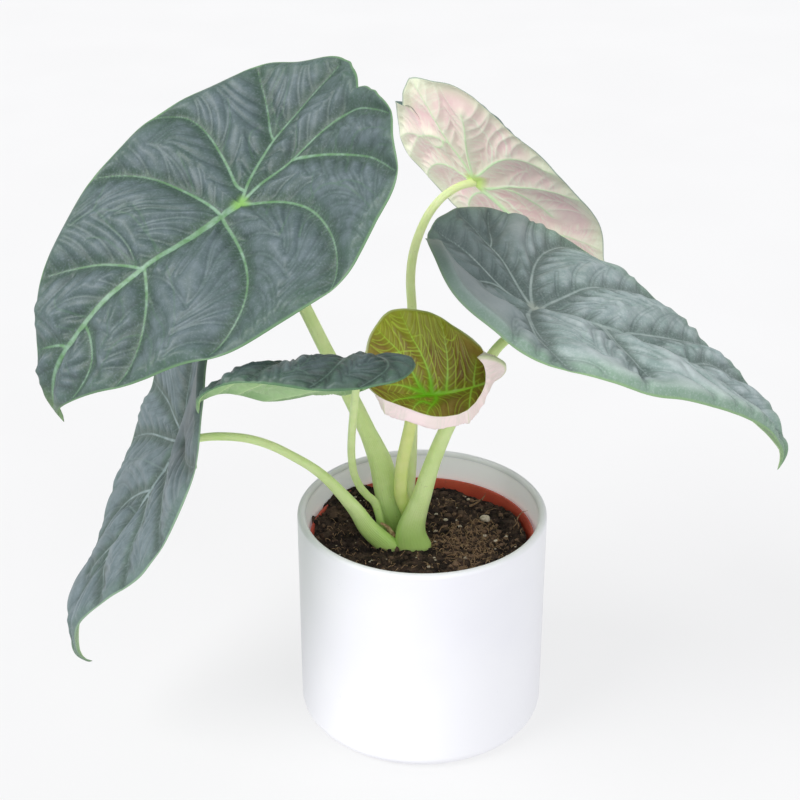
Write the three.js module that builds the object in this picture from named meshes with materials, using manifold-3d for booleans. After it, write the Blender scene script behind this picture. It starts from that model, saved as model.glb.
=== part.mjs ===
// Potted alocasia: six leaves on long petioles, a corm in potting soil, a plastic
// nursery pot and a straight ceramic cover pot around it. Millimetres, +Z up.
// The origin is the centre of the cover pot's flat underside.
import * as THREE from 'three';
import Module from 'manifold-3d';
import { mergeVertices } from 'three/addons/utils/BufferGeometryUtils.js';

const wasm = await Module();
wasm.setup();

// ---- driving dimensions (mm) ----
const POT_R = 70;            // cover pot, outside radius
const POT_H = 128.1;         // cover pot, height
const POT_WALL = 4.74;       // cover pot, wall
const POT_FLOOR = 6;         // cover pot, floor thickness
const POT_FOOT_R = 7;        // radius of the bottom corner
const CLEAR = 0.4;           // gap between touching pieces
const NURSERY_RIM_R = 63.4;  // nursery pot, outside radius at the rim
const NURSERY_BASE_R = 49;   // nursery pot, outside radius at the base
const NURSERY_TOP = 112;     // height of the nursery pot's rim above the origin
const NURSERY_WALL = 1.5;
const SOIL_EDGE = 104.5;     // soil height at the nursery pot's wall
const SOIL_CROWN = 107;      // soil height round the plant
const PIT = { x: -12, y: 5.5, rx: 22, ry: 22, floor: 101 };  // where the petioles stand
const CORM = { x: -9, y: 6, r: 12, top: 100.4, bottom: 70 };
const BLADE_T = 1.5;         // leaf blade, thickness at the petiole
const MARGIN_STATIONS = 40;  // stations round a blade's margin
const BLADE_RINGS = [0, 0.34, 0.64, 0.86, 1];  // from the petiole out to the margin
const PETIOLE_SIDES = 8;
const PETIOLE_STEPS = 12;

// ---- the six leaves ----
// attach: where the petiole meets the blade. length: from there to the tip.
// frame: unit vectors towards the tip, to the side, and out of the upper face.
// bend, sweep, twist: how the midrib curves. left, right: how each half is folded.
// margin: [along, across (both over length), x, y, z offset in mm] from the notch
// round the left side to the tip and back round the right side.
const LEAVES = [
  {
    name: 'leaf_large_left', colour: 0x46585a, roughness: 0.5,
    attach: [-91.16, -33.46, 322.42], length: 156.76,
    frame: [[-0.8151, -0.3727, -0.4435], [0.4962, -0.8443, -0.2024], [-0.299, -0.3851, 0.8731]],
    bend: {a1:0.025,a2:1.429,b1:-0.467,b2:-0.891,ah:0.178},
    sweep: {g1:-0.101,g2:0.189,h1:-0.124,gh:-0.212}, twist: [-0.157,0.465],
    left: {p:0.099,q:0.07,c:0.536,r:-0.286}, right: {p:-0.07,q:-0.288,c:0.17,r:0.22},
    margin: [
      [-0.498,-0.0,2.0,1.8,3.4], [-0.562,-0.075,-1.0,0.6,1.1], [-0.56,-0.173,-0.2,0.4,0.8], [-0.52,-0.267,-0.3,-0.3,-0.6], [-0.459,-0.348,-0.1,-0.6,-1.1],
      [-0.382,-0.413,-0.1,0.2,0.4], [-0.288,-0.451,0.3,-0.1,-0.2], [-0.189,-0.469,0.2,-0.2,-0.4], [-0.088,-0.473,-0.6,0.4,0.7], [0.013,-0.47,-0.8,0.4,0.8],
      [0.114,-0.463,-0.7,0.3,0.5], [0.214,-0.448,0.4,-0.3,-0.5], [0.312,-0.422,0.3,-0.2,-0.3], [0.406,-0.386,0.7,-0.3,-0.5], [0.498,-0.343,0.8,-0.3,-0.5],
      [0.585,-0.292,-0.5,0.0,0.1], [0.67,-0.237,-0.8,0.1,0.3], [0.754,-0.179,0.1,0.1,0.1], [0.834,-0.117,0.1,-0.0,-0.1], [0.915,-0.055,-0.4,0.1,0.2],
      [1.0,0.0,3.3,-0.8,-1.6], [0.915,0.062,0.6,0.4,0.8], [0.834,0.133,0.4,0.2,0.3], [0.754,0.204,0.5,-0.1,-0.1], [0.67,0.27,0.6,-0.6,-1.1],
      [0.585,0.333,0.5,-0.4,-0.8], [0.498,0.391,-0.2,0.4,0.8], [0.406,0.441,-0.2,0.5,1.0], [0.312,0.482,0.3,-0.1,-0.1], [0.214,0.511,-0.1,0.2,0.4],
      [0.114,0.529,-0.2,0.2,0.4], [0.013,0.537,0.7,-0.3,-0.5], [-0.088,0.539,1.2,-0.5,-0.9], [-0.189,0.535,-0.9,0.2,0.4], [-0.288,0.515,-1.1,0.2,0.5],
      [-0.382,0.472,0.8,-0.2,-0.3], [-0.459,0.397,-0.1,-0.2,-0.4], [-0.52,0.304,1.0,-0.1,-0.3], [-0.56,0.197,-0.2,-0.8,-1.5], [-0.562,0.086,-0.8,-0.9,-1.8],
    ],
    petiole: {
      name: 'petiole_large_left', colour: 0xaecb80,
      path: [[-12.0, 13.0, 103.0], [-18.4, 12.0, 126.3], [-23.6, 8.0, 153.9], [-33.1, 0.0, 184.0], [-41.9, -6.0, 207.8], [-51.4, -12.0, 232.1], [-61.5, -18.0, 259.0], [-71.9, -21.0, 283.6], [-85.2, -25.8, 305.0], [-90.7, -32.8, 320.9]],
      radius: [5.5, 5.6, 5.2, 4.6, 4.2, 3.7, 3.5, 3.3, 3.1, 2.8],
    },
  },
  {
    name: 'leaf_back', colour: 0xd9c9c2, roughness: 0.6,
    attach: [30.17, 84.58, 291.56], length: 118.59,
    frame: [[0.7333, 0.0055, -0.6799], [-0.4744, 0.7205, -0.5059], [0.487, 0.6935, 0.5309]],
    bend: {a1:-0.072,a2:0.487,b1:-0.41,b2:-0.471,ah:0.0},
    sweep: {g1:0.222,g2:0.097,h1:0.32,gh:0.0}, twist: [-0.156,-0.26],
    left: {p:0.083,q:0.025,c:-0.076,r:-0.256}, right: {p:0.388,q:-0.091,c:-0.777,r:0.308},
    margin: [
      [-0.491,-0.0,-1.4,-0.1,-0.2], [-0.554,-0.075,1.3,0.5,1.0], [-0.552,-0.173,1.3,0.4,0.9], [-0.512,-0.266,0.1,-0.5,-0.9], [-0.452,-0.348,0.3,-0.3,-0.6],
      [-0.375,-0.413,0.7,0.0,0.0], [-0.282,-0.451,0.4,0.1,0.2], [-0.183,-0.469,-0.1,-0.0,-0.0], [-0.083,-0.472,-0.4,-0.1,-0.2], [0.018,-0.47,0.2,0.2,0.5],
      [0.118,-0.463,-0.2,0.0,0.1], [0.218,-0.447,-0.8,-0.2,-0.3], [0.315,-0.421,-0.3,-0.0,-0.0], [0.409,-0.385,0.5,0.2,0.5], [0.5,-0.341,0.8,0.2,0.5],
      [0.587,-0.291,-0.3,0.1,0.2], [0.672,-0.236,-1.6,1.2,2.3], [0.755,-0.178,-0.2,0.2,0.3], [0.835,-0.116,0.0,0.0,0.0], [0.915,-0.054,0.0,0.0,0.0],
      [1.0,0.0,0.0,0.0,0.0], [0.915,0.055,0.0,0.0,0.0], [0.835,0.117,0.0,0.0,0.0], [0.755,0.18,0.0,0.0,0.0], [0.672,0.238,0.0,0.0,0.0],
      [0.587,0.293,0.0,0.0,0.0], [0.5,0.344,0.0,0.0,0.0], [0.409,0.388,0.0,0.0,0.0], [0.315,0.425,0.0,0.0,0.0], [0.218,0.451,-0.2,0.1,0.2],
      [0.118,0.467,-1.6,0.5,1.0], [0.018,0.474,0.2,0.0,0.0], [-0.083,0.476,0.6,0.2,0.3], [-0.183,0.473,0.2,0.1,0.2], [-0.282,0.455,-0.4,-0.2,-0.3],
      [-0.375,0.417,-0.3,-0.1,-0.3], [-0.452,0.351,0.3,-0.0,-0.1], [-0.512,0.269,0.4,-0.2,-0.5], [-0.552,0.174,0.4,-0.9,-1.8], [-0.554,0.076,-0.7,-1.1,-2.2],
    ],
    petiole: {
      name: 'petiole_back', colour: 0xb4cf88,
      path: [[-3.0, 19.5, 102.4], [-7.5, 20.0, 121.6], [-6.1, 24.0, 145.6], [-5.3, 33.0, 179.4], [-5.5, 42.0, 206.3], [-5.7, 50.0, 227.3], [-6.5, 55.0, 243.5], [-5.2, 60.0, 256.5], [-1.2, 65.0, 268.2], [4.3, 69.0, 278.6], [12.1, 74.0, 286.1], [21.1, 79.0, 290.2], [28.8, 82.6, 290.1]],
      radius: [4.0, 3.6, 3.3, 3.0, 2.8, 2.7, 2.6, 2.6, 2.5, 2.4, 2.3, 2.2, 2.1],
    },
  },
  {
    name: 'leaf_right', colour: 0x7f9595, roughness: 0.55,
    attach: [57.15, -13.75, 257.19], length: 163.82,
    frame: [[0.9696, -0.1094, -0.219], [0.0374, 0.9503, -0.309], [0.2419, 0.2914, 0.9255]],
    bend: {a1:0.342,a2:0.51,b1:-1.334,b2:-0.823,ah:1.377},
    sweep: {g1:0.093,g2:-0.337,h1:0.012,gh:0.02}, twist: [0.047,-0.405],
    left: {p:-0.11,q:-0.172,c:-0.336,r:-0.596}, right: {p:0.54,q:-0.138,c:-0.373,r:-0.793},
    margin: [
      [-0.387,-0.0,-2.2,0.8,1.5], [-0.438,-0.082,1.2,-1.5,-2.9], [-0.435,-0.18,1.3,-1.6,-3.0], [-0.405,-0.275,0.5,-0.8,-1.6], [-0.357,-0.362,0.3,-0.4,-0.8],
      [-0.292,-0.434,0.0,-0.4,-0.9], [-0.206,-0.476,0.4,0.1,0.1], [-0.112,-0.491,0.9,0.4,0.8], [-0.017,-0.492,-0.8,-0.4,-0.9], [0.078,-0.487,-0.7,-0.3,-0.7],
      [0.172,-0.475,0.0,0.4,0.7], [0.265,-0.454,0.1,0.4,0.9], [0.356,-0.424,-0.2,-0.1,-0.2], [0.444,-0.385,-0.2,-0.3,-0.7], [0.529,-0.34,-0.1,0.0,0.1],
      [0.61,-0.288,-0.1,-0.1,-0.2], [0.69,-0.233,-0.1,-0.1,-0.1], [0.768,-0.176,0.1,0.2,0.3], [0.843,-0.114,0.7,0.4,0.7], [0.919,-0.053,-0.7,0.1,0.3],
      [1.0,0.0,-0.3,-0.3,-0.5], [0.919,0.055,0.3,0.1,0.2], [0.843,0.118,0.7,0.2,0.5], [0.768,0.181,1.0,0.4,0.9], [0.69,0.241,0.5,0.3,0.5],
      [0.61,0.297,-0.5,-0.3,-0.5], [0.529,0.351,-1.2,-0.6,-1.1], [0.444,0.398,-0.7,-0.3,-0.7], [0.356,0.438,0.4,0.2,0.3], [0.265,0.469,0.2,0.0,0.1],
      [0.172,0.49,-0.0,-0.1,-0.1], [0.078,0.502,0.8,0.4,0.8], [-0.017,0.508,1.7,0.4,0.8], [-0.112,0.507,0.1,-0.2,-0.4], [-0.206,0.492,-0.5,-0.7,-1.3],
      [-0.292,0.448,-0.2,-0.2,-0.3], [-0.357,0.374,-0.1,0.4,0.7], [-0.405,0.284,1.1,0.8,1.6], [-0.435,0.186,4.3,1.5,2.9], [-0.438,0.084,0.0,0.0,0.0],
    ],
    petiole: {
      name: 'petiole_right', colour: 0xaecb80,
      path: [[-4.0, -5.0, 102.6], [-6.2, -5.0, 116.8], [-0.5, -6.0, 138.9], [5.7, -7.0, 162.3], [14.6, -9.5, 187.8], [27.0, -12.0, 212.6], [39.5, -15.0, 235.8], [55.2, -16.1, 249.8], [56.7, -14.2, 255.6]],
      radius: [6.9, 6.6, 5.4, 4.4, 3.9, 3.4, 2.7, 2.5, 2.3],
    },
  },
  {
    name: 'leaf_low_left', colour: 0x56666a, roughness: 0.55,
    attach: [-131.37, -12.02, 177.66], length: 148.03,
    frame: [[-0.437, -0.157, -0.8856], [0.0106, -0.9855, 0.1695], [-0.8994, 0.0647, 0.4323]],
    bend: {a1:-0.678,a2:1.45,b1:-0.297,b2:-0.099,ah:1.655},
    sweep: {g1:0.076,g2:0.258,h1:0.152,gh:0.338}, twist: [0.031,0.133],
    left: {p:0.413,q:-0.24,c:-0.115,r:-0.363}, right: {p:-0.014,q:-0.228,c:-0.58,r:-0.233},
    margin: [
      [-0.494,-0.0,0.0,0.0,0.0], [-0.557,-0.076,0.0,0.0,0.0], [-0.555,-0.176,0.0,0.0,0.0], [-0.515,-0.271,0.0,0.0,0.0], [-0.455,-0.354,0.0,0.0,0.0],
      [-0.378,-0.42,0.0,0.0,0.0], [-0.285,-0.459,0.0,0.0,0.0], [-0.186,-0.476,0.0,0.0,0.0], [-0.085,-0.48,0.0,-0.2,-0.3], [0.016,-0.478,-0.1,-0.9,-1.8],
      [0.116,-0.47,-1.1,0.0,0.1], [0.216,-0.455,-1.3,0.1,0.2], [0.313,-0.429,-0.5,0.0,0.1], [0.408,-0.392,0.1,-0.0,-0.1], [0.499,-0.347,1.3,-0.2,-0.4],
      [0.586,-0.296,1.3,-0.2,-0.4], [0.671,-0.24,0.8,-0.0,-0.1], [0.755,-0.181,-0.8,0.2,0.3], [0.835,-0.118,-2.3,0.1,0.2], [0.915,-0.055,-0.5,0.3,0.7],
      [1.0,0.0,1.1,-0.2,-0.4], [0.915,0.06,1.6,0.4,0.8], [0.835,0.128,-0.4,0.2,0.3], [0.755,0.197,-1.0,0.3,0.6], [0.671,0.26,-0.2,0.2,0.3],
      [0.586,0.321,0.1,0.0,0.1], [0.499,0.377,0.4,-0.1,-0.2], [0.408,0.425,1.0,-0.4,-0.8], [0.313,0.465,0.5,-0.1,-0.2], [0.216,0.494,-0.1,0.2,0.4],
      [0.116,0.51,-0.5,0.2,0.5], [0.016,0.518,-0.3,0.1,0.1], [-0.085,0.521,0.4,0.0,0.0], [-0.186,0.517,0.3,0.0,0.1], [-0.285,0.498,-0.2,0.0,0.1],
      [-0.378,0.456,0.1,-0.2,-0.3], [-0.455,0.384,-0.4,-1.1,-2.2], [-0.515,0.294,0.0,0.0,0.0], [-0.555,0.191,0.0,0.0,0.0], [-0.557,0.083,0.0,0.0,0.0],
    ],
    petiole: {
      name: 'petiole_low_left', colour: 0xb0cc7c,
      path: [[-17.7, -5.2, 105.2], [-29.8, -6.0, 118.2], [-36.8, -6.5, 130.2], [-45.1, -7.0, 141.9], [-53.3, -8.0, 152.3], [-61.5, -9.0, 160.1], [-71.0, -9.5, 166.8], [-80.6, -10.0, 172.6], [-90.1, -10.5, 176.8], [-99.6, -11.0, 179.2], [-110.6, -11.5, 180.1], [-120.1, -12.0, 179.5], [-128.8, -12.2, 176.4]],
      radius: [5.2, 4.9, 4.2, 3.4, 2.9, 2.6, 2.45, 2.4, 2.35, 2.3, 2.3, 2.2, 2.1],
    },
  },
  {
    name: 'leaf_small_left', colour: 0x3f5050, roughness: 0.5,
    attach: [-32.85, -86.39, 260.53], length: 89.28,
    frame: [[-0.9612, -0.256, 0.1028], [0.274, -0.9286, 0.2503], [0.0314, 0.2687, 0.9627]],
    bend: {a1:-0.195,a2:1.609,b1:2.926,b2:0.763,ah:0.878},
    sweep: {g1:-0.123,g2:0.021,h1:-0.383,gh:0.919}, twist: [-0.424,0.055],
    left: {p:-0.861,q:-0.022,c:1.326,r:-2.289}, right: {p:0.699,q:-0.21,c:-3.089,r:0.378},
    margin: [
      [-0.181,-0.0,0.0,0.0,0.0], [-0.205,-0.113,0.0,0.0,0.0], [-0.204,-0.232,0.0,0.0,0.0], [-0.191,-0.35,0.0,0.0,0.0], [-0.17,-0.465,0.0,0.0,0.0],
      [-0.136,-0.574,0.0,0.0,0.0], [-0.07,-0.646,0.0,0.0,0.0], [0.015,-0.648,0.0,0.0,0.0], [0.1,-0.64,0.0,0.0,0.0], [0.185,-0.625,0.0,0.0,0.0],
      [0.268,-0.6,0.0,0.0,0.0], [0.349,-0.564,0.0,0.0,0.0], [0.429,-0.519,0.0,0.0,0.0], [0.505,-0.467,0.0,0.0,0.0], [0.58,-0.408,0.0,0.0,0.0],
      [0.651,-0.343,0.0,0.0,0.0], [0.722,-0.277,0.0,0.0,0.0], [0.792,-0.208,0.0,0.0,0.0], [0.859,-0.134,0.0,0.0,0.0], [0.927,-0.063,0.0,0.0,0.0],
      [1.0,0.0,0.0,0.0,0.0], [0.927,0.049,0.0,0.0,0.0], [0.859,0.104,0.0,0.0,0.0], [0.792,0.161,0.0,0.0,0.0], [0.722,0.215,0.0,0.0,0.0],
      [0.651,0.266,0.0,0.0,0.0], [0.58,0.316,0.0,0.0,0.0], [0.505,0.361,0.0,0.0,0.0], [0.429,0.402,0.0,0.0,0.0], [0.349,0.436,0.0,0.0,0.0],
      [0.268,0.464,0.0,0.0,0.0], [0.185,0.484,0.0,0.0,0.0], [0.1,0.496,0.0,0.0,0.0], [0.015,0.501,0.0,0.0,0.0], [-0.07,0.499,0.0,0.0,0.0],
      [-0.136,0.444,0.0,0.0,0.0], [-0.17,0.36,0.0,0.0,0.0], [-0.191,0.271,0.0,0.0,0.0], [-0.204,0.179,0.0,0.0,0.0], [-0.205,0.087,0.0,0.0,0.0],
    ],
    petiole: {
      name: 'petiole_small_left', colour: 0xb2d07c,
      path: [[-21.0, 6.0, 102.0], [-25.7, 3.0, 127.7], [-30.8, -2.0, 137.8], [-34.6, -8.0, 147.0], [-37.5, -17.0, 160.5], [-38.3, -29.0, 178.5], [-37.5, -44.0, 198.6], [-35.9, -60.0, 219.6], [-34.4, -74.0, 237.1], [-33.1, -88.5, 252.8], [-33.0, -87.2, 257.4]],
      radius: [2.3, 2.3, 2.2, 2.15, 2.1, 2.1, 2.05, 2.0, 1.95, 1.9, 1.8],
    },
  },
  {
    name: 'leaf_young', colour: 0x6f7a24, roughness: 0.5,
    attach: [0.82, -36.02, 217.64], length: 76.42,
    frame: [[0.8778, 0.4294, -0.2122], [-0.1931, 0.7227, 0.6636], [0.4383, -0.5416, 0.7173]],
    bend: {a1:-2.299,a2:-1.539,b1:-1.049,b2:-0.03,ah:-0.036},
    sweep: {g1:0.11,g2:-0.372,h1:0.136,gh:-0.023}, twist: [0.057,-0.235],
    left: {p:0.467,q:0.163,c:1.664,r:-0.177}, right: {p:0.564,q:0.222,c:-0.281,r:0.16},
    margin: [
      [-0.559,-0.0,0.0,0.0,0.0], [-0.63,-0.063,1.1,-0.5,-1.0], [-0.628,-0.15,1.0,-0.5,-0.9], [-0.582,-0.232,-0.0,-0.0,-0.0], [-0.515,-0.302,0.0,0.2,0.4],
      [-0.432,-0.357,-0.1,0.1,0.3], [-0.334,-0.389,-0.1,-0.1,-0.2], [-0.232,-0.406,-0.1,-0.2,-0.4], [-0.127,-0.41,-0.0,-0.1,-0.2], [-0.023,-0.409,-0.4,0.1,0.2],
      [0.081,-0.405,-0.2,0.2,0.3], [0.185,-0.394,-0.2,0.2,0.4], [0.286,-0.373,-0.1,0.1,0.3], [0.385,-0.343,0.2,0.0,0.1], [0.48,-0.305,0.5,-0.1,-0.1],
      [0.571,-0.261,0.4,-0.1,-0.1], [0.659,-0.212,0.1,-0.0,-0.0], [0.746,-0.16,-0.4,0.0,0.1], [0.829,-0.105,-0.8,0.0,0.0], [0.912,-0.049,0.3,-0.3,-0.5],
      [1.0,0.0,2.6,-0.1,-0.2], [0.912,0.069,0.2,0.2,0.3], [0.829,0.147,-1.1,0.0,0.0], [0.746,0.225,-0.6,0.0,0.0], [0.659,0.297,0.0,0.2,0.4],
      [0.571,0.366,0.3,0.2,0.3], [0.48,0.428,-0.0,-0.0,-0.1], [0.385,0.481,-0.4,-0.3,-0.5], [0.286,0.523,-0.5,-0.4,-0.8], [0.185,0.552,-0.5,-0.5,-1.0],
      [0.081,0.568,-0.5,-0.4,-0.7], [-0.023,0.574,-0.5,-0.1,-0.3], [-0.127,0.574,-0.0,0.1,0.1], [-0.232,0.569,0.1,0.2,0.4], [-0.334,0.546,-0.2,0.3,0.7],
      [-0.432,0.501,-0.3,0.2,0.4], [-0.515,0.424,0.0,-0.1,-0.1], [-0.582,0.326,-0.1,0.0,0.0], [-0.628,0.211,0.8,0.9,1.7], [-0.63,0.089,0.1,0.1,0.3],
    ],
    petiole: {
      name: 'petiole_young', colour: 0xc8d878,
      path: [[-2.0, 10.0, 102.9], [-11.0, 3.0, 131.6], [-12.1, -1.0, 142.4], [-11.3, -6.0, 159.2], [-9.2, -12.0, 175.0], [-7.0, -18.0, 189.9], [-5.3, -28.4, 207.6], [-0.3, -34.6, 215.8]],
      radius: [3.8, 3.8, 3.7, 3.6, 3.5, 3.3, 3.1, 2.8],
    },
  },
];

// ---- helpers ----
const V = (x, y, z) => new THREE.Vector3(x, y, z);
const volume6 = (pos, idx) => {
  let s = 0;
  const a = V(), b = V(), c = V();
  for (let i = 0; i < idx.length; i += 3) {
    a.fromArray(pos, 3 * idx[i]); b.fromArray(pos, 3 * idx[i + 1]); c.fromArray(pos, 3 * idx[i + 2]);
    s += a.dot(b.clone().cross(c));
  }
  return s;
};
// turns a geometry inside out if its faces point in
function facingOut(geometry) {
  const idx = Array.from(geometry.index.array);
  if (volume6(Array.from(geometry.attributes.position.array), idx) < 0) {
    for (let i = 0; i < idx.length; i += 3) [idx[i + 1], idx[i + 2]] = [idx[i + 2], idx[i + 1]];
    geometry.setIndex(idx);
  }
  geometry.computeVertexNormals();
  return geometry;
}
function closed(geometry) {
  const g = geometry.clone();
  g.deleteAttribute('normal'); g.deleteAttribute('uv');
  return mergeVertices(g, 1e-4);
}
function toSolid(geometry) {
  const g = closed(geometry);
  return new wasm.Manifold(new wasm.Mesh({ numProp: 3,
    vertProperties: new Float32Array(g.attributes.position.array), triVerts: new Uint32Array(g.index.array) }));
}
function fromSolid(solid) {
  const m = solid.getMesh();
  const g = new THREE.BufferGeometry();
  g.setAttribute('position', new THREE.BufferAttribute(new Float32Array(m.vertProperties), 3));
  g.setIndex(Array.from(m.triVerts));
  g.computeVertexNormals();
  return g;
}
// a lathe about +Z from [radius, height] pairs that start and end on the axis
function turned(profile, segments) {
  const g = new THREE.LatheGeometry(profile.map(([r, z]) => new THREE.Vector2(r, z)), segments);
  g.rotateX(Math.PI / 2);
  return facingOut(closed(g));
}
function arc(cx, cz, r, from, to, n) {
  const out = [];
  for (let i = 0; i <= n; i++) {
    const a = THREE.MathUtils.degToRad(from + (to - from) * i / n);
    out.push([cx + r * Math.cos(a), cz + r * Math.sin(a)]);
  }
  return out;
}

// ---- leaf blade ----
// the midrib is integrated from its bend and sweep, then each half turns off it
function bladeSurface(leaf) {
  const [T0, B0, N0] = leaf.frame.map((v) => V(...v));
  const { bend, sweep, twist } = leaf;
  const angles = (u) => {
    const f = Math.max(u, 0), r = Math.max(-u, 0), h = Math.max(u - 0.9, 0) / 0.1;
    return [
      bend.a1 * f + bend.a2 * f ** 3 - (bend.b1 * r + bend.b2 * r * r) + bend.ah * h ** 1.5,
      sweep.g1 * f + sweep.g2 * f * f - sweep.h1 * r + sweep.gh * h ** 1.5,
      twist[0] * u + twist[1] * u * u,
    ];
  };
  const tangent = (u) => {
    const [th, be] = angles(u);
    return V().addScaledVector(T0, Math.cos(th) * Math.cos(be))
      .addScaledVector(B0, Math.cos(th) * Math.sin(be)).addScaledVector(N0, -Math.sin(th));
  };
  const U0 = -0.9, DU = 0.005, COUNT = 431;
  const mid = [V()];
  for (let i = 1; i < COUNT; i++) {
    const step = tangent(U0 + (i - 1) * DU).add(tangent(U0 + i * DU)).multiplyScalar(DU / 2);
    mid.push(mid[i - 1].clone().add(step));
  }
  const along = (u) => {
    const t = THREE.MathUtils.clamp((u - U0) / DU, 0, COUNT - 1.001), i = Math.floor(t);
    return mid[i].clone().lerp(mid[i + 1], t - i);
  };
  const zero = along(0);
  return (u, v) => {
    const [th, be, tw] = angles(u);
    const Tp = V().addScaledVector(T0, Math.cos(be)).addScaledVector(B0, Math.sin(be));
    const Bp = V().addScaledVector(T0, -Math.sin(be)).addScaledVector(B0, Math.cos(be));
    const N = V().addScaledVector(Tp, Math.sin(th)).addScaledVector(N0, Math.cos(th));
    const B2 = V().addScaledVector(Bp, Math.cos(tw)).addScaledVector(N, Math.sin(tw));
    const N2 = V().addScaledVector(Bp, -Math.sin(tw)).addScaledVector(N, Math.cos(tw));
    const half = v >= 0 ? leaf.right : leaf.left;
    const w = Math.abs(v), s = v >= 0 ? 1 : -1;
    const p = half.p + half.q * u;
    let c = half.c + half.r * u;
    if (Math.abs(c) < 1e-4) c = 1e-4;
    const across = (Math.sin(p + c * w) - Math.sin(p)) / c;
    const up = (Math.cos(p) - Math.cos(p + c * w)) / c;
    return along(u).sub(zero).addScaledVector(B2, s * across).addScaledVector(N2, up)
      .multiplyScalar(leaf.length).add(V(...leaf.attach));
  };
}
// a sphere's grid laid over the blade: pole at the petiole, equator at the margin
function bladeGeometry(leaf) {
  const surface = bladeSurface(leaf);
  const rings = BLADE_RINGS.length - 1;
  const at = (k, rho) => {
    const [u, v, x, y, z] = leaf.margin[k % MARGIN_STATIONS];
    const f = rho ** 2.5;
    return surface(rho * u, rho * v).add(V(x * f, y * f, z * f));
  };
  const upper = [];
  for (let j = 0; j <= rings; j++) {
    upper.push([]);
    for (let k = 0; k < MARGIN_STATIONS; k++) upper[j].push(at(k, BLADE_RINGS[j]));
  }
  const normalAt = (j, k) => {
    const jm = Math.min(j, rings - 1), n = MARGIN_STATIONS;
    if (j === 0) return V(...leaf.frame[2]);
    const out = upper[jm + 1][k].clone().sub(upper[jm - 1][k]);
    const round = upper[jm][(k + 1) % n].clone().sub(upper[jm][(k + n - 1) % n]);
    const N = out.cross(round).normalize();
    return N;
  };
  const g = new THREE.SphereGeometry(1, MARGIN_STATIONS, 2 * rings);
  const pos = g.attributes.position;
  const cols = MARGIN_STATIONS + 1;
  // the side that the computed normals point to, from the ring next to the petiole
  const sign = Math.sign(normalAt(1, 3).dot(V(...leaf.frame[2]))) || 1;
  for (let row = 0; row <= 2 * rings; row++) {
    for (let col = 0; col < cols; col++) {
      const k = col % MARGIN_STATIONS;
      const top = row <= rings;
      const j = top ? row : 2 * rings - row;
      const rho = BLADE_RINGS[j];
      const t = BLADE_T * Math.sqrt(Math.max(0, 1 - rho * rho)) / 2;
      const p = upper[j][k].clone().addScaledVector(normalAt(j, k), sign * (top ? t : -t));
      pos.setXYZ(row * cols + col, p.x, p.y, p.z);
    }
  }
  // face and back are cut along the same diagonals, so that the two thin walls stay apart where the blade is twisted
  const index = [];
  for (let row = 0; row < 2 * rings; row++) {
    for (let col = 0; col < MARGIN_STATIONS; col++) {
      const a = row * cols + col + 1, b = row * cols + col;
      const c = b + cols, d = a + cols;
      if (row === 0) index.push(b, c, d);
      else if (row === 2 * rings - 1) index.push(a, b, d);
      else if (row < rings) index.push(a, b, d, b, c, d);
      else index.push(a, b, c, a, c, d);
    }
  }
  g.setIndex(index);
  return facingOut(closed(g));
}

// ---- petiole: a tapered stalk along a smooth path ----
function petioleGeometry({ path, radius }) {
  const curve = new THREE.CatmullRomCurve3(path.map((p) => V(...p)), false, 'centripetal');
  const g = new THREE.CylinderGeometry(1, 1, 1, PETIOLE_SIDES, PETIOLE_STEPS);
  const pos = g.attributes.position;
  const frames = [];
  let side = V(1, 0, 0);
  const at = (s) => {
    // s runs over arc length; the radii are spaced evenly over the path's points
    const t = curve.getUtoTmapping(s);
    const x = t * (radius.length - 1), i = Math.min(Math.floor(x), radius.length - 2);
    return radius[i] + (radius[i + 1] - radius[i]) * (x - i);
  };
  for (let i = 0; i <= PETIOLE_STEPS; i++) {
    const s = i / PETIOLE_STEPS;
    const c = curve.getPointAt(s), t = curve.getTangentAt(s).normalize();
    side = side.clone().addScaledVector(t, -side.dot(t)).normalize();
    frames.push({ c, a: side.clone(), b: t.clone().cross(side), r: at(s) });
  }
  for (let i = 0; i < pos.count; i++) {
    const x = pos.getX(i), y = pos.getY(i), z = pos.getZ(i);
    const f = frames[Math.round((y + 0.5) * PETIOLE_STEPS)];
    const p = f.c.clone().addScaledVector(f.a, x * f.r).addScaledVector(f.b, z * f.r);
    pos.setXYZ(i, p.x, p.y, p.z);
  }
  return facingOut(closed(g));
}

// ---- pots, soil and corm ----
function coverPot() {
  const inner = POT_R - POT_WALL;
  return turned([
    [0, 0], [POT_R - POT_FOOT_R, 0],
    ...arc(POT_R - POT_FOOT_R, POT_FOOT_R, POT_FOOT_R, -60, 0, 2),
    ...arc(POT_R - POT_WALL / 2, POT_H - POT_WALL / 2, POT_WALL / 2, 0, 180, 4),
    [inner, POT_FLOOR + 5], [inner - 3, POT_FLOOR], [0, POT_FLOOR],
  ], 40);
}
function nurseryPot() {
  const base = POT_FLOOR + CLEAR;
  const t = NURSERY_WALL;
  return turned([
    [0, base], [NURSERY_BASE_R, base], [NURSERY_RIM_R - 2.2, NURSERY_TOP - 9],
    [NURSERY_RIM_R, NURSERY_TOP - 8.6], [NURSERY_RIM_R, NURSERY_TOP],
    [NURSERY_RIM_R - t, NURSERY_TOP], [NURSERY_RIM_R - 2.2 - t, NURSERY_TOP - 10],
    [NURSERY_BASE_R - t, base + t], [0, base + t],
  ], 36);
}
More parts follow.
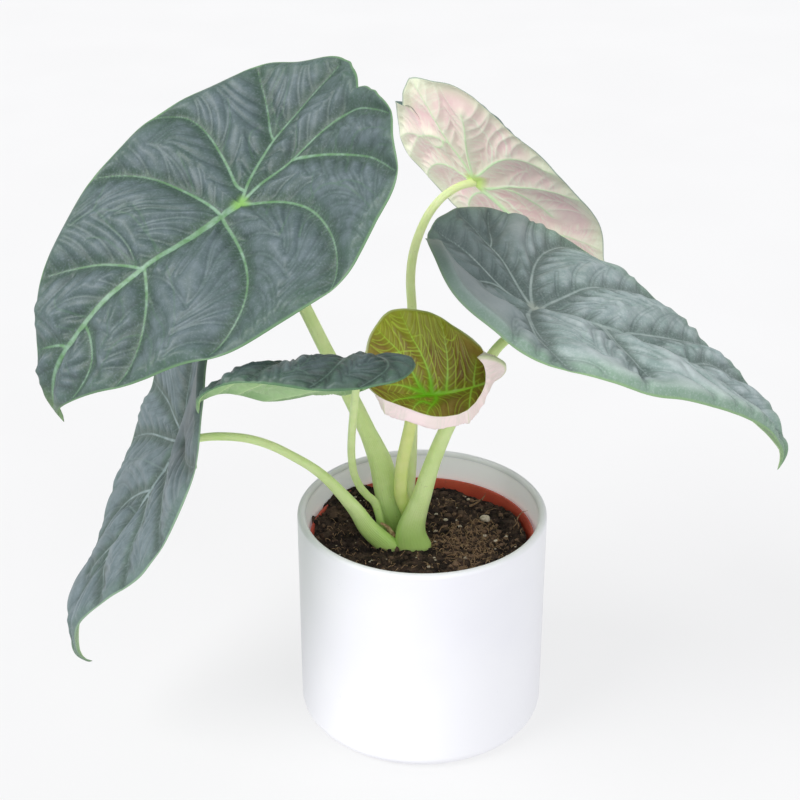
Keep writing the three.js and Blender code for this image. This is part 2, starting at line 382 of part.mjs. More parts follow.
function soilBody() {
  const base = POT_FLOOR + CLEAR + NURSERY_WALL + CLEAR;
  const gap = NURSERY_WALL + CLEAR + 0.5;
  const mound = turned([
    [0, base], [NURSERY_BASE_R - gap, base], [NURSERY_RIM_R - 2.2 - gap, NURSERY_TOP - 10.4],
    [NURSERY_RIM_R - 2.2 - gap, SOIL_EDGE], [46, SOIL_EDGE + 1.6], [26, SOIL_CROWN], [0, SOIL_CROWN],
  ], 36);
  const pit = new THREE.CylinderGeometry(1, 1, 40, 20);
  pit.rotateX(Math.PI / 2);
  pit.scale(PIT.rx, PIT.ry, 1);
  pit.translate(PIT.x, PIT.y, PIT.floor + 20);
  const hole = new THREE.CylinderGeometry(CORM.r + CLEAR, CORM.r + CLEAR, 60, 16);
  hole.rotateX(Math.PI / 2);
  hole.translate(CORM.x, CORM.y, CORM.bottom - CLEAR + 30);
  return fromSolid(toSolid(mound).subtract(toSolid(pit)).subtract(toSolid(hole)));
}
function cormBody() {
  const { r, top, bottom } = CORM;
  const g = turned([
    [0, bottom], [r * 0.55, bottom + 1.5], [r * 0.92, bottom + 9], [r, bottom + 17],
    [r * 0.9, top - 3], [r * 0.7, top], [0, top],
  ], 16);
  g.translate(CORM.x, CORM.y, 0);
  return g;
}

// ---- the assembly ----
const plant = new THREE.Group();
plant.name = 'potted_alocasia';
function add(name, geometry, colour, roughness, metalness = 0) {
  const mesh = new THREE.Mesh(geometry, new THREE.MeshStandardMaterial({ color: colour, roughness, metalness, side: THREE.DoubleSide }));
  mesh.name = name;
  plant.add(mesh);
}
add('outer_pot', coverPot(), 0xf4f4f6, 0.35);
add('nursery_pot', nurseryPot(), 0xb9482f, 0.55);
add('soil', soilBody(), 0x3a2a22, 0.95);
add('corm', cormBody(), 0x7b5b3c, 0.8);
for (const leaf of LEAVES) {
  add(leaf.petiole.name, petioleGeometry(leaf.petiole), leaf.petiole.colour, 0.45);
  add(leaf.name, bladeGeometry(leaf), leaf.colour, leaf.roughness);
}
export default plant;
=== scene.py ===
# Potted alocasia: the fine surfaces, materials, light and camera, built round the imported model.
import math
import random

import bpy
import numpy as np
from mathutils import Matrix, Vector, kdtree, noise


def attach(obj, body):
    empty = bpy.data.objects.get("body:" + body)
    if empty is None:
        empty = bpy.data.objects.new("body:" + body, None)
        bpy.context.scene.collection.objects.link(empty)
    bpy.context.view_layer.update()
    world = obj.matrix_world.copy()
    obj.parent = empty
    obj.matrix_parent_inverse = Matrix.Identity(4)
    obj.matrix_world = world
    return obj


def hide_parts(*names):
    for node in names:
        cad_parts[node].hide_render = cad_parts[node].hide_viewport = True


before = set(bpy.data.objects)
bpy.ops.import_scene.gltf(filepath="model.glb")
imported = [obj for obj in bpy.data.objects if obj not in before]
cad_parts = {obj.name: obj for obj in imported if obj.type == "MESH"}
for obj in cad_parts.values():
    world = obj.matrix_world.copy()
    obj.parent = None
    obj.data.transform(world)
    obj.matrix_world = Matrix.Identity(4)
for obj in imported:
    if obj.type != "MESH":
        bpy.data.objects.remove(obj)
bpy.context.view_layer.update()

MM = 0.001
RNG = np.random.RandomState(7)

# ------------------------------------------------------------------ leaf shapes, in millimetres
# q: bend, sweep, twist and fold of the blade; R: its length, side and face directions; P0: where the
# petiole joins; La: length in front of that joint; st: the margin in units of La; D3: margin ripple.
LEAF = {"A":{"q":{"a1":0.02454,"a2":1.42948,"b1":-0.46664,"b2":-0.89092,"g1":-0.10112,"g2":0.18882,"h1":-0.12377,"t1":-0.15741,"t2":0.46455,"pL":0.09927,"pR":-0.06976,
"cL":0.53638,"cR":0.16994,"qL":0.06962,"qR":-0.28832,"rL":-0.28575,"rR":0.21997,"wL":1.0143,"wR":1.15723,"lr":0.95804,"ah":0.17808,"gh":-0.21197},"R":[[-0.815103,
-0.372741,-0.443476],[0.496213,-0.844273,-0.202423],[-0.298964,-0.385054,0.873129]],"P0":[-91.161,-33.456,322.421],"La":156.757,"st":[[-0.4982,-0.0],[-0.5255,-0.0199],
[-0.5478,-0.0442],[-0.5623,-0.075],[-0.574,-0.1062],[-0.5678,-0.1398],[-0.5602,-0.1731],[-0.5494,-0.2054],[-0.5357,-0.2366],[-0.5196,-0.2666],[-0.5014,-0.2953],[-0.4808,
-0.3224],[-0.4589,-0.3483],[-0.4356,-0.373],[-0.4101,-0.3953],[-0.3816,-0.4135],[-0.3518,-0.4292],[-0.3205,-0.442],[-0.2881,-0.4513],[-0.2554,-0.4593],[-0.2223,-0.4654],
[-0.1888,-0.4688],[-0.1551,-0.4706],[-0.1215,-0.4719],[-0.0878,-0.4726],[-0.0541,-0.4725],[-0.0204,-0.4716],[0.0132,-0.4703],[0.0469,-0.4688],[0.0805,-0.4666],[0.114,
-0.4633],[0.1474,-0.4591],[0.1808,-0.4543],[0.2139,-0.4483],[0.2468,-0.4407],[0.2793,-0.4319],[0.3117,-0.4225],[0.3436,-0.4115],[0.3751,-0.3993],[0.4062,-0.3863],[0.4371,
-0.3727],[0.4675,-0.3581],[0.4976,-0.3427],[0.5273,-0.3266],[0.5567,-0.3099],[0.5855,-0.2922],[0.6139,-0.2739],[0.6422,-0.2553],[0.6703,-0.2366],[0.6984,-0.2177],[0.7264,
-0.1986],[0.754,-0.1791],[0.7812,-0.1589],[0.8078,-0.138],[0.8342,-0.1168],[0.8608,-0.0958],[0.8875,-0.075],[0.9145,-0.0546],[0.9425,-0.0356],[0.971,-0.0174],[1.0,0.0],
[0.971,0.0199],[0.9425,0.0406],[0.9145,0.0623],[0.8875,0.0855],[0.8608,0.1093],[0.8342,0.1332],[0.8078,0.1575],[0.7812,0.1813],[0.754,0.2043],[0.7264,0.2266],[0.6984,
0.2484],[0.6703,0.2699],[0.6422,0.2912],[0.6139,0.3125],[0.5855,0.3334],[0.5567,0.3535],[0.5273,0.3726],[0.4976,0.391],[0.4675,0.4086],[0.4371,0.4252],[0.4062,0.4408],
[0.3751,0.4556],[0.3436,0.4695],[0.3117,0.482],[0.2793,0.4928],[0.2468,0.5027],[0.2139,0.5114],[0.1808,0.5183],[0.1474,0.5238],[0.114,0.5286],[0.0805,0.5323],[0.0469,
0.5348],[0.0132,0.5366],[-0.0204,0.5381],[-0.0541,0.5391],[-0.0878,0.5392],[-0.1215,0.5384],[-0.1551,0.5369],[-0.1888,0.5348],[-0.2223,0.531],[-0.2554,0.524],[-0.2881,
0.5149],[-0.3205,0.5042],[-0.3518,0.4897],[-0.3816,0.4717],[-0.4101,0.4509],[-0.4356,0.4256],[-0.4589,0.3973],[-0.4808,0.3678],[-0.5014,0.3369],[-0.5196,0.3042],[-0.5357,
0.27],[-0.5494,0.2343],[-0.5602,0.1974],[-0.5678,0.1595],[-0.574,0.1212],[-0.5623,0.0856],[-0.5478,0.0504],[-0.5255,0.0227]],"D3":[[2.03,1.76,3.43],[0.66,1.98,3.85],
[-0.61,1.36,2.65],[-1.0,0.55,1.08],[-0.85,0.13,0.25],[-0.48,0.21,0.4],[-0.24,0.39,0.76],[-0.21,0.34,0.65],[-0.25,0.06,0.12],[-0.3,-0.31,-0.6],[-0.28,-0.62,-1.21],[-0.18,
-0.73,-1.43],[-0.08,-0.57,-1.11],[-0.04,-0.26,-0.51],[-0.07,0.02,0.04],[-0.08,0.18,0.35],[0.01,0.16,0.32],[0.15,0.05,0.11],[0.28,-0.08,-0.15],[0.34,-0.2,-0.38],[0.33,
-0.25,-0.48],[0.2,-0.18,-0.35],[-0.06,0.0,0.0],[-0.37,0.22,0.43],[-0.61,0.38,0.75],[-0.73,0.45,0.88],[-0.79,0.45,0.87],[-0.83,0.42,0.81],[-0.86,0.41,0.8],[-0.86,0.39,
0.76],[-0.67,0.27,0.52],[-0.28,0.06,0.11],[0.13,-0.15,-0.29],[0.41,-0.27,-0.53],[0.51,-0.29,-0.57],[0.42,-0.23,-0.45],[0.3,-0.18,-0.34],[0.34,-0.18,-0.35],[0.52,-0.22,
-0.42],[0.73,-0.26,-0.51],[0.88,-0.3,-0.59],[0.92,-0.3,-0.59],[0.76,-0.25,-0.49],[0.43,-0.16,-0.32],[-0.01,-0.06,-0.12],[-0.52,0.04,0.07],[-0.94,0.12,0.23],[-1.05,0.15,
0.3],[-0.84,0.14,0.28],[-0.48,0.11,0.21],[-0.14,0.07,0.14],[0.1,0.05,0.1],[0.22,0.04,0.08],[0.22,0.0,0.0],[0.12,-0.03,-0.05],[-0.03,-0.02,-0.04],[-0.21,0.02,0.03],[-0.43,
0.12,0.23],[-0.5,0.26,0.51],[0.14,0.24,0.47],[3.32,-0.8,-1.56],[1.29,0.34,0.67],[0.86,0.5,0.97],[0.57,0.43,0.83],[0.42,0.32,0.62],[0.36,0.24,0.46],[0.36,0.18,0.35],[0.38,
0.13,0.26],[0.43,0.06,0.12],[0.48,-0.07,-0.14],[0.51,-0.24,-0.47],[0.55,-0.42,-0.81],[0.58,-0.59,-1.14],[0.6,-0.68,-1.32],[0.58,-0.62,-1.21],[0.46,-0.43,-0.84],[0.24,
-0.18,-0.34],[0.01,0.12,0.23],[-0.2,0.4,0.78],[-0.31,0.61,1.19],[-0.31,0.67,1.3],[-0.19,0.51,1.0],[-0.01,0.25,0.48],[0.15,0.03,0.06],[0.27,-0.06,-0.12],[0.25,-0.03,
-0.06],[0.07,0.08,0.15],[-0.13,0.19,0.37],[-0.24,0.26,0.5],[-0.26,0.26,0.5],[-0.19,0.19,0.38],[0.01,0.08,0.16],[0.3,-0.08,-0.16],[0.66,-0.28,-0.54],[1.04,-0.45,-0.87],
[1.27,-0.53,-1.03],[1.21,-0.48,-0.94],[0.71,-0.29,-0.57],[-0.1,-0.03,-0.06],[-0.88,0.21,0.41],[-1.39,0.35,0.68],[-1.49,0.36,0.7],[-1.1,0.24,0.47],[-0.36,0.07,0.15],[0.36,
-0.07,-0.15],[0.75,-0.16,-0.32],[0.71,-0.2,-0.39],[0.33,-0.2,-0.4],[-0.11,-0.19,-0.36],[-0.19,-0.15,-0.3],[0.32,-0.13,-0.26],[0.97,-0.15,-0.29],[1.07,-0.24,-0.46],[0.53,
-0.44,-0.86],[-0.22,-0.76,-1.48],[-0.88,-1.11,-2.17],[-1.17,-1.25,-2.43],[-0.81,-0.92,-1.8],[0.29,-0.19,-0.37],[1.7,0.83,1.62]]},"C":{"q":{"a1":0.34179,"a2":0.50959,
"b1":-1.33389,"b2":-0.8231,"g1":0.09304,"g2":-0.33722,"h1":0.01222,"t1":0.04726,"t2":-0.40495,"pL":-0.11017,"pR":0.53978,"cL":-0.33559,"cR":-0.37282,"qL":-0.17247,
"qR":-0.13781,"rL":-0.59648,"rR":-0.79304,"wL":1.05748,"wR":1.09175,"lr":0.74391,"ah":1.37714,"gh":0.0199},"R":[[0.969574,-0.109378,-0.219005],[0.037419,0.950336,
-0.308967],[0.241922,0.291372,0.925514]],"P0":[57.146,-13.752,257.191],"La":163.817,"st":[[-0.3868,-0.0],[-0.4101,-0.0228],[-0.4268,-0.0502],[-0.4379,-0.0817],[-0.4453,
-0.1135],[-0.4408,-0.1467],[-0.4351,-0.1797],[-0.4271,-0.2122],[-0.417,-0.2439],[-0.4048,-0.2749],[-0.3908,-0.305],[-0.3747,-0.3339],[-0.3571,-0.3618],[-0.3383,-0.3888],
[-0.3169,-0.4136],[-0.2921,-0.4344],[-0.2653,-0.4523],[-0.2363,-0.4659],[-0.2062,-0.4764],[-0.1755,-0.4846],[-0.144,-0.4889],[-0.1124,-0.4911],[-0.0807,-0.4925],[-0.049,
-0.4927],[-0.0172,-0.4918],[0.0144,-0.4903],[0.0461,-0.4888],[0.0778,-0.4867],[0.1094,-0.4835],[0.1409,-0.4795],[0.1723,-0.4749],[0.2036,-0.4695],[0.2346,-0.4625],
[0.2654,-0.4543],[0.2959,-0.4454],[0.3263,-0.4355],[0.3561,-0.4241],[0.3856,-0.4118],[0.4149,-0.3989],[0.4439,-0.3853],[0.4725,-0.3708],[0.5007,-0.3556],[0.5287,-0.3397],
[0.5563,-0.3233],[0.5835,-0.3059],[0.6103,-0.288],[0.6369,-0.2697],[0.6635,-0.2514],[0.69,-0.233],[0.7163,-0.2143],[0.7425,-0.1953],[0.7683,-0.1758],[0.7936,-0.1556],
[0.8186,-0.1349],[0.8434,-0.114],[0.8685,-0.0935],[0.8937,-0.0731],[0.9193,-0.0534],[0.9458,-0.0348],[0.9727,-0.0171],[1.0,0.0],[0.9727,0.0176],[0.9458,0.036],[0.9193,
0.0551],[0.8937,0.0755],[0.8685,0.0966],[0.8434,0.1177],[0.8186,0.1393],[0.7936,0.1607],[0.7683,0.1815],[0.7425,0.2016],[0.7163,0.2212],[0.69,0.2405],[0.6635,0.2595],
[0.6369,0.2785],[0.6103,0.2973],[0.5835,0.3159],[0.5563,0.3337],[0.5287,0.3507],[0.5007,0.3671],[0.4725,0.3828],[0.4439,0.3978],[0.4149,0.4118],[0.3856,0.4252],[0.3561,
0.4379],[0.3263,0.4496],[0.2959,0.4598],[0.2654,0.4691],[0.2346,0.4775],[0.2036,0.4847],[0.1723,0.4903],[0.1409,0.4951],[0.1094,0.4992],[0.0778,0.5024],[0.0461,0.5046],
[0.0144,0.5062],[-0.0172,0.5077],[-0.049,0.5087],[-0.0807,0.5085],[-0.1124,0.507],[-0.144,0.5048],[-0.1755,0.5003],[-0.2062,0.4919],[-0.2363,0.481],[-0.2653,0.4669],
[-0.2921,0.4484],[-0.3169,0.427],[-0.3383,0.4014],[-0.3571,0.3736],[-0.3747,0.3447],[-0.3908,0.3149],[-0.4048,0.2838],[-0.417,0.2518],[-0.4271,0.2191],[-0.4351,0.1855],
[-0.4408,0.1515],[-0.4453,0.1172],[-0.4379,0.0843],[-0.4268,0.0518],[-0.4101,0.0235]],"D3":[[-2.21,0.78,1.53],[-1.05,0.07,0.14],[0.26,-0.78,-1.53],[1.24,-1.48,-2.88],
[1.65,-1.81,-3.53],[1.59,-1.79,-3.48],[1.3,-1.56,-3.05],[0.96,-1.3,-2.52],[0.66,-1.03,-2.02],[0.45,-0.8,-1.55],[0.37,-0.6,-1.18],[0.32,-0.46,-0.89],[0.27,-0.39,-0.76],
[0.21,-0.42,-0.81],[0.13,-0.46,-0.9],[0.03,-0.44,-0.85],[0.02,-0.33,-0.65],[0.17,-0.16,-0.3],[0.44,0.06,0.12],[0.75,0.3,0.58],[0.96,0.46,0.89],[0.85,0.42,0.81],[0.33,
0.17,0.33],[-0.31,-0.16,-0.31],[-0.8,-0.44,-0.86],[-1.0,-0.6,-1.17],[-0.92,-0.57,-1.11],[-0.65,-0.35,-0.68],[-0.36,-0.07,-0.13],[-0.12,0.17,0.34],[0.02,0.35,0.69],[0.08,
0.46,0.9],[0.09,0.49,0.95],[0.05,0.44,0.86],[-0.04,0.31,0.6],[-0.14,0.11,0.22],[-0.21,-0.1,-0.19],[-0.25,-0.28,-0.55],[-0.26,-0.39,-0.75],[-0.21,-0.34,-0.66],[-0.13,
-0.18,-0.35],[-0.06,-0.03,-0.05],[-0.06,0.03,0.05],[-0.1,-0.0,-0.0],[-0.11,-0.06,-0.11],[-0.11,-0.1,-0.2],[-0.15,-0.13,-0.25],[-0.16,-0.12,-0.24],[-0.09,-0.07,-0.14],
[-0.04,0.0,0.0],[-0.0,0.08,0.15],[0.09,0.17,0.32],[0.28,0.27,0.52],[0.55,0.35,0.68],[0.73,0.35,0.68],[0.54,0.27,0.52],[-0.03,0.15,0.29],[-0.69,0.14,0.27],[-1.04,0.29,
0.57],[-0.83,0.39,0.76],[-0.31,-0.27,-0.53],[0.21,0.44,0.87],[0.26,0.33,0.65],[0.25,0.12,0.24],[0.39,0.08,0.16],[0.56,0.17,0.32],[0.71,0.25,0.48],[0.83,0.32,0.63],[0.92,
0.4,0.78],[1.0,0.44,0.85],[0.98,0.42,0.82],[0.84,0.37,0.72],[0.54,0.28,0.54],[0.16,0.11,0.22],[-0.2,-0.08,-0.16],[-0.53,-0.25,-0.5],[-0.81,-0.39,-0.77],[-1.04,-0.5,
-0.97],[-1.19,-0.57,-1.1],[-1.19,-0.57,-1.11],[-1.03,-0.48,-0.93],[-0.72,-0.33,-0.65],[-0.3,-0.17,-0.33],[0.11,0.02,0.04],[0.39,0.17,0.33],[0.47,0.21,0.4],[0.39,0.15,
0.3],[0.2,0.04,0.07],[0.03,-0.08,-0.16],[-0.05,-0.13,-0.25],[-0.02,-0.06,-0.13],[0.11,0.08,0.15],[0.37,0.25,0.48],[0.78,0.39,0.75],[1.32,0.47,0.92],[1.73,0.49,0.95],
[1.66,0.42,0.81],[1.12,0.26,0.5],[0.51,0.04,0.08],[0.09,-0.21,-0.41],[-0.19,-0.45,-0.88],[-0.4,-0.62,-1.21],[-0.47,-0.66,-1.28],[-0.43,-0.57,-1.11],[-0.3,-0.39,-0.75],
[-0.16,-0.15,-0.3],[-0.1,0.07,0.14],[-0.12,0.24,0.47],[-0.1,0.37,0.73],[0.04,0.5,0.98],[0.41,0.65,1.27],[1.08,0.83,1.61],[2.12,1.05,2.05],[3.36,1.3,2.54],[4.33,1.5,2.92],
[2.32,0.77,1.49],[0.45,0.14,0.28],[0.0,0.0,0.0],[-0.29,0.13,0.24],[-1.39,0.57,1.11]]},"B":{"q":{"a1":-0.07167,"a2":0.48735,"b1":-0.41032,"b2":-0.471,"g1":0.22225,
"g2":0.0974,"h1":0.32006,"t1":-0.15602,"t2":-0.26032,"pL":0.08317,"pR":0.388,"cL":-0.0756,"cR":-0.77691,"qL":0.02469,"qR":-0.09064,"rL":-0.25589,"rR":0.30784,
"wL":1.01373,"wR":1.02243,"lr":0.94327,"ah":0.0,"gh":0.0},"R":[[0.733315,0.005516,-0.679866],[-0.474404,0.720452,-0.505855],[0.487021,0.693483,0.530936]],"P0":[30.167,
84.577,291.563],"La":118.589,"st":[[-0.4905,-0.0],[-0.5176,-0.02],[-0.5395,-0.0444],[-0.5538,-0.0752],[-0.5651,-0.1064],[-0.5591,-0.1398],[-0.5515,-0.1729],[-0.5409,
-0.2052],[-0.5275,-0.2363],[-0.5117,-0.2663],[-0.4937,-0.295],[-0.4735,-0.3221],[-0.4518,-0.348],[-0.4289,-0.3728],[-0.4036,-0.3952],[-0.3753,-0.4135],[-0.3457,-0.4293],
[-0.3146,-0.442],[-0.2823,-0.4514],[-0.2497,-0.4594],[-0.2167,-0.4654],[-0.1834,-0.4687],[-0.1499,-0.4705],[-0.1163,-0.4718],[-0.0828,-0.4724],[-0.0493,-0.4721],[-0.0157,
-0.4712],[0.0178,-0.4699],[0.0513,-0.4683],[0.0847,-0.466],[0.1181,-0.4625],[0.1514,-0.4583],[0.1846,-0.4534],[0.2176,-0.4472],[0.2502,-0.4395],[0.2827,-0.4308],[0.3148,
-0.4212],[0.3466,-0.4102],[0.3779,-0.398],[0.4089,-0.385],[0.4396,-0.3714],[0.4699,-0.3568],[0.4998,-0.3413],[0.5294,-0.3253],[0.5586,-0.3086],[0.5872,-0.2909],[0.6156,
-0.2727],[0.6437,-0.2541],[0.6717,-0.2355],[0.6997,-0.2168],[0.7275,-0.1977],[0.755,-0.1782],[0.7821,-0.1582],[0.8086,-0.1373],[0.8349,-0.1162],[0.8613,-0.0953],[0.8879,
-0.0746],[0.9149,-0.0543],[0.9427,-0.0354],[0.9712,-0.0173],[1.0,0.0],[0.9712,0.0175],[0.9427,0.0357],[0.9149,0.0548],[0.8879,0.0752],[0.8613,0.0961],[0.8349,0.1172],
[0.8086,0.1385],[0.7821,0.1595],[0.755,0.1797],[0.7275,0.1994],[0.6997,0.2186],[0.6717,0.2375],[0.6437,0.2563],[0.6156,0.275],[0.5872,0.2934],[0.5586,0.3112],[0.5294,
0.3281],[0.4998,0.3443],[0.4699,0.3598],[0.4396,0.3745],[0.4089,0.3883],[0.3779,0.4014],[0.3466,0.4137],[0.3148,0.4248],[0.2827,0.4344],[0.2502,0.4433],[0.2176,0.4511],
[0.1846,0.4573],[0.1514,0.4622],[0.1181,0.4665],[0.0847,0.47],[0.0513,0.4723],[0.0178,0.4739],[-0.0157,0.4753],[-0.0493,0.4762],[-0.0828,0.4764],[-0.1163,0.4758],
[-0.1499,0.4745],[-0.1834,0.4727],[-0.2167,0.4694],[-0.2497,0.4633],[-0.2823,0.4553],[-0.3146,0.4458],[-0.3457,0.433],[-0.3753,0.417],[-0.4036,0.3986],[-0.4289,0.376],
[-0.4518,0.351],[-0.4735,0.3249],[-0.4937,0.2975],[-0.5117,0.2686],[-0.5275,0.2384],[-0.5409,0.2069],[-0.5515,0.1744],[-0.5591,0.141],[-0.5651,0.1073],[-0.5538,0.0758],
[-0.5395,0.0448],[-0.5176,0.0202]],"D3":[[-1.37,-0.11,-0.21],[-0.27,-0.01,-0.02],[0.26,0.1,0.2],[1.34,0.52,1.01],[2.51,0.95,1.86],[1.98,0.73,1.43],[1.27,0.44,0.85],[0.65,
0.12,0.23],[0.29,-0.2,-0.4],[0.13,-0.47,-0.92],[0.05,-0.61,-1.18],[0.1,-0.54,-1.04],[0.28,-0.31,-0.6],[0.48,-0.13,-0.25],[0.61,-0.03,-0.07],[0.71,0.02,0.03],[0.74,0.08,
0.15],[0.64,0.13,0.25],[0.42,0.11,0.21],[0.19,0.05,0.1],[0.05,0.03,0.06],[-0.07,-0.01,-0.01],[-0.28,-0.09,-0.18],[-0.46,-0.16,-0.31],[-0.4,-0.12,-0.24],[-0.18,-0.0,-0.0],
[0.07,0.15,0.28],[0.23,0.24,0.46],[0.22,0.22,0.42],[0.07,0.13,0.25],[-0.17,0.03,0.06],[-0.45,-0.05,-0.09],[-0.66,-0.11,-0.22],[-0.75,-0.16,-0.32],[-0.71,-0.18,-0.34],
[-0.56,-0.13,-0.25],[-0.32,-0.02,-0.05],[-0.05,0.09,0.18],[0.22,0.18,0.35],[0.51,0.23,0.45],[0.75,0.26,0.51],[0.86,0.27,0.53],[0.82,0.24,0.48],[0.59,0.17,0.33],[0.2,0.09,
0.18],[-0.29,0.11,0.22],[-0.8,0.3,0.59],[-1.24,0.69,1.34],[-1.55,1.17,2.27],[-1.73,1.56,3.03],[-0.87,0.85,1.66],[-0.16,0.17,0.33],[0.0,0.0,0.0],[0.0,0.0,0.0],[0.0,0.0,
0.0],[0.0,0.0,0.0],[0.0,0.0,0.0],[0.0,0.0,0.0],[0.0,0.0,0.0],[0.0,0.0,0.0],[0.0,0.0,0.0],[0.0,0.0,0.0],[0.0,0.0,0.0],[0.0,0.0,0.0],[0.0,0.0,0.0],[0.0,0.0,0.0],[0.0,0.0,
0.0],[0.0,0.0,0.0],[0.0,0.0,0.0],[0.0,0.0,0.0],[0.0,0.0,0.0],[0.0,0.0,0.0],[0.0,0.0,0.0],[0.0,0.0,0.0],[0.0,0.0,0.0],[0.0,0.0,0.0],[0.0,0.0,0.0],[0.0,0.0,0.0],[0.0,0.0,
0.0],[0.0,0.0,0.0],[0.0,0.0,0.0],[0.0,0.0,0.0],[0.0,0.0,0.0],[0.0,0.0,0.0],[0.0,0.0,0.0],[0.0,0.0,0.0],[0.0,0.0,0.0],[-0.24,0.08,0.16],[-1.2,0.41,0.81],[-2.18,0.74,1.44],
[-1.58,0.52,1.02],[-0.84,0.26,0.51],[-0.21,0.07,0.14],[0.18,0.01,0.02],[0.4,0.04,0.07],[0.52,0.1,0.19],[0.55,0.16,0.31],[0.5,0.19,0.38],[0.38,0.17,0.33],[0.2,0.09,0.18],
[-0.01,-0.0,-0.0],[-0.24,-0.1,-0.2],[-0.43,-0.18,-0.35],[-0.52,-0.18,-0.36],[-0.48,-0.15,-0.3],[-0.32,-0.13,-0.25],[-0.05,-0.1,-0.19],[0.18,-0.05,-0.1],[0.3,-0.03,-0.07],
[0.35,-0.06,-0.11],[0.37,-0.11,-0.21],[0.39,-0.23,-0.45],[0.43,-0.42,-0.82],[0.44,-0.65,-1.26],[0.43,-0.9,-1.76],[0.35,-1.15,-2.25],[0.05,-1.29,-2.52],[-0.68,-1.15,
-2.23],[-1.63,-0.79,-1.53],[-2.42,-0.44,-0.85]]},"D":{"q":{"a1":-0.6777,"a2":1.44987,"b1":-0.29658,"b2":-0.09943,"g1":0.07562,"g2":0.25846,"h1":0.15203,"t1":0.03099,
"t2":0.13254,"pL":0.41306,"pR":-0.01365,"cL":-0.11483,"cR":-0.57978,"qL":-0.23951,"qR":-0.2282,"rL":-0.36346,"rR":-0.23306,"wL":1.03033,"wR":1.11825,"lr":0.94966,
"ah":1.65474,"gh":0.3377},"R":[[-0.437011,-0.157022,-0.885644],[0.010566,-0.985472,0.169508],[-0.899394,0.064719,0.432321]],"P0":[-131.373,-12.023,177.657],"La":148.027,
"st":[[-0.4938,-0.0],[-0.521,-0.0203],[-0.5431,-0.045],[-0.5575,-0.0763],[-0.5689,-0.108],[-0.5629,-0.1421],[-0.5553,-0.1758],[-0.5446,-0.2086],[-0.5311,-0.2403],
[-0.5151,-0.2707],[-0.497,-0.2999],[-0.4767,-0.3274],[-0.4548,-0.3538],[-0.4318,-0.3789],[-0.4064,-0.4016],[-0.3781,-0.4201],[-0.3483,-0.4362],[-0.3172,-0.4491],[-0.2848,
-0.4586],[-0.2522,-0.4667],[-0.2191,-0.4729],[-0.1857,-0.4763],[-0.1521,-0.4781],[-0.1186,-0.4794],[-0.085,-0.4801],[-0.0514,-0.4799],[-0.0178,-0.479],[0.0158,-0.4776],
[0.0494,-0.476],[0.0829,-0.4737],[0.1163,-0.4703],[0.1497,-0.466],[0.1829,-0.4611],[0.216,-0.4549],[0.2487,-0.4471],[0.2812,-0.4382],[0.3135,-0.4286],[0.3453,-0.4174],
[0.3767,-0.405],[0.4077,-0.3918],[0.4385,-0.3779],[0.4689,-0.3631],[0.4988,-0.3475],[0.5285,-0.3311],[0.5577,-0.3141],[0.5865,-0.2962],[0.6149,-0.2776],[0.643,-0.2587],
[0.6711,-0.2398],[0.6992,-0.2207],[0.727,-0.2013],[0.7546,-0.1815],[0.7817,-0.1611],[0.8083,-0.1398],[0.8346,-0.1183],[0.8611,-0.097],[0.8877,-0.0759],[0.9147,-0.0553],
[0.9426,-0.036],[0.9711,-0.0177],[1.0,0.0],[0.9711,0.0192],[0.9426,0.0391],[0.9147,0.0601],[0.8877,0.0824],[0.8611,0.1053],[0.8346,0.1284],[0.8083,0.1518],[0.7817,
0.1748],[0.7546,0.1969],[0.727,0.2185],[0.6992,0.2395],[0.6711,0.2602],[0.643,0.2808],[0.6149,0.3013],[0.5865,0.3215],[0.5577,0.3409],[0.5285,0.3594],[0.4988,0.3771],
[0.4689,0.3941],[0.4385,0.4102],[0.4077,0.4252],[0.3767,0.4396],[0.3453,0.453],[0.3135,0.4651],[0.2812,0.4756],[0.2487,0.4853],[0.216,0.4937],[0.1829,0.5005],[0.1497,
0.5058],[0.1163,0.5105],[0.0829,0.5142],[0.0494,0.5167],[0.0158,0.5184],[-0.0178,0.5199],[-0.0514,0.5209],[-0.085,0.5211],[-0.1186,0.5204],[-0.1521,0.5189],[-0.1857,
0.5169],[-0.2191,0.5133],[-0.2522,0.5066],[-0.2848,0.4978],[-0.3172,0.4875],[-0.3483,0.4734],[-0.3781,0.456],[-0.4064,0.4358],[-0.4318,0.4113],[-0.4548,0.3839],[-0.4767,
0.3554],[-0.497,0.3255],[-0.5151,0.2939],[-0.5311,0.2608],[-0.5446,0.2264],[-0.5553,0.1908],[-0.5629,0.1542],[-0.5689,0.1172],[-0.5575,0.0828],[-0.5431,0.0489],[-0.521,
0.022]],"D3":[[0.0,0.0,0.0],[0.0,0.0,0.0],[0.0,0.0,0.0],[0.0,0.0,0.0],[0.0,0.0,0.0],[0.0,0.0,0.0],[0.0,0.0,0.0],[0.0,0.0,0.0],[0.0,0.0,0.0],[0.0,0.0,0.0],[0.0,0.0,0.0],
[0.0,0.0,0.0],[0.0,0.0,0.0],[0.0,0.0,0.0],[0.0,0.0,0.0],[0.0,0.0,0.0],[0.0,0.0,0.0],[0.0,0.0,0.0],[0.0,0.0,0.0],[0.0,0.0,0.0],[0.0,0.0,0.0],[0.0,0.0,0.0],[0.0,0.0,0.0],
[0.0,0.0,0.0],[0.02,-0.16,-0.32],[0.1,-0.81,-1.59],[0.09,-1.4,-2.73],[-0.15,-0.9,-1.75],[-0.49,-0.37,-0.72],[-0.82,-0.06,-0.12],[-1.08,0.04,0.07],[-1.28,0.08,0.15],
[-1.36,0.1,0.2],[-1.27,0.08,0.15],[-1.02,0.03,0.06],[-0.74,0.02,0.04],[-0.52,0.03,0.06],[-0.37,0.02,0.03],[-0.19,-0.01,-0.03],[0.1,-0.04,-0.08],[0.49,-0.08,-0.16],[0.92,
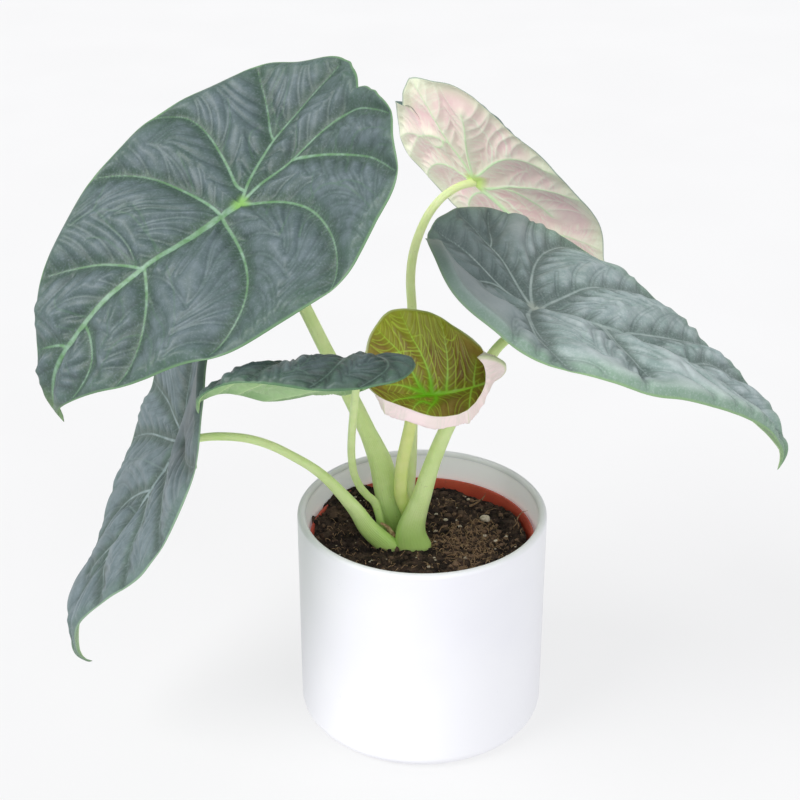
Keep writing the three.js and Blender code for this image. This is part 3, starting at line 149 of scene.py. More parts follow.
-0.14,-0.27],[1.27,-0.19,-0.38],[1.41,-0.23,-0.45],[1.37,-0.22,-0.43],[1.26,-0.18,-0.36],[1.14,-0.13,-0.26],[0.99,-0.07,-0.15],[0.77,-0.03,-0.05],[0.39,0.03,0.06],[-0.16,
0.1,0.2],[-0.81,0.17,0.33],[-1.48,0.21,0.4],[-2.06,0.19,0.37],[-2.32,0.13,0.25],[-2.02,0.08,0.16],[-1.24,0.14,0.28],[-0.51,0.34,0.65],[-0.28,0.55,1.08],[-0.18,0.55,1.07],
[1.12,-0.2,-0.38],[0.92,0.46,0.9],[1.51,0.5,0.98],[1.62,0.4,0.79],[1.05,0.28,0.55],[0.25,0.2,0.39],[-0.43,0.17,0.34],[-0.92,0.22,0.42],[-1.11,0.27,0.53],[-0.97,0.3,0.59],
[-0.67,0.29,0.56],[-0.4,0.22,0.43],[-0.24,0.15,0.3],[-0.14,0.1,0.19],[-0.03,0.06,0.11],[0.07,0.04,0.07],[0.12,0.02,0.03],[0.21,-0.02,-0.04],[0.39,-0.09,-0.18],[0.59,-0.2,
-0.39],[0.81,-0.31,-0.6],[0.97,-0.39,-0.77],[1.02,-0.4,-0.79],[0.86,-0.29,-0.56],[0.53,-0.11,-0.21],[0.18,0.04,0.08],[-0.03,0.14,0.27],[-0.14,0.19,0.36],[-0.23,0.21,
0.41],[-0.37,0.24,0.46],[-0.48,0.25,0.48],[-0.52,0.22,0.43],[-0.47,0.15,0.29],[-0.31,0.07,0.13],[-0.07,0.02,0.03],[0.21,0.01,0.01],[0.41,0.01,0.02],[0.46,0.01,0.03],
[0.43,0.04,0.07],[0.32,0.05,0.1],[0.15,0.05,0.09],[-0.05,0.05,0.09],[-0.22,0.05,0.1],[-0.24,0.02,0.05],[-0.1,-0.04,-0.08],[0.06,-0.16,-0.31],[0.04,-0.41,-0.79],[-0.16,
-0.78,-1.53],[-0.37,-1.13,-2.2],[-0.24,-0.64,-1.24],[-0.05,-0.13,-0.25],[0.0,0.0,0.0],[0.0,0.0,0.0],[0.0,0.0,0.0],[0.0,0.0,0.0],[0.0,0.0,0.0],[0.0,0.0,0.0],[0.0,0.0,0.0],
[0.0,0.0,0.0],[0.0,0.0,0.0]]},"E":{"q":{"a1":-0.19517,"a2":1.60946,"b1":2.92617,"b2":0.76267,"g1":-0.12299,"g2":0.02102,"h1":-0.38306,"t1":-0.42403,"t2":0.05457,
"pL":-0.86127,"pR":0.69865,"cL":1.32596,"cR":-3.08878,"qL":-0.02172,"qR":-0.2102,"rL":-2.2894,"rR":0.37759,"wL":1.39772,"wR":1.08144,"lr":0.34739,"ah":0.87809,
"gh":0.91911},"R":[[-0.961204,-0.255964,0.102806],[0.274044,-0.928585,0.250259],[0.031407,0.268723,0.962705]],"P0":[-32.853,-86.389,260.53],"La":89.285,"st":[[-0.1806,
-0.0],[-0.1935,-0.0355],[-0.2002,-0.0738],[-0.2051,-0.113],[-0.2078,-0.1524],[-0.2059,-0.192],[-0.2036,-0.2317],[-0.2004,-0.2712],[-0.1962,-0.3105],[-0.191,-0.3497],
[-0.185,-0.3885],[-0.1779,-0.4271],[-0.1697,-0.4652],[-0.1608,-0.5029],[-0.1503,-0.5399],[-0.1362,-0.5744],[-0.1187,-0.6057],[-0.0962,-0.6298],[-0.0702,-0.6456],[-0.042,
-0.6506],[-0.0136,-0.6506],[0.0148,-0.648],[0.0432,-0.6462],[0.0717,-0.6439],[0.1,-0.6405],[0.1283,-0.6361],[0.1565,-0.6309],[0.1847,-0.6252],[0.2127,-0.6181],[0.2404,
-0.6094],[0.268,-0.5995],[0.2954,-0.5889],[0.3226,-0.5772],[0.3495,-0.5641],[0.376,-0.5497],[0.4024,-0.5346],[0.4285,-0.519],[0.4544,-0.5024],[0.48,-0.4849],[0.5052,
-0.4666],[0.5303,-0.4478],[0.5551,-0.4283],[0.5795,-0.4078],[0.6036,-0.3867],[0.6275,-0.3651],[0.6513,-0.3434],[0.6752,-0.3216],[0.6989,-0.2996],[0.7225,-0.2774],[0.7459,
-0.2547],[0.769,-0.2316],[0.7918,-0.2077],[0.8142,-0.1832],[0.8365,-0.1584],[0.8589,-0.134],[0.8815,-0.1097],[0.9042,-0.0857],[0.9274,-0.0628],[0.9513,-0.0412],[0.9755,
-0.0202],[1.0,0.0],[0.9755,0.0156],[0.9513,0.0319],[0.9274,0.0486],[0.9042,0.0663],[0.8815,0.0849],[0.8589,0.1036],[0.8365,0.1226],[0.8142,0.1417],[0.7918,0.1607],[0.769,
0.1792],[0.7459,0.1971],[0.7225,0.2146],[0.6989,0.2318],[0.6752,0.2488],[0.6513,0.2657],[0.6275,0.2825],[0.6036,0.2992],[0.5795,0.3155],[0.5551,0.3314],[0.5303,0.3465],
[0.5052,0.3611],[0.48,0.3752],[0.4544,0.3887],[0.4285,0.4015],[0.4024,0.4136],[0.376,0.4254],[0.3495,0.4364],[0.3226,0.4466],[0.2954,0.4556],[0.268,0.4639],[0.2404,
0.4715],[0.2127,0.4782],[0.1847,0.4837],[0.1565,0.4881],[0.1283,0.4921],[0.1,0.4955],[0.0717,0.4982],[0.0432,0.5],[0.0148,0.5014],[-0.0136,0.5034],[-0.042,0.5033],
[-0.0702,0.4995],[-0.0962,0.4873],[-0.1187,0.4686],[-0.1362,0.4444],[-0.1503,0.4177],[-0.1608,0.3891],[-0.1697,0.3599],[-0.1779,0.3304],[-0.185,0.3006],[-0.191,0.2705],
[-0.1962,0.2403],[-0.2004,0.2098],[-0.2036,0.1793],[-0.2059,0.1486],[-0.2078,0.1179],[-0.2051,0.0874],[-0.2002,0.0571],[-0.1935,0.0275]],"D3":[[0.0,0.0,0.0],[0.0,0.0,
0.0],[0.0,0.0,0.0],[0.0,0.0,0.0],[0.0,0.0,0.0],[0.0,0.0,0.0],[0.0,0.0,0.0],[0.0,0.0,0.0],[0.0,0.0,0.0],[0.0,0.0,0.0],[0.0,0.0,0.0],[0.0,0.0,0.0],[0.0,0.0,0.0],[0.0,0.0,
0.0],[0.0,0.0,0.0],[0.0,0.0,0.0],[0.0,0.0,0.0],[0.0,0.0,0.0],[0.0,0.0,0.0],[0.0,0.0,0.0],[0.0,0.0,0.0],[0.0,0.0,0.0],[0.0,0.0,0.0],[0.0,0.0,0.0],[0.0,0.0,0.0],[0.0,0.0,
0.0],[0.0,0.0,0.0],[0.0,0.0,0.0],[0.0,0.0,0.0],[0.0,0.0,0.0],[0.0,0.0,0.0],[0.0,0.0,0.0],[0.0,0.0,0.0],[0.0,0.0,0.0],[0.0,0.0,0.0],[0.0,0.0,0.0],[0.0,0.0,0.0],[0.0,0.0,
0.0],[0.0,0.0,0.0],[0.0,0.0,0.0],[0.0,0.0,0.0],[0.0,0.0,0.0],[0.0,0.0,0.0],[0.0,0.0,0.0],[0.0,0.0,0.0],[0.0,0.0,0.0],[0.0,0.0,0.0],[0.0,0.0,0.0],[0.0,0.0,0.0],[0.0,0.0,
0.0],[0.0,0.0,0.0],[0.0,0.0,0.0],[0.0,0.0,0.0],[0.0,0.0,0.0],[0.0,0.0,0.0],[0.0,0.0,0.0],[0.0,0.0,0.0],[0.0,0.0,0.0],[0.0,0.0,0.0],[0.0,0.0,0.0],[0.0,0.0,0.0],[0.0,0.0,
0.0],[0.0,0.0,0.0],[0.0,0.0,0.0],[0.0,0.0,0.0],[0.0,0.0,0.0],[0.0,0.0,0.0],[0.0,0.0,0.0],[0.0,0.0,0.0],[0.0,0.0,0.0],[0.0,0.0,0.0],[0.0,0.0,0.0],[0.0,0.0,0.0],[0.0,0.0,
0.0],[0.0,0.0,0.0],[0.0,0.0,0.0],[0.0,0.0,0.0],[0.0,0.0,0.0],[0.0,0.0,0.0],[0.0,0.0,0.0],[0.0,0.0,0.0],[0.0,0.0,0.0],[0.0,0.0,0.0],[0.0,0.0,0.0],[0.0,0.0,0.0],[0.0,0.0,
0.0],[0.0,0.0,0.0],[0.0,0.0,0.0],[0.0,0.0,0.0],[0.0,0.0,0.0],[0.0,0.0,0.0],[0.0,0.0,0.0],[0.0,0.0,0.0],[0.0,0.0,0.0],[0.0,0.0,0.0],[0.0,0.0,0.0],[0.0,0.0,0.0],[0.0,0.0,
0.0],[0.0,0.0,0.0],[0.0,0.0,0.0],[0.0,0.0,0.0],[0.0,0.0,0.0],[0.0,0.0,0.0],[0.0,0.0,0.0],[0.0,0.0,0.0],[0.0,0.0,0.0],[0.0,0.0,0.0],[0.0,0.0,0.0],[0.0,0.0,0.0],[0.0,0.0,
0.0],[0.0,0.0,0.0],[0.0,0.0,0.0],[0.0,0.0,0.0],[0.0,0.0,0.0],[0.0,0.0,0.0],[0.0,0.0,0.0],[0.0,0.0,0.0],[0.0,0.0,0.0],[0.0,0.0,0.0],[0.0,0.0,0.0]]},
"F":{"q":{"a1":-2.29945,"a2":-1.5395,"b1":-1.04864,"b2":-0.02971,"g1":0.10974,"g2":-0.37249,"h1":0.13625,"t1":0.0569,"t2":-0.23466,"pL":0.46717,"pR":0.56356,"cL":1.66441,
"cR":-0.28102,"qL":0.16304,"qR":0.2218,"rL":-0.17673,"rR":0.16006,"wL":0.88023,"wR":1.2339,"lr":1.07424,"ah":-0.03575,"gh":-0.0228},"R":[[0.877841,0.429396,-0.212168],
[-0.193118,0.722707,0.663627],[0.438294,-0.541585,0.717345]],"P0":[0.82,-36.024,217.643],"La":76.421,"st":[[-0.5586,-0.0],[-0.5879,-0.0165],[-0.613,-0.0364],[-0.6295,
-0.0634],[-0.644,-0.0906],[-0.6369,-0.1206],[-0.6281,-0.1502],[-0.6157,-0.1788],[-0.6002,-0.2061],[-0.582,-0.2323],[-0.5615,-0.257],[-0.5388,-0.2801],[-0.5146,-0.3021],
[-0.4893,-0.3231],[-0.4618,-0.3419],[-0.4317,-0.3571],[-0.4003,-0.3703],[-0.3678,-0.3812],[-0.3343,-0.3893],[-0.3003,-0.3961],[-0.2661,-0.4017],[-0.2317,-0.4056],
[-0.1969,-0.4075],[-0.1622,-0.4088],[-0.1274,-0.4097],[-0.0926,-0.4102],[-0.0579,-0.41],[-0.0231,-0.4093],[0.0117,-0.4082],[0.0464,-0.4068],[0.0811,-0.4049],[0.1157,
-0.4019],[0.1503,-0.3981],[0.1847,-0.3937],[0.2189,-0.3881],[0.2527,-0.3811],[0.2863,-0.3731],[0.3196,-0.3644],[0.3525,-0.3543],[0.3848,-0.3431],[0.4169,-0.3312],[0.4487,
-0.3188],[0.48,-0.3054],[0.5108,-0.2913],[0.5414,-0.2766],[0.5714,-0.2612],[0.6009,-0.245],[0.6302,-0.2284],[0.6593,-0.2117],[0.6884,-0.1949],[0.7173,-0.1778],[0.7459,
-0.1604],[0.7741,-0.1426],[0.8018,-0.124],[0.829,-0.105],[0.8564,-0.0861],[0.884,-0.0674],[0.9118,-0.0491],[0.9406,-0.0319],[0.9701,-0.0156],[1.0,0.0],[0.9701,0.0219],
[0.9406,0.0447],[0.9118,0.0688],[0.884,0.0945],[0.8564,0.1206],[0.829,0.1471],[0.8018,0.1738],[0.7741,0.1998],[0.7459,0.2249],[0.7173,0.2493],[0.6884,0.2731],[0.6593,
0.2967],[0.6302,0.3202],[0.6009,0.3435],[0.5714,0.3661],[0.5414,0.3877],[0.5108,0.4083],[0.48,0.4281],[0.4487,0.4468],[0.4169,0.4643],[0.3848,0.4809],[0.3525,0.4966],
[0.3196,0.5108],[0.2863,0.523],[0.2527,0.5342],[0.2189,0.544],[0.1847,0.5519],[0.1503,0.558],[0.1157,0.5633],[0.0811,0.5675],[0.0464,0.5703],[0.0117,0.5722],[-0.0231,
0.5738],[-0.0579,0.5747],[-0.0926,0.575],[-0.1274,0.5744],[-0.1622,0.5731],[-0.1969,0.5712],[-0.2317,0.5685],[-0.2661,0.5631],[-0.3003,0.5552],[-0.3343,0.5458],[-0.3678,
0.5344],[-0.4003,0.5191],[-0.4317,0.5006],[-0.4618,0.4792],[-0.4893,0.4529],[-0.5146,0.4235],[-0.5388,0.3927],[-0.5615,0.3603],[-0.582,0.3256],[-0.6002,0.289],[-0.6157,
0.2506],[-0.6281,0.2105],[-0.6369,0.169],[-0.644,0.127],[-0.6295,0.0888],[-0.613,0.051],[-0.5879,0.0231]],"D3":[[0.0,0.0,0.0],[0.0,0.0,0.0],[0.22,-0.1,-0.19],[1.15,-0.49,
-0.96],[2.13,-0.91,-1.78],[1.65,-0.71,-1.38],[1.02,-0.47,-0.91],[0.46,-0.27,-0.53],[0.11,-0.14,-0.26],[-0.04,-0.01,-0.02],[-0.06,0.1,0.19],[-0.03,0.16,0.32],[0.0,0.2,
0.38],[-0.01,0.2,0.39],[-0.06,0.18,0.36],[-0.11,0.14,0.27],[-0.14,0.07,0.14],[-0.14,-0.01,-0.01],[-0.09,-0.08,-0.16],[-0.07,-0.13,-0.26],[-0.11,-0.18,-0.34],[-0.11,-0.21,
-0.41],[-0.07,-0.21,-0.4],[-0.01,-0.17,-0.33],[-0.0,-0.12,-0.23],[-0.07,-0.06,-0.12],[-0.21,0.01,0.03],[-0.39,0.09,0.17],[-0.44,0.14,0.27],[-0.34,0.16,0.31],[-0.21,0.17,
0.33],[-0.16,0.18,0.35],[-0.18,0.2,0.39],[-0.19,0.22,0.42],[-0.17,0.22,0.42],[-0.13,0.19,0.37],[-0.07,0.14,0.28],[-0.01,0.09,0.17],[0.06,0.05,0.1],[0.18,0.04,0.08],[0.31,
0.03,0.06],[0.43,-0.0,-0.0],[0.5,-0.05,-0.1],[0.52,-0.09,-0.18],[0.48,-0.09,-0.17],[0.43,-0.07,-0.13],[0.38,-0.04,-0.08],[0.27,-0.03,-0.05],[0.1,-0.0,-0.0],[-0.06,0.02,
0.04],[-0.21,0.04,0.07],[-0.39,0.04,0.07],[-0.63,0.01,0.02],[-0.81,0.0,0.01],[-0.84,0.01,0.03],[-0.73,-0.01,-0.02],[-0.42,-0.1,-0.19],[0.26,-0.26,-0.51],[1.21,-0.45,
-0.88],[2.13,-0.5,-0.98],[2.6,-0.1,-0.2],[2.4,0.29,0.56],[1.39,0.27,0.53],[0.24,0.18,0.34],[-0.64,0.09,0.18],[-1.06,0.04,0.08],[-1.13,0.02,0.04],[-1.01,0.0,0.01],[-0.83,
-0.01,-0.02],[-0.61,0.0,0.0],[-0.37,0.06,0.11],[-0.16,0.14,0.28],[0.02,0.21,0.41],[0.16,0.22,0.43],[0.27,0.19,0.38],[0.29,0.16,0.31],[0.21,0.12,0.24],[0.09,0.06,0.11],
[-0.02,-0.04,-0.07],[-0.13,-0.13,-0.26],[-0.25,-0.21,-0.41],[-0.35,-0.28,-0.54],[-0.4,-0.34,-0.67],[-0.42,-0.4,-0.78],[-0.45,-0.43,-0.84],[-0.47,-0.46,-0.9],[-0.49,-0.5,
-0.98],[-0.51,-0.51,-1.0],[-0.52,-0.49,-0.95],[-0.52,-0.44,-0.85],[-0.52,-0.36,-0.7],[-0.55,-0.27,-0.53],[-0.57,-0.2,-0.38],[-0.46,-0.14,-0.27],[-0.26,-0.08,-0.15],[-0.1,
-0.01,-0.01],[-0.03,0.06,0.12],[0.0,0.11,0.22],[0.06,0.15,0.29],[0.07,0.19,0.38],[0.03,0.25,0.48],[-0.04,0.3,0.58],[-0.16,0.35,0.68],[-0.3,0.36,0.71],[-0.37,0.3,0.59],
[-0.34,0.19,0.38],[-0.17,0.08,0.15],[-0.02,-0.02,-0.03],[0.03,-0.07,-0.14],[0.02,-0.08,-0.15],[-0.05,-0.05,-0.1],[-0.07,0.01,0.01],[0.11,0.15,0.29],[0.44,0.45,0.89],
[0.77,0.88,1.71],[0.99,1.24,2.41],[0.52,0.69,1.35],[0.1,0.14,0.27],[0.0,0.0,0.0],[0.0,0.0,0.0]]}}
# veins in the same units: mid = midrib, pri = main side veins, sec = lesser veins
VEIN = {"A":{"mid":[[0.0,-0.0],[0.02,0.001],[0.04,0.003],[0.059,0.004],[0.08,0.005],[0.102,0.005],[0.125,0.005],[0.148,0.004],[0.171,0.004],[0.194,0.004],[0.216,0.003],[0.239,
0.002],[0.263,0.002],[0.286,0.0],[0.308,-0.001],[0.328,-0.002],[0.348,-0.003],[0.369,-0.004],[0.39,-0.004],[0.41,-0.005],[0.431,-0.006],[0.452,-0.006],[0.471,-0.007],
[0.491,-0.007],[0.511,-0.007],[0.531,-0.007],[0.552,-0.006],[0.574,-0.006],[0.596,-0.006],[0.618,-0.006],[0.641,-0.005],[0.666,-0.005],[0.689,-0.005],[0.712,-0.005],
[0.735,-0.006],[0.76,-0.007],[0.785,-0.009],[0.81,-0.011],[0.836,-0.013],[0.861,-0.014],[0.885,-0.013],[0.909,-0.013],[0.938,-0.013],[0.963,-0.012],[0.978,-0.007]],
"pri":[[[0.0,-0.0],[-0.02,-0.017],[-0.041,-0.035],[-0.062,-0.052],[-0.086,-0.069],[-0.11,-0.085],[-0.133,-0.1],[-0.154,-0.113],[-0.173,-0.123],[-0.194,-0.134],[-0.214,
-0.144],[-0.236,-0.151],[-0.26,-0.157],[-0.284,-0.163],[-0.31,-0.167],[-0.336,-0.168],[-0.361,-0.169],[-0.386,-0.17],[-0.411,-0.17],[-0.436,-0.17],[-0.459,-0.17],[-0.481,
-0.167],[-0.505,-0.162]],[[-0.213,-0.146],[-0.225,-0.169],[-0.238,-0.192],[-0.251,-0.216],[-0.265,-0.238],[-0.278,-0.262],[-0.291,-0.288],[-0.306,-0.317],[-0.323,-0.35],
[-0.344,-0.39]],[[0.0,-0.0],[-0.02,-0.005],[-0.04,-0.011],[-0.059,-0.015],[-0.078,-0.019],[-0.097,-0.021],[-0.118,-0.023],[-0.138,-0.024],[-0.158,-0.025],[-0.178,-0.025],
[-0.199,-0.023],[-0.22,-0.021],[-0.243,-0.022],[-0.267,-0.022],[-0.291,-0.023],[-0.314,-0.023],[-0.336,-0.021],[-0.356,-0.017],[-0.376,-0.011],[-0.394,-0.007],[-0.413,
-0.0],[-0.435,0.013],[-0.461,0.034],[-0.487,0.064],[-0.51,0.109],[-0.522,0.16],[-0.524,0.208],[-0.525,0.256]],[[-0.219,-0.02],[-0.239,-0.002],[-0.261,0.017],[-0.28,
0.037],[-0.295,0.058],[-0.31,0.081],[-0.324,0.109],[-0.335,0.139],[-0.347,0.17],[-0.359,0.205],[-0.372,0.242],[-0.384,0.282],[-0.392,0.322],[-0.396,0.361],[-0.396,0.395],
[-0.396,0.426]],[[-0.005,0.011],[-0.024,0.024],[-0.043,0.038],[-0.06,0.054],[-0.076,0.07],[-0.091,0.086],[-0.104,0.105],[-0.116,0.126],[-0.128,0.15],[-0.139,0.181],
[-0.148,0.215],[-0.151,0.247],[-0.151,0.279],[-0.15,0.309],[-0.147,0.338],[-0.143,0.365],[-0.136,0.392],[-0.127,0.417],[-0.116,0.44],[-0.104,0.461],[-0.089,0.477],
[-0.075,0.493],[-0.062,0.508],[-0.046,0.521],[-0.027,0.536]],[[-0.018,-0.05],[-0.028,-0.078],[-0.036,-0.109],[-0.044,-0.144],[-0.051,-0.18],[-0.055,-0.212],[-0.059,
-0.241],[-0.064,-0.269],[-0.067,-0.294],[-0.068,-0.318],[-0.067,-0.343],[-0.064,-0.37],[-0.058,-0.398],[-0.042,-0.424],[-0.02,-0.441],[-0.0,-0.451],[0.021,-0.458],[0.046,
-0.464]],[[0.068,-0.013],[0.074,-0.039],[0.08,-0.064],[0.086,-0.089],[0.093,-0.114],[0.099,-0.139],[0.107,-0.163],[0.119,-0.189],[0.131,-0.215],[0.144,-0.241],[0.158,
-0.264],[0.174,-0.286],[0.189,-0.307],[0.205,-0.326],[0.221,-0.344],[0.238,-0.363],[0.259,-0.381],[0.28,-0.396],[0.301,-0.407],[0.323,-0.416]],[[0.077,0.02],[0.078,
0.046],[0.079,0.073],[0.081,0.1],[0.084,0.128],[0.089,0.156],[0.094,0.183],[0.1,0.21],[0.108,0.235],[0.117,0.261],[0.129,0.289],[0.144,0.317],[0.162,0.34],[0.182,0.36],
[0.203,0.379],[0.225,0.394],[0.248,0.406],[0.271,0.415],[0.293,0.423],[0.316,0.429],[0.34,0.435],[0.364,0.442]],[[0.366,-0.007],[0.383,-0.032],[0.4,-0.056],[0.416,
-0.076],[0.43,-0.094],[0.445,-0.112],[0.463,-0.13],[0.481,-0.146],[0.498,-0.163],[0.515,-0.178],[0.532,-0.192],[0.549,-0.207],[0.57,-0.221],[0.591,-0.235]],[[0.366,
0.011],[0.381,0.039],[0.395,0.065],[0.407,0.088],[0.42,0.11],[0.433,0.131],[0.447,0.149],[0.462,0.166],[0.478,0.181],[0.496,0.196],[0.514,0.211],[0.533,0.224],[0.553,
0.235],[0.572,0.246],[0.593,0.253],[0.618,0.256],[0.643,0.259],[0.669,0.263]],[[0.623,0.021],[0.63,0.049],[0.638,0.076],[0.65,0.1],[0.666,0.121],[0.683,0.133],[0.703,
0.141],[0.725,0.145],[0.748,0.144],[0.773,0.14],[0.801,0.132],[0.832,0.122]],[[0.719,-0.024],[0.745,-0.052],[0.77,-0.086],[0.799,-0.121]]],"sec":[[[0.377,-0.016],[0.38,
-0.042],[0.384,-0.068],[0.387,-0.095],[0.39,-0.121],[0.394,-0.146],[0.399,-0.171],[0.408,-0.197],[0.426,-0.217],[0.446,-0.227]],[[0.292,-0.019],[0.291,-0.055],[0.29,
-0.09],[0.291,-0.122],[0.291,-0.151],[0.295,-0.179],[0.304,-0.201],[0.317,-0.222],[0.33,-0.243],[0.346,-0.264],[0.362,-0.284],[0.379,-0.3],[0.397,-0.309],[0.416,-0.314],
[0.437,-0.317],[0.461,-0.317],[0.487,-0.315]],[[0.38,-0.304],[0.361,-0.317],[0.341,-0.332],[0.322,-0.349],[0.304,-0.364]],[[0.372,-0.037],[0.367,-0.065],[0.363,-0.091],
[0.359,-0.12],[0.36,-0.156],[0.367,-0.197],[0.37,-0.238],[0.372,-0.274],[0.38,-0.304]],[[0.298,-0.022],[0.295,-0.055],[0.29,-0.082],[0.282,-0.106],[0.274,-0.131],[0.27,
-0.157],[0.271,-0.185],[0.274,-0.214]],[[0.302,0.057],[0.309,0.089],[0.316,0.119],[0.325,0.145],[0.334,0.17],[0.344,0.196],[0.356,0.22],[0.367,0.242],[0.378,0.263],[0.39,
0.283],[0.406,0.301],[0.423,0.317],[0.44,0.332],[0.458,0.347],[0.476,0.364],[0.493,0.38]],[[0.397,0.061],[0.402,0.086],[0.408,0.112],[0.414,0.139],[0.421,0.165],[0.424,
0.191],[0.422,0.22],[0.42,0.251],[0.427,0.276],[0.442,0.298],[0.463,0.319],[0.488,0.334],[0.512,0.339],[0.537,0.341],[0.562,0.342]],[[0.484,0.204],[0.478,0.233],[0.478,
0.264],[0.489,0.291],[0.505,0.309],[0.521,0.322],[0.537,0.334],[0.554,0.344]],[[0.529,0.048],[0.537,0.068],[0.546,0.088],[0.558,0.107],[0.576,0.122],[0.601,0.13],[0.629,
0.136]],[[0.501,0.187],[0.525,0.173],[0.549,0.162],[0.575,0.162],[0.601,0.168],[0.623,0.174],[0.644,0.178],[0.668,0.182],[0.693,0.188],[0.72,0.194],[0.748,0.197]],
[[0.474,0.049],[0.478,0.076],[0.486,0.099],[0.502,0.113],[0.522,0.121]],[[0.739,0.032],[0.75,0.059],[0.764,0.085],[0.782,0.105],[0.802,0.123]],[[0.62,0.027],[0.623,
0.052],[0.627,0.075],[0.636,0.097],[0.65,0.118],[0.67,0.136],[0.693,0.145],[0.717,0.149],[0.742,0.149],[0.768,0.144],[0.796,0.137],[0.827,0.126]],[[0.602,-0.013],[0.619,
-0.049],[0.637,-0.083],[0.654,-0.111],[0.662,-0.131],[0.65,-0.142],[0.629,-0.148],[0.608,-0.154],[0.583,-0.159],[0.556,-0.165]],[[0.699,-0.002],[0.719,-0.018],[0.74,
-0.055]],[[0.662,-0.022],[0.677,-0.05],[0.692,-0.081]],[[0.09,-0.152],[0.083,-0.176],[0.076,-0.199],[0.069,-0.225],[0.063,-0.257],[0.059,-0.292]],[[0.068,-0.017],[0.074,
-0.043],[0.081,-0.069],[0.087,-0.096],[0.092,-0.125],[0.097,-0.155]],[[-0.068,-0.227],[-0.098,-0.242],[-0.123,-0.259],[-0.143,-0.278],[-0.16,-0.299],[-0.176,-0.321],
[-0.189,-0.348],[-0.203,-0.375]],[[-0.128,-0.126],[-0.137,-0.157],[-0.149,-0.183],[-0.168,-0.198],[-0.191,-0.208],[-0.211,-0.218]],[[-0.213,-0.024],[-0.237,-0.039],
[-0.26,-0.055],[-0.281,-0.073],[-0.298,-0.094],[-0.315,-0.118],[-0.331,-0.146]],[[-0.213,-0.15],[-0.237,-0.167],[-0.259,-0.181],[-0.281,-0.195],[-0.302,-0.207],[-0.324,
-0.218],[-0.347,-0.232],[-0.373,-0.25],[-0.399,-0.267],[-0.421,-0.281],[-0.443,-0.291],[-0.463,-0.303]],[[-0.26,-0.166],[-0.272,-0.196],[-0.283,-0.225],[-0.293,-0.251],
[-0.303,-0.278],[-0.318,-0.298],[-0.341,-0.305],[-0.367,-0.309],[-0.395,-0.316],[-0.422,-0.328]],[[-0.355,0.162],[-0.382,0.158],[-0.406,0.159],[-0.425,0.17],[-0.441,
0.19],[-0.457,0.218],[-0.47,0.263],[-0.48,0.331]],[[-0.39,0.269],[-0.409,0.29],[-0.426,0.302],[-0.451,0.372]],[[-0.329,0.102],[-0.351,0.093],[-0.371,0.085],[-0.391,0.08],
[-0.411,0.082],[-0.431,0.086],[-0.451,0.093],[-0.471,0.107],[-0.49,0.126],[-0.509,0.149],[-0.526,0.17]],[[-0.164,0.193],[-0.184,0.194],[-0.203,0.202],[-0.222,0.217],
[-0.238,0.238],[-0.249,0.267],[-0.258,0.298],[-0.266,0.332],[-0.269,0.367],[-0.27,0.405],[-0.269,0.447],[-0.267,0.491]],[[-0.256,0.268],[-0.271,0.286],[-0.286,0.306],
[-0.298,0.33],[-0.302,0.366],[-0.302,0.41],[-0.303,0.453]],[[-0.176,0.203],[-0.187,0.175],[-0.201,0.152],[-0.222,0.137],[-0.246,0.128]],[[-0.346,0.153],[-0.333,0.177],
[-0.32,0.199],[-0.308,0.225],[-0.297,0.258]],[[-0.376,0.273],[-0.356,0.286],[-0.334,0.304]],[[0.08,0.025],[0.081,0.058],[0.082,0.091],[0.075,0.123],[0.056,0.153]],
[[-0.037,0.135],[-0.055,0.089],[-0.078,0.063]],[[-0.024,0.244],[-0.041,0.23],[-0.058,0.216],[-0.075,0.2],[-0.092,0.184],[-0.108,0.166]],[[-0.063,0.295],[-0.077,0.279],
[-0.092,0.262],[-0.108,0.25],[-0.128,0.248],[-0.148,0.252],[-0.167,0.257]]]},"B":{"mid":[[-0.0,0.0],[0.04,0.029],[0.076,0.04],[0.104,0.023],[0.13,-0.001],[0.159,-0.015]],
"pri":[[[-0.032,-0.024],[-0.067,-0.054],[-0.101,-0.084],[-0.133,-0.116],[-0.162,-0.151],[-0.19,-0.187],[-0.217,-0.222],[-0.245,-0.257],[-0.272,-0.287],[-0.3,-0.307]],
[[-0.035,-0.014],[-0.076,-0.035],[-0.115,-0.055],[-0.15,-0.07],[-0.181,-0.078],[-0.211,-0.083],[-0.243,-0.091],[-0.28,-0.105],[-0.315,-0.12],[-0.345,-0.131],[-0.372,
-0.141],[-0.399,-0.149],[-0.43,-0.153],[-0.462,-0.157],[-0.494,-0.161]],[[-0.23,-0.072],[-0.257,-0.062],[-0.284,-0.053],[-0.314,-0.03],[-0.335,0.056],[-0.332,0.193],
[-0.314,0.302],[-0.292,0.366],[-0.268,0.422]],[[-0.015,-0.038],[-0.026,-0.105],[-0.035,-0.169],[-0.039,-0.225],[-0.037,-0.273],[-0.028,-0.313],[-0.012,-0.344],[0.012,
-0.367],[0.039,-0.387],[0.069,-0.405],[0.101,-0.421]],[[0.045,0.025],[0.057,-0.029],[0.072,-0.071],[0.09,-0.102],[0.108,-0.131],[0.131,-0.153],[0.167,-0.165],[0.207,
-0.173],[0.244,-0.184],[0.279,-0.193],[0.313,-0.196],[0.347,-0.196]]],"sec":[[[-0.024,-0.02],[-0.067,-0.029],[-0.106,-0.024],[-0.136,0.009],[-0.162,0.055],[-0.189,
0.096]],[[-0.02,0.011],[-0.029,0.092],[-0.046,0.154],[-0.077,0.189],[-0.114,0.211],[-0.15,0.229],[-0.188,0.247]],[[-0.037,-0.197],[-0.069,-0.24],[-0.099,-0.275],[-0.129,
-0.295],[-0.16,-0.307],[-0.19,-0.318],[-0.222,-0.326],[-0.255,-0.332]],[[-0.033,-0.313],[-0.062,-0.352],[-0.091,-0.382],[-0.119,-0.395],[-0.146,-0.398],[-0.174,-0.399]],
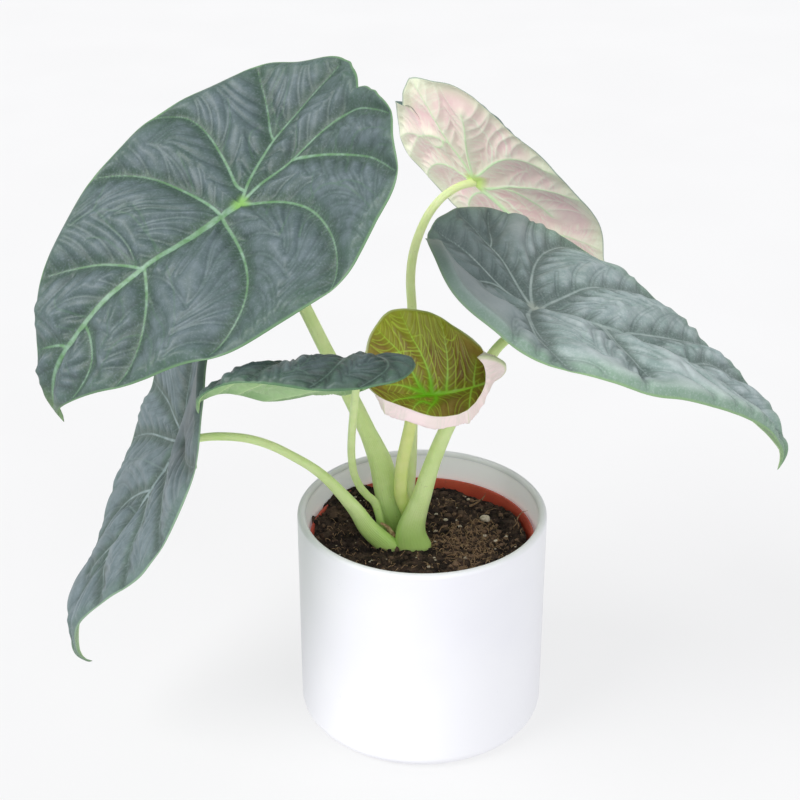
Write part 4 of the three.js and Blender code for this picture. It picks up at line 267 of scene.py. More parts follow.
[[0.067,0.031],[0.07,-0.025],[0.075,-0.07],[0.084,-0.111],[0.095,-0.153],[0.112,-0.19],[0.137,-0.215],[0.167,-0.235]],[[0.096,-0.021],[0.135,-0.034],[0.172,-0.042],
[0.205,-0.045],[0.238,-0.046],[0.27,-0.048]],[[-0.056,-0.017],[-0.068,0.091],[-0.095,0.132],[-0.129,0.138],[-0.164,0.143],[-0.199,0.147],[-0.238,0.16],[-0.286,0.196]]]},
"C":{"mid":[[-0.0,0.0],[0.026,0.003],[0.05,0.005],[0.073,0.005],[0.094,0.004],[0.114,0.001],[0.135,-0.003],[0.156,-0.006],[0.177,-0.007],[0.199,-0.004],[0.221,0.002],
[0.243,0.006],[0.266,0.01],[0.288,0.016],[0.31,0.02],[0.333,0.019],[0.356,0.015],[0.38,0.011],[0.402,0.009],[0.423,0.006],[0.442,0.001],[0.462,-0.006],[0.481,-0.013],
[0.5,-0.018],[0.519,-0.021],[0.539,-0.023],[0.559,-0.025],[0.579,-0.025],[0.599,-0.022],[0.62,-0.019],[0.639,-0.02],[0.658,-0.023],[0.677,-0.022],[0.697,-0.017],[0.717,
-0.011],[0.736,-0.005],[0.755,0.0],[0.775,0.003],[0.795,0.006],[0.815,0.008],[0.835,0.01],[0.855,0.012],[0.876,0.014],[0.9,0.014],[0.923,0.001],[0.947,-0.017],[0.973,
-0.014]],"pri":[[[-0.0,0.0],[-0.013,0.023],[-0.026,0.045],[-0.04,0.067],[-0.055,0.088],[-0.071,0.11],[-0.089,0.133],[-0.108,0.157],[-0.128,0.18],[-0.15,0.202],[-0.176,
0.22],[-0.207,0.236],[-0.238,0.249],[-0.269,0.258],[-0.3,0.261],[-0.33,0.258],[-0.36,0.25],[-0.391,0.231],[-0.424,0.203]],[[-0.206,0.251],[-0.223,0.284],[-0.242,0.316],
[-0.263,0.346],[-0.286,0.375]],[[-0.018,0.006],[-0.037,0.017],[-0.058,0.027],[-0.078,0.036],[-0.098,0.045],[-0.117,0.056],[-0.137,0.068],[-0.157,0.078],[-0.177,0.087],
[-0.199,0.094],[-0.222,0.099],[-0.245,0.104],[-0.268,0.108],[-0.292,0.111],[-0.316,0.112],[-0.337,0.11],[-0.359,0.106],[-0.381,0.099],[-0.403,0.089]],[[-0.001,0.008],
[-0.008,0.038],[-0.016,0.069],[-0.023,0.103],[-0.025,0.138],[-0.026,0.174],[-0.027,0.212],[-0.025,0.253],[-0.017,0.3],[-0.004,0.345],[0.014,0.379],[0.034,0.408],[0.056,
0.436],[0.079,0.46],[0.104,0.48],[0.127,0.492],[0.147,0.494],[0.166,0.491],[0.185,0.488],[0.204,0.485]],[[0.024,0.025],[0.042,0.051],[0.06,0.078],[0.079,0.106],[0.1,
0.135],[0.122,0.165],[0.143,0.193],[0.166,0.214],[0.19,0.234],[0.212,0.253],[0.233,0.27],[0.253,0.287],[0.273,0.308],[0.295,0.328],[0.319,0.345],[0.344,0.365],[0.369,
0.39]],[[-0.018,-0.061],[-0.014,-0.131],[-0.006,-0.189],[0.007,-0.232],[0.022,-0.268],[0.037,-0.302],[0.053,-0.333]],[[0.231,0.003],[0.246,-0.041],[0.26,-0.083],[0.275,
-0.122],[0.291,-0.154],[0.307,-0.182],[0.322,-0.207],[0.339,-0.23],[0.355,-0.252]],[[-0.027,-0.054],[-0.047,-0.07],[-0.067,-0.089],[-0.088,-0.106],[-0.11,-0.116],[-0.133,
-0.125]],[[-0.067,0.032],[-0.086,0.047],[-0.105,0.061],[-0.126,0.068],[-0.149,0.063],[-0.173,0.054],[-0.196,0.039],[-0.218,0.005],[-0.245,-0.056]],[[0.303,0.032],[0.331,
0.047],[0.359,0.063],[0.385,0.081],[0.411,0.1],[0.435,0.119],[0.456,0.134],[0.476,0.149],[0.497,0.167],[0.52,0.188],[0.544,0.218],[0.57,0.258],[0.598,0.285],[0.623,
0.285]],[[0.541,0.032],[0.569,0.087],[0.591,0.121],[0.615,0.138],[0.642,0.134]],[[0.221,0.007],[0.232,-0.033],[0.244,-0.071],[0.257,-0.105],[0.273,-0.138],[0.293,-0.173],
[0.314,-0.203],[0.333,-0.226],[0.351,-0.243],[0.371,-0.26],[0.39,-0.277]],[[-0.027,-0.081],[-0.017,-0.154],[-0.006,-0.216],[0.005,-0.262],[0.016,-0.298],[0.029,-0.334],
[0.045,-0.368],[0.063,-0.397],[0.08,-0.42],[0.099,-0.437]]],"sec":[[[0.081,0.034],[0.103,0.063],[0.124,0.092],[0.143,0.121],[0.163,0.148],[0.184,0.169],[0.207,0.187],
[0.231,0.204],[0.256,0.22],[0.28,0.236]],[[0.171,0.023],[0.188,0.065],[0.208,0.107],[0.231,0.151],[0.256,0.192],[0.282,0.23],[0.308,0.262],[0.332,0.287],[0.355,0.312],
[0.378,0.339],[0.403,0.369],[0.43,0.401]],[[0.224,0.024],[0.245,0.06],[0.267,0.097],[0.289,0.136],[0.313,0.176],[0.339,0.217],[0.367,0.256],[0.396,0.292],[0.425,0.331]],
[[0.29,0.039],[0.304,0.085],[0.32,0.137],[0.354,0.217]],[[0.341,0.067],[0.357,0.112],[0.376,0.159],[0.398,0.211],[0.423,0.267],[0.448,0.324],[0.471,0.365],[0.489,0.373],
[0.504,0.362]],[[0.647,0.027],[0.679,0.115],[0.703,0.129],[0.726,0.142]],[[0.465,0.199],[0.487,0.298],[0.523,0.354],[0.551,0.337]],[[0.151,-0.274],[0.156,-0.2],[0.169,
-0.123],[0.193,-0.05],[0.221,0.003]],[[0.362,-0.422],[0.357,-0.366],[0.354,-0.314],[0.379,-0.248]],[[0.306,-0.364],[0.299,-0.313],[0.293,-0.265],[0.272,-0.245]],[[0.478,
-0.165],[0.497,-0.195],[0.517,-0.224],[0.539,-0.245],[0.564,-0.249],[0.591,-0.245],[0.618,-0.24]],[[0.03,-0.149],[0.056,-0.142],[0.081,-0.14],[0.103,-0.151],[0.121,
-0.173],[0.137,-0.205],[0.153,-0.241]],[[0.436,0.049],[0.455,0.044],[0.474,0.039],[0.494,0.036],[0.517,0.035],[0.541,0.032]]]},"D":{"mid":[[-0.018,0.049],[0.021,0.018],
[0.057,0.0],[0.088,-0.007],[0.118,-0.011],[0.146,-0.013],[0.174,-0.015],[0.201,-0.016],[0.227,-0.016],[0.253,-0.016],[0.278,-0.015],[0.302,-0.015],[0.326,-0.014],[0.35,
-0.013],[0.373,-0.009],[0.394,0.0],[0.414,0.017],[0.433,0.031],[0.457,0.032],[0.484,0.027],[0.511,0.022],[0.537,0.016],[0.563,0.007],[0.589,-0.001],[0.613,-0.007],[0.638,
-0.01],[0.663,-0.01],[0.687,-0.01],[0.712,-0.011],[0.735,-0.011],[0.757,-0.01],[0.78,-0.011],[0.805,-0.013],[0.831,-0.018],[0.859,-0.03],[0.885,-0.036],[0.904,-0.011],
[0.929,0.016],[0.963,0.017],[0.995,0.0]],"pri":[[[-0.018,0.049],[-0.018,-0.023],[-0.025,-0.074],[-0.034,-0.117],[-0.038,-0.161],[-0.039,-0.206],[-0.04,-0.252],[-0.04,
-0.303],[-0.039,-0.359],[-0.039,-0.417]],[[-0.029,0.056],[-0.034,0.001],[-0.047,-0.029],[-0.064,-0.046],[-0.082,-0.063],[-0.101,-0.079],[-0.119,-0.095],[-0.138,-0.11],
[-0.158,-0.124],[-0.183,-0.136],[-0.21,-0.147],[-0.237,-0.159]],[[-0.018,0.049],[0.037,-0.073],[0.078,-0.18],[0.12,-0.284],[0.175,-0.378],[0.229,-0.452]],[[0.229,-0.011],
[0.26,-0.056],[0.294,-0.101],[0.331,-0.144],[0.368,-0.18],[0.401,-0.202],[0.431,-0.214],[0.464,-0.22],[0.497,-0.225]],[[0.431,0.038],[0.47,-0.004],[0.506,-0.032],[0.537,
-0.042],[0.566,-0.049],[0.597,-0.066],[0.629,-0.089]],[[-0.068,0.19],[-0.076,0.273],[-0.077,0.337],[-0.071,0.382],[-0.079,0.429],[-0.12,0.499]],[[0.106,0.016],[0.11,
0.077],[0.118,0.126],[0.128,0.17],[0.137,0.213],[0.147,0.253],[0.158,0.289],[0.171,0.322],[0.186,0.35],[0.201,0.377],[0.21,0.412],[0.217,0.449]],[[0.248,-0.002],[0.252,
0.068],[0.26,0.124],[0.273,0.163],[0.292,0.183],[0.313,0.194],[0.334,0.206],[0.353,0.222],[0.369,0.245],[0.384,0.271],[0.399,0.294],[0.417,0.317],[0.438,0.344],[0.462,
0.372]],[[0.542,0.036],[0.544,0.103],[0.553,0.154],[0.566,0.191],[0.582,0.22],[0.6,0.244],[0.617,0.27]]],"sec":[[[0.121,0.024],[0.152,-0.068],[0.186,-0.163],[0.23,
-0.263],[0.283,-0.35]],[[0.195,0.007],[0.197,0.08],[0.201,0.141],[0.212,0.188],[0.227,0.222],[0.244,0.254]],[[0.333,0.009],[0.34,-0.048],[0.351,-0.111],[0.394,-0.138]],
[[0.274,0.186],[0.283,0.226],[0.293,0.261],[0.304,0.295],[0.311,0.331],[0.317,0.367],[0.326,0.398]]]},"F":{"mid":[[0.0,-0.0],[0.054,0.004],[0.106,0.005],[0.155,0.004],
[0.201,0.004],[0.245,0.003],[0.29,0.001],[0.334,-0.003],[0.38,-0.004],[0.427,-0.003]],"pri":[[[0.047,0.021],[0.04,0.085],[0.025,0.14],[0.002,0.189],[-0.026,0.237],
[-0.057,0.281],[-0.091,0.319],[-0.126,0.353],[-0.161,0.387],[-0.195,0.425],[-0.226,0.464],[-0.255,0.5],[-0.282,0.534]],[[0.151,0.016],[0.162,0.06],[0.173,0.104],[0.183,
0.148],[0.193,0.195],[0.202,0.243],[0.209,0.291],[0.212,0.339],[0.214,0.388],[0.221,0.445],[0.231,0.519]],[[0.347,0.015],[0.373,0.056],[0.402,0.097],[0.438,0.134],[0.483,
0.168]],[[-0.045,0.049],[-0.09,0.107],[-0.124,0.15],[-0.153,0.184],[-0.183,0.218],[-0.22,0.25],[-0.271,0.281],[-0.33,0.31],[-0.39,0.337],[-0.451,0.363],[-0.51,0.391]],
[[0.329,-0.025],[0.318,-0.099],[0.304,-0.185],[0.333,-0.36]],[[0.073,-0.051],[0.014,-0.104],[-0.062,-0.171],[-0.185,-0.279]],[[-0.06,-0.058],[-0.139,-0.12],[-0.265,
-0.219]],[[0.0,-0.0],[-0.055,-0.012],[-0.112,-0.026],[-0.178,-0.044],[-0.259,-0.066],[-0.376,-0.11],[-0.543,-0.186]],[[-0.034,0.021],[-0.093,0.037],[-0.152,0.051],
[-0.214,0.057],[-0.281,0.051],[-0.352,0.038]]],"sec":[[[-0.213,0.258],[-0.246,0.319],[-0.3,0.369],[-0.35,0.405],[-0.391,0.435],[-0.429,0.466]],[[-0.056,0.283],[-0.063,
0.326],[-0.07,0.37],[-0.082,0.419],[-0.103,0.481],[-0.123,0.554]],[[-0.162,0.385],[-0.075,0.407]],[[0.098,0.015],[0.093,0.058],[0.087,0.102],[0.077,0.145],[0.062,0.188],
[0.043,0.23],[0.022,0.272],[-0.001,0.314],[-0.028,0.358],[-0.066,0.407]],[[-0.059,0.297],[-0.144,0.294],[-0.215,0.284],[-0.279,0.27],[-0.343,0.257]],[[-0.203,0.43],
[-0.285,0.423],[-0.364,0.461]],[[0.307,0.357],[0.421,0.384]],[[0.241,0.375],[0.314,0.35],[0.421,0.384]],[[0.219,0.026],[0.231,0.072],[0.245,0.118],[0.259,0.164],[0.27,
0.212],[0.28,0.26],[0.289,0.308]],[[0.281,0.012],[0.297,0.051],[0.315,0.092],[0.331,0.134],[0.339,0.177],[0.345,0.221],[0.354,0.265]],[[0.189,0.287],[0.118,0.338],[0.071,
0.379],[0.033,0.413],[-0.006,0.446],[-0.042,0.479]]]},"AX":{"mid":[[0.0,0.0],[0.09,0.0],[0.18,0.0],[0.27,0.0],[0.36,0.0],[0.45,0.0],[0.54,0.0],[0.63,0.0],[0.72,0.0],
[0.81,0.0],[0.9,0.0],[0.99,0.0]],"pri":[[[0.0,-0.0],[-0.02,-0.017],[-0.041,-0.035],[-0.062,-0.052],[-0.086,-0.069],[-0.11,-0.085],[-0.133,-0.1],[-0.154,-0.113],[-0.173,
-0.123],[-0.194,-0.134],[-0.214,-0.144],[-0.236,-0.151],[-0.26,-0.157],[-0.284,-0.163],[-0.31,-0.167],[-0.336,-0.168],[-0.361,-0.169],[-0.386,-0.17],[-0.411,-0.17],
[-0.436,-0.17],[-0.459,-0.17],[-0.481,-0.167],[-0.505,-0.162]],[[-0.213,-0.146],[-0.225,-0.169],[-0.238,-0.192],[-0.251,-0.216],[-0.265,-0.238],[-0.278,-0.262],[-0.291,
-0.288],[-0.306,-0.317],[-0.323,-0.35],[-0.344,-0.39]],[[0.0,-0.0],[-0.02,-0.005],[-0.04,-0.011],[-0.059,-0.015],[-0.078,-0.019],[-0.097,-0.021],[-0.118,-0.023],[-0.138,
-0.024],[-0.158,-0.025],[-0.178,-0.025],[-0.199,-0.023],[-0.22,-0.021],[-0.243,-0.022],[-0.267,-0.022],[-0.291,-0.023],[-0.314,-0.023],[-0.336,-0.021],[-0.356,-0.017],
[-0.376,-0.011],[-0.394,-0.007],[-0.413,-0.0],[-0.435,0.013],[-0.461,0.034],[-0.487,0.064],[-0.51,0.109],[-0.522,0.16],[-0.524,0.208],[-0.525,0.256]],[[-0.219,-0.02],
[-0.239,-0.002],[-0.261,0.017],[-0.28,0.037],[-0.295,0.058],[-0.31,0.081],[-0.324,0.109],[-0.335,0.139],[-0.347,0.17],[-0.359,0.205],[-0.372,0.242],[-0.384,0.282],
[-0.392,0.322],[-0.396,0.361],[-0.396,0.395],[-0.396,0.426]],[[-0.005,0.011],[-0.024,0.024],[-0.043,0.038],[-0.06,0.054],[-0.076,0.07],[-0.091,0.086],[-0.104,0.105],
[-0.116,0.126],[-0.128,0.15],[-0.139,0.181],[-0.148,0.215],[-0.151,0.247],[-0.151,0.279],[-0.15,0.309],[-0.147,0.338],[-0.143,0.365],[-0.136,0.392],[-0.127,0.417],
[-0.116,0.44],[-0.104,0.461],[-0.089,0.477],[-0.075,0.493],[-0.062,0.508],[-0.046,0.521],[-0.027,0.536]],[[-0.018,-0.05],[-0.028,-0.078],[-0.036,-0.109],[-0.044,-0.144],
[-0.051,-0.18],[-0.055,-0.212],[-0.059,-0.241],[-0.064,-0.269],[-0.067,-0.294],[-0.068,-0.318],[-0.067,-0.343],[-0.064,-0.37],[-0.058,-0.398],[-0.042,-0.424],[-0.02,
-0.441],[-0.0,-0.451],[0.021,-0.458],[0.046,-0.464]],[[0.068,-0.013],[0.074,-0.039],[0.08,-0.064],[0.086,-0.089],[0.093,-0.114],[0.099,-0.139],[0.107,-0.163],[0.119,
-0.189],[0.131,-0.215],[0.144,-0.241],[0.158,-0.264],[0.174,-0.286],[0.189,-0.307],[0.205,-0.326],[0.221,-0.344],[0.238,-0.363],[0.259,-0.381],[0.28,-0.396],[0.301,
-0.407],[0.323,-0.416]],[[0.077,0.02],[0.078,0.046],[0.079,0.073],[0.081,0.1],[0.084,0.128],[0.089,0.156],[0.094,0.183],[0.1,0.21],[0.108,0.235],[0.117,0.261],[0.129,
0.289],[0.144,0.317],[0.162,0.34],[0.182,0.36],[0.203,0.379],[0.225,0.394],[0.248,0.406],[0.271,0.415],[0.293,0.423],[0.316,0.429],[0.34,0.435],[0.364,0.442]],[[0.366,
-0.007],[0.383,-0.032],[0.4,-0.056],[0.416,-0.076],[0.43,-0.094],[0.445,-0.112],[0.463,-0.13],[0.481,-0.146],[0.498,-0.163],[0.515,-0.178],[0.532,-0.192],[0.549,-0.207],
[0.57,-0.221],[0.591,-0.235]],[[0.366,0.011],[0.381,0.039],[0.395,0.065],[0.407,0.088],[0.42,0.11],[0.433,0.131],[0.447,0.149],[0.462,0.166],[0.478,0.181],[0.496,0.196],
[0.514,0.211],[0.533,0.224],[0.553,0.235],[0.572,0.246],[0.593,0.253],[0.618,0.256],[0.643,0.259],[0.669,0.263]],[[0.623,0.021],[0.63,0.049],[0.638,0.076],[0.65,0.1],
[0.666,0.121],[0.683,0.133],[0.703,0.141],[0.725,0.145],[0.748,0.144],[0.773,0.14],[0.801,0.132],[0.832,0.122]],[[0.719,-0.024],[0.745,-0.052],[0.77,-0.086],[0.799,
-0.121]]],"sec":[[[0.377,-0.016],[0.38,-0.042],[0.384,-0.068],[0.387,-0.095],[0.39,-0.121],[0.394,-0.146],[0.399,-0.171],[0.408,-0.197],[0.426,-0.217],[0.446,-0.227]],
[[0.292,-0.019],[0.291,-0.055],[0.29,-0.09],[0.291,-0.122],[0.291,-0.151],[0.295,-0.179],[0.304,-0.201],[0.317,-0.222],[0.33,-0.243],[0.346,-0.264],[0.362,-0.284],[0.379,
-0.3],[0.397,-0.309],[0.416,-0.314],[0.437,-0.317],[0.461,-0.317],[0.487,-0.315]],[[0.38,-0.304],[0.361,-0.317],[0.341,-0.332],[0.322,-0.349],[0.304,-0.364]],[[0.372,
-0.037],[0.367,-0.065],[0.363,-0.091],[0.359,-0.12],[0.36,-0.156],[0.367,-0.197],[0.37,-0.238],[0.372,-0.274],[0.38,-0.304]],[[0.298,-0.022],[0.295,-0.055],[0.29,-0.082],
[0.282,-0.106],[0.274,-0.131],[0.27,-0.157],[0.271,-0.185],[0.274,-0.214]],[[0.302,0.057],[0.309,0.089],[0.316,0.119],[0.325,0.145],[0.334,0.17],[0.344,0.196],[0.356,
0.22],[0.367,0.242],[0.378,0.263],[0.39,0.283],[0.406,0.301],[0.423,0.317],[0.44,0.332],[0.458,0.347],[0.476,0.364],[0.493,0.38]],[[0.397,0.061],[0.402,0.086],[0.408,
0.112],[0.414,0.139],[0.421,0.165],[0.424,0.191],[0.422,0.22],[0.42,0.251],[0.427,0.276],[0.442,0.298],[0.463,0.319],[0.488,0.334],[0.512,0.339],[0.537,0.341],[0.562,
0.342]],[[0.484,0.204],[0.478,0.233],[0.478,0.264],[0.489,0.291],[0.505,0.309],[0.521,0.322],[0.537,0.334],[0.554,0.344]],[[0.529,0.048],[0.537,0.068],[0.546,0.088],
[0.558,0.107],[0.576,0.122],[0.601,0.13],[0.629,0.136]],[[0.501,0.187],[0.525,0.173],[0.549,0.162],[0.575,0.162],[0.601,0.168],[0.623,0.174],[0.644,0.178],[0.668,0.182],
[0.693,0.188],[0.72,0.194],[0.748,0.197]],[[0.474,0.049],[0.478,0.076],[0.486,0.099],[0.502,0.113],[0.522,0.121]],[[0.739,0.032],[0.75,0.059],[0.764,0.085],[0.782,0.105],
[0.802,0.123]],[[0.62,0.027],[0.623,0.052],[0.627,0.075],[0.636,0.097],[0.65,0.118],[0.67,0.136],[0.693,0.145],[0.717,0.149],[0.742,0.149],[0.768,0.144],[0.796,0.137],
[0.827,0.126]],[[0.602,-0.013],[0.619,-0.049],[0.637,-0.083],[0.654,-0.111],[0.662,-0.131],[0.65,-0.142],[0.629,-0.148],[0.608,-0.154],[0.583,-0.159],[0.556,-0.165]],
[[0.699,-0.002],[0.719,-0.018],[0.74,-0.055]],[[0.662,-0.022],[0.677,-0.05],[0.692,-0.081]]]},"BX":{"mid":[[0.0,0.0],[0.09,0.0],[0.18,0.0],[0.27,0.0],[0.36,0.0],[0.45,
0.0],[0.54,0.0],[0.63,0.0],[0.72,0.0],[0.81,0.0],[0.9,0.0],[0.99,0.0]],"pri":[[[-0.032,-0.024],[-0.067,-0.054],[-0.101,-0.084],[-0.133,-0.116],[-0.162,-0.151],[-0.19,
-0.187],[-0.217,-0.222],[-0.245,-0.257],[-0.272,-0.287],[-0.3,-0.307]],[[-0.035,-0.014],[-0.076,-0.035],[-0.115,-0.055],[-0.15,-0.07],[-0.181,-0.078],[-0.211,-0.083],
[-0.243,-0.091],[-0.28,-0.105],[-0.315,-0.12],[-0.345,-0.131],[-0.372,-0.141],[-0.399,-0.149],[-0.43,-0.153],[-0.462,-0.157],[-0.494,-0.161]],[[-0.23,-0.072],[-0.257,
-0.062],[-0.284,-0.053],[-0.314,-0.03],[-0.335,0.056],[-0.332,0.193],[-0.314,0.302],[-0.292,0.366],[-0.268,0.422]],[[-0.015,-0.038],[-0.026,-0.105],[-0.035,-0.169],
[-0.039,-0.225],[-0.037,-0.273],[-0.028,-0.313],[-0.012,-0.344],[0.012,-0.367],[0.039,-0.387],[0.069,-0.405],[0.101,-0.421]],[[0.045,0.025],[0.057,-0.029],[0.072,-0.071],
[0.09,-0.102],[0.108,-0.131],[0.131,-0.153],[0.167,-0.165],[0.207,-0.173],[0.244,-0.184],[0.279,-0.193],[0.313,-0.196],[0.347,-0.196]],[[-0.219,-0.02],[-0.239,-0.002],
[-0.261,0.017],[-0.28,0.037],[-0.295,0.058],[-0.31,0.081],[-0.324,0.109],[-0.335,0.139],[-0.347,0.17],[-0.359,0.205],[-0.372,0.242],[-0.384,0.282],[-0.392,0.322],[-0.396,
0.361],[-0.396,0.395],[-0.396,0.426]],[[-0.005,0.011],[-0.024,0.024],[-0.043,0.038],[-0.06,0.054],[-0.076,0.07],[-0.091,0.086],[-0.104,0.105],[-0.116,0.126],[-0.128,
0.15],[-0.139,0.181],[-0.148,0.215],[-0.151,0.247],[-0.151,0.279],[-0.15,0.309],[-0.147,0.338],[-0.143,0.365],[-0.136,0.392],[-0.127,0.417],[-0.116,0.44],[-0.104,0.461],
[-0.089,0.477],[-0.075,0.493],[-0.062,0.508],[-0.046,0.521],[-0.027,0.536]],[[0.068,-0.013],[0.074,-0.039],[0.08,-0.064],[0.086,-0.089],[0.093,-0.114],[0.099,-0.139],
[0.107,-0.163],[0.119,-0.189],[0.131,-0.215],[0.144,-0.241],[0.158,-0.264],[0.174,-0.286],[0.189,-0.307],[0.205,-0.326],[0.221,-0.344],[0.238,-0.363],[0.259,-0.381],
[0.28,-0.396],[0.301,-0.407],[0.323,-0.416]],[[0.077,0.02],[0.078,0.046],[0.079,0.073],[0.081,0.1],[0.084,0.128],[0.089,0.156],[0.094,0.183],[0.1,0.21],[0.108,0.235],
[0.117,0.261],[0.129,0.289],[0.144,0.317],[0.162,0.34],[0.182,0.36],[0.203,0.379],[0.225,0.394],[0.248,0.406],[0.271,0.415],[0.293,0.423],[0.316,0.429],[0.34,0.435],
[0.364,0.442]],[[0.366,-0.007],[0.383,-0.032],[0.4,-0.056],[0.416,-0.076],[0.43,-0.094],[0.445,-0.112],[0.463,-0.13],[0.481,-0.146],[0.498,-0.163],[0.515,-0.178],[0.532,
-0.192],[0.549,-0.207],[0.57,-0.221],[0.591,-0.235]],[[0.366,0.011],[0.381,0.039],[0.395,0.065],[0.407,0.088],[0.42,0.11],[0.433,0.131],[0.447,0.149],[0.462,0.166],
[0.478,0.181],[0.496,0.196],[0.514,0.211],[0.533,0.224],[0.553,0.235],[0.572,0.246],[0.593,0.253],[0.618,0.256],[0.643,0.259],[0.669,0.263]],[[0.623,0.021],[0.63,0.049],
[0.638,0.076],[0.65,0.1],[0.666,0.121],[0.683,0.133],[0.703,0.141],[0.725,0.145],[0.748,0.144],[0.773,0.14],[0.801,0.132],[0.832,0.122]],[[0.719,-0.024],[0.745,-0.052],
[0.77,-0.086],[0.799,-0.121]]],"sec":[[[-0.024,-0.02],[-0.067,-0.029],[-0.106,-0.024],[-0.136,0.009],[-0.162,0.055],[-0.189,0.096]],[[-0.02,0.011],[-0.029,0.092],[-0.046,
0.154],[-0.077,0.189],[-0.114,0.211],[-0.15,0.229],[-0.188,0.247]],[[-0.037,-0.197],[-0.069,-0.24],[-0.099,-0.275],[-0.129,-0.295],[-0.16,-0.307],[-0.19,-0.318],[-0.222,
-0.326],[-0.255,-0.332]],[[-0.033,-0.313],[-0.062,-0.352],[-0.091,-0.382],[-0.119,-0.395],[-0.146,-0.398],[-0.174,-0.399]],[[0.067,0.031],[0.07,-0.025],[0.075,-0.07],
[0.084,-0.111],[0.095,-0.153],[0.112,-0.19],[0.137,-0.215],[0.167,-0.235]],[[0.096,-0.021],[0.135,-0.034],[0.172,-0.042],[0.205,-0.045],[0.238,-0.046],[0.27,-0.048]],
[[-0.056,-0.017],[-0.068,0.091],[-0.095,0.132],[-0.129,0.138],[-0.164,0.143],[-0.199,0.147],[-0.238,0.16],[-0.286,0.196]]]}}
PET = {"path":{"A":[[-12.0,13.0,102.99],[-18.36,12.0,126.31],[-23.57,8.0,153.91],[-33.15,0.0,184.02],[-41.91,-6.0,207.82],[-51.39,-12.0,232.07],[-61.47,-18.0,258.96],[-71.88,
-21.0,283.65],[-85.18,-25.76,304.96],[-90.65,-32.8,320.94]],"B":[[-3.0,19.5,102.42],[-7.53,20.0,121.59],[-6.14,24.0,145.61],[-5.34,33.0,179.36],[-5.49,42.0,206.33],
[-5.67,50.0,227.35],[-6.53,55.0,243.46],[-5.15,60.0,256.46],[-1.25,65.0,268.22],[4.31,69.0,278.55],[12.13,74.0,286.14],[21.14,79.0,290.2],[28.8,82.64,290.08]],"C":[[-4.0,
-5.0,102.57],[-6.22,-5.0,116.81],[-0.47,-6.0,138.86],[5.69,-7.0,162.3],[14.61,-9.5,187.82],[26.98,-12.0,212.63],[39.51,-15.0,235.83],[55.21,-16.08,249.79],[56.73,-14.25,
255.62]],"D":[[-17.7,-5.2,105.16],[-29.78,-6.0,118.21],[-36.75,-6.5,130.18],[-45.07,-7.0,141.94],[-53.3,-8.0,152.27],[-61.49,-9.0,160.09],[-71.02,-9.5,166.76],[-80.56,
-10.0,172.64],[-90.1,-10.5,176.81],[-99.61,-11.0,179.17],[-110.57,-11.5,180.06],[-120.07,-12.0,179.47],[-128.85,-12.2,176.45]],"E":[[-21.0,6.0,101.96],[-25.74,3.0,127.7],
[-30.8,-2.0,137.8],[-34.64,-8.0,147.0],[-37.46,-17.0,160.49],[-38.28,-29.0,178.51],[-37.48,-44.0,198.63],[-35.94,-60.0,219.6],[-34.44,-74.0,237.11],[-33.1,-88.54,252.83],
[-32.95,-87.25,257.45]],"F":[[-2.0,10.0,102.92],[-11.0,3.0,131.62],[-12.12,-1.0,142.36],[-11.3,-6.0,159.22],[-9.15,-12.0,175.03],[-7.05,-18.0,189.9],[-5.32,-28.44,207.6],
[-0.32,-34.62,215.78]]},"rad":{"A":[5.5,5.6,5.2,4.6,4.2,3.7,3.5,3.3,3.1,2.8],"B":[4.0,3.6,3.3,3.0,2.8,2.7,2.6,2.6,2.5,2.4,2.3,2.2,2.1],"C":[6.9,6.6,5.4,4.4,3.9,3.4,2.7,
2.5,2.3],"D":[5.2,4.9,4.2,3.4,2.9,2.6,2.45,2.4,2.35,2.3,2.3,2.2,2.1],"E":[2.3,2.3,2.2,2.15,2.1,2.1,2.05,2.0,1.95,1.9,1.8],"F":[3.8,3.8,3.7,3.6,3.5,3.3,3.1,2.8]}}


# ------------------------------------------------------------------ helpers
def lin(r, g, b):
    """An sRGB colour of 0 to 255 as linear RGBA."""
    out = []
    for c in (r, g, b):
        c = c / 255.0
        out.append(c / 12.92 if c <= 0.04045 else ((c + 0.055) / 1.055) ** 2.4)
    return (*out, 1.0)


def smooth01(x, a, b):
    t = np.clip((x - a) / (b - a), 0, 1)
    return t * t * (3 - 2 * t)


def make_mesh(name, verts, faces, mats, mat_index=None, attrs=None, smooth=True):
    """verts in millimetres; faces as a list of index arrays (all quads or tris mixed)."""
    me = bpy.data.meshes.new(name)
    me.from_pydata((np.asarray(verts) * MM).tolist(), [], faces)
    for m in mats:
        me.materials.append(m)
    if mat_index is not None:
        me.polygons.foreach_set("material_index", np.asarray(mat_index, np.int32))
    if smooth:
        me.polygons.foreach_set("use_smooth", np.ones(len(me.polygons), bool))
    for k, a in (attrs or {}).items():
        a = np.asarray(a, np.float32)
        if a.ndim == 1:
            at = me.attributes.new(k, "FLOAT", "POINT")
            at.data.foreach_set("value", a)
        else:
            at = me.attributes.new(k, "FLOAT_VECTOR", "POINT")
            at.data.foreach_set("vector", a.ravel())
    me.update()
    ob = bpy.data.objects.new(name, me)
    bpy.context.scene.collection.objects.link(ob)
    return ob


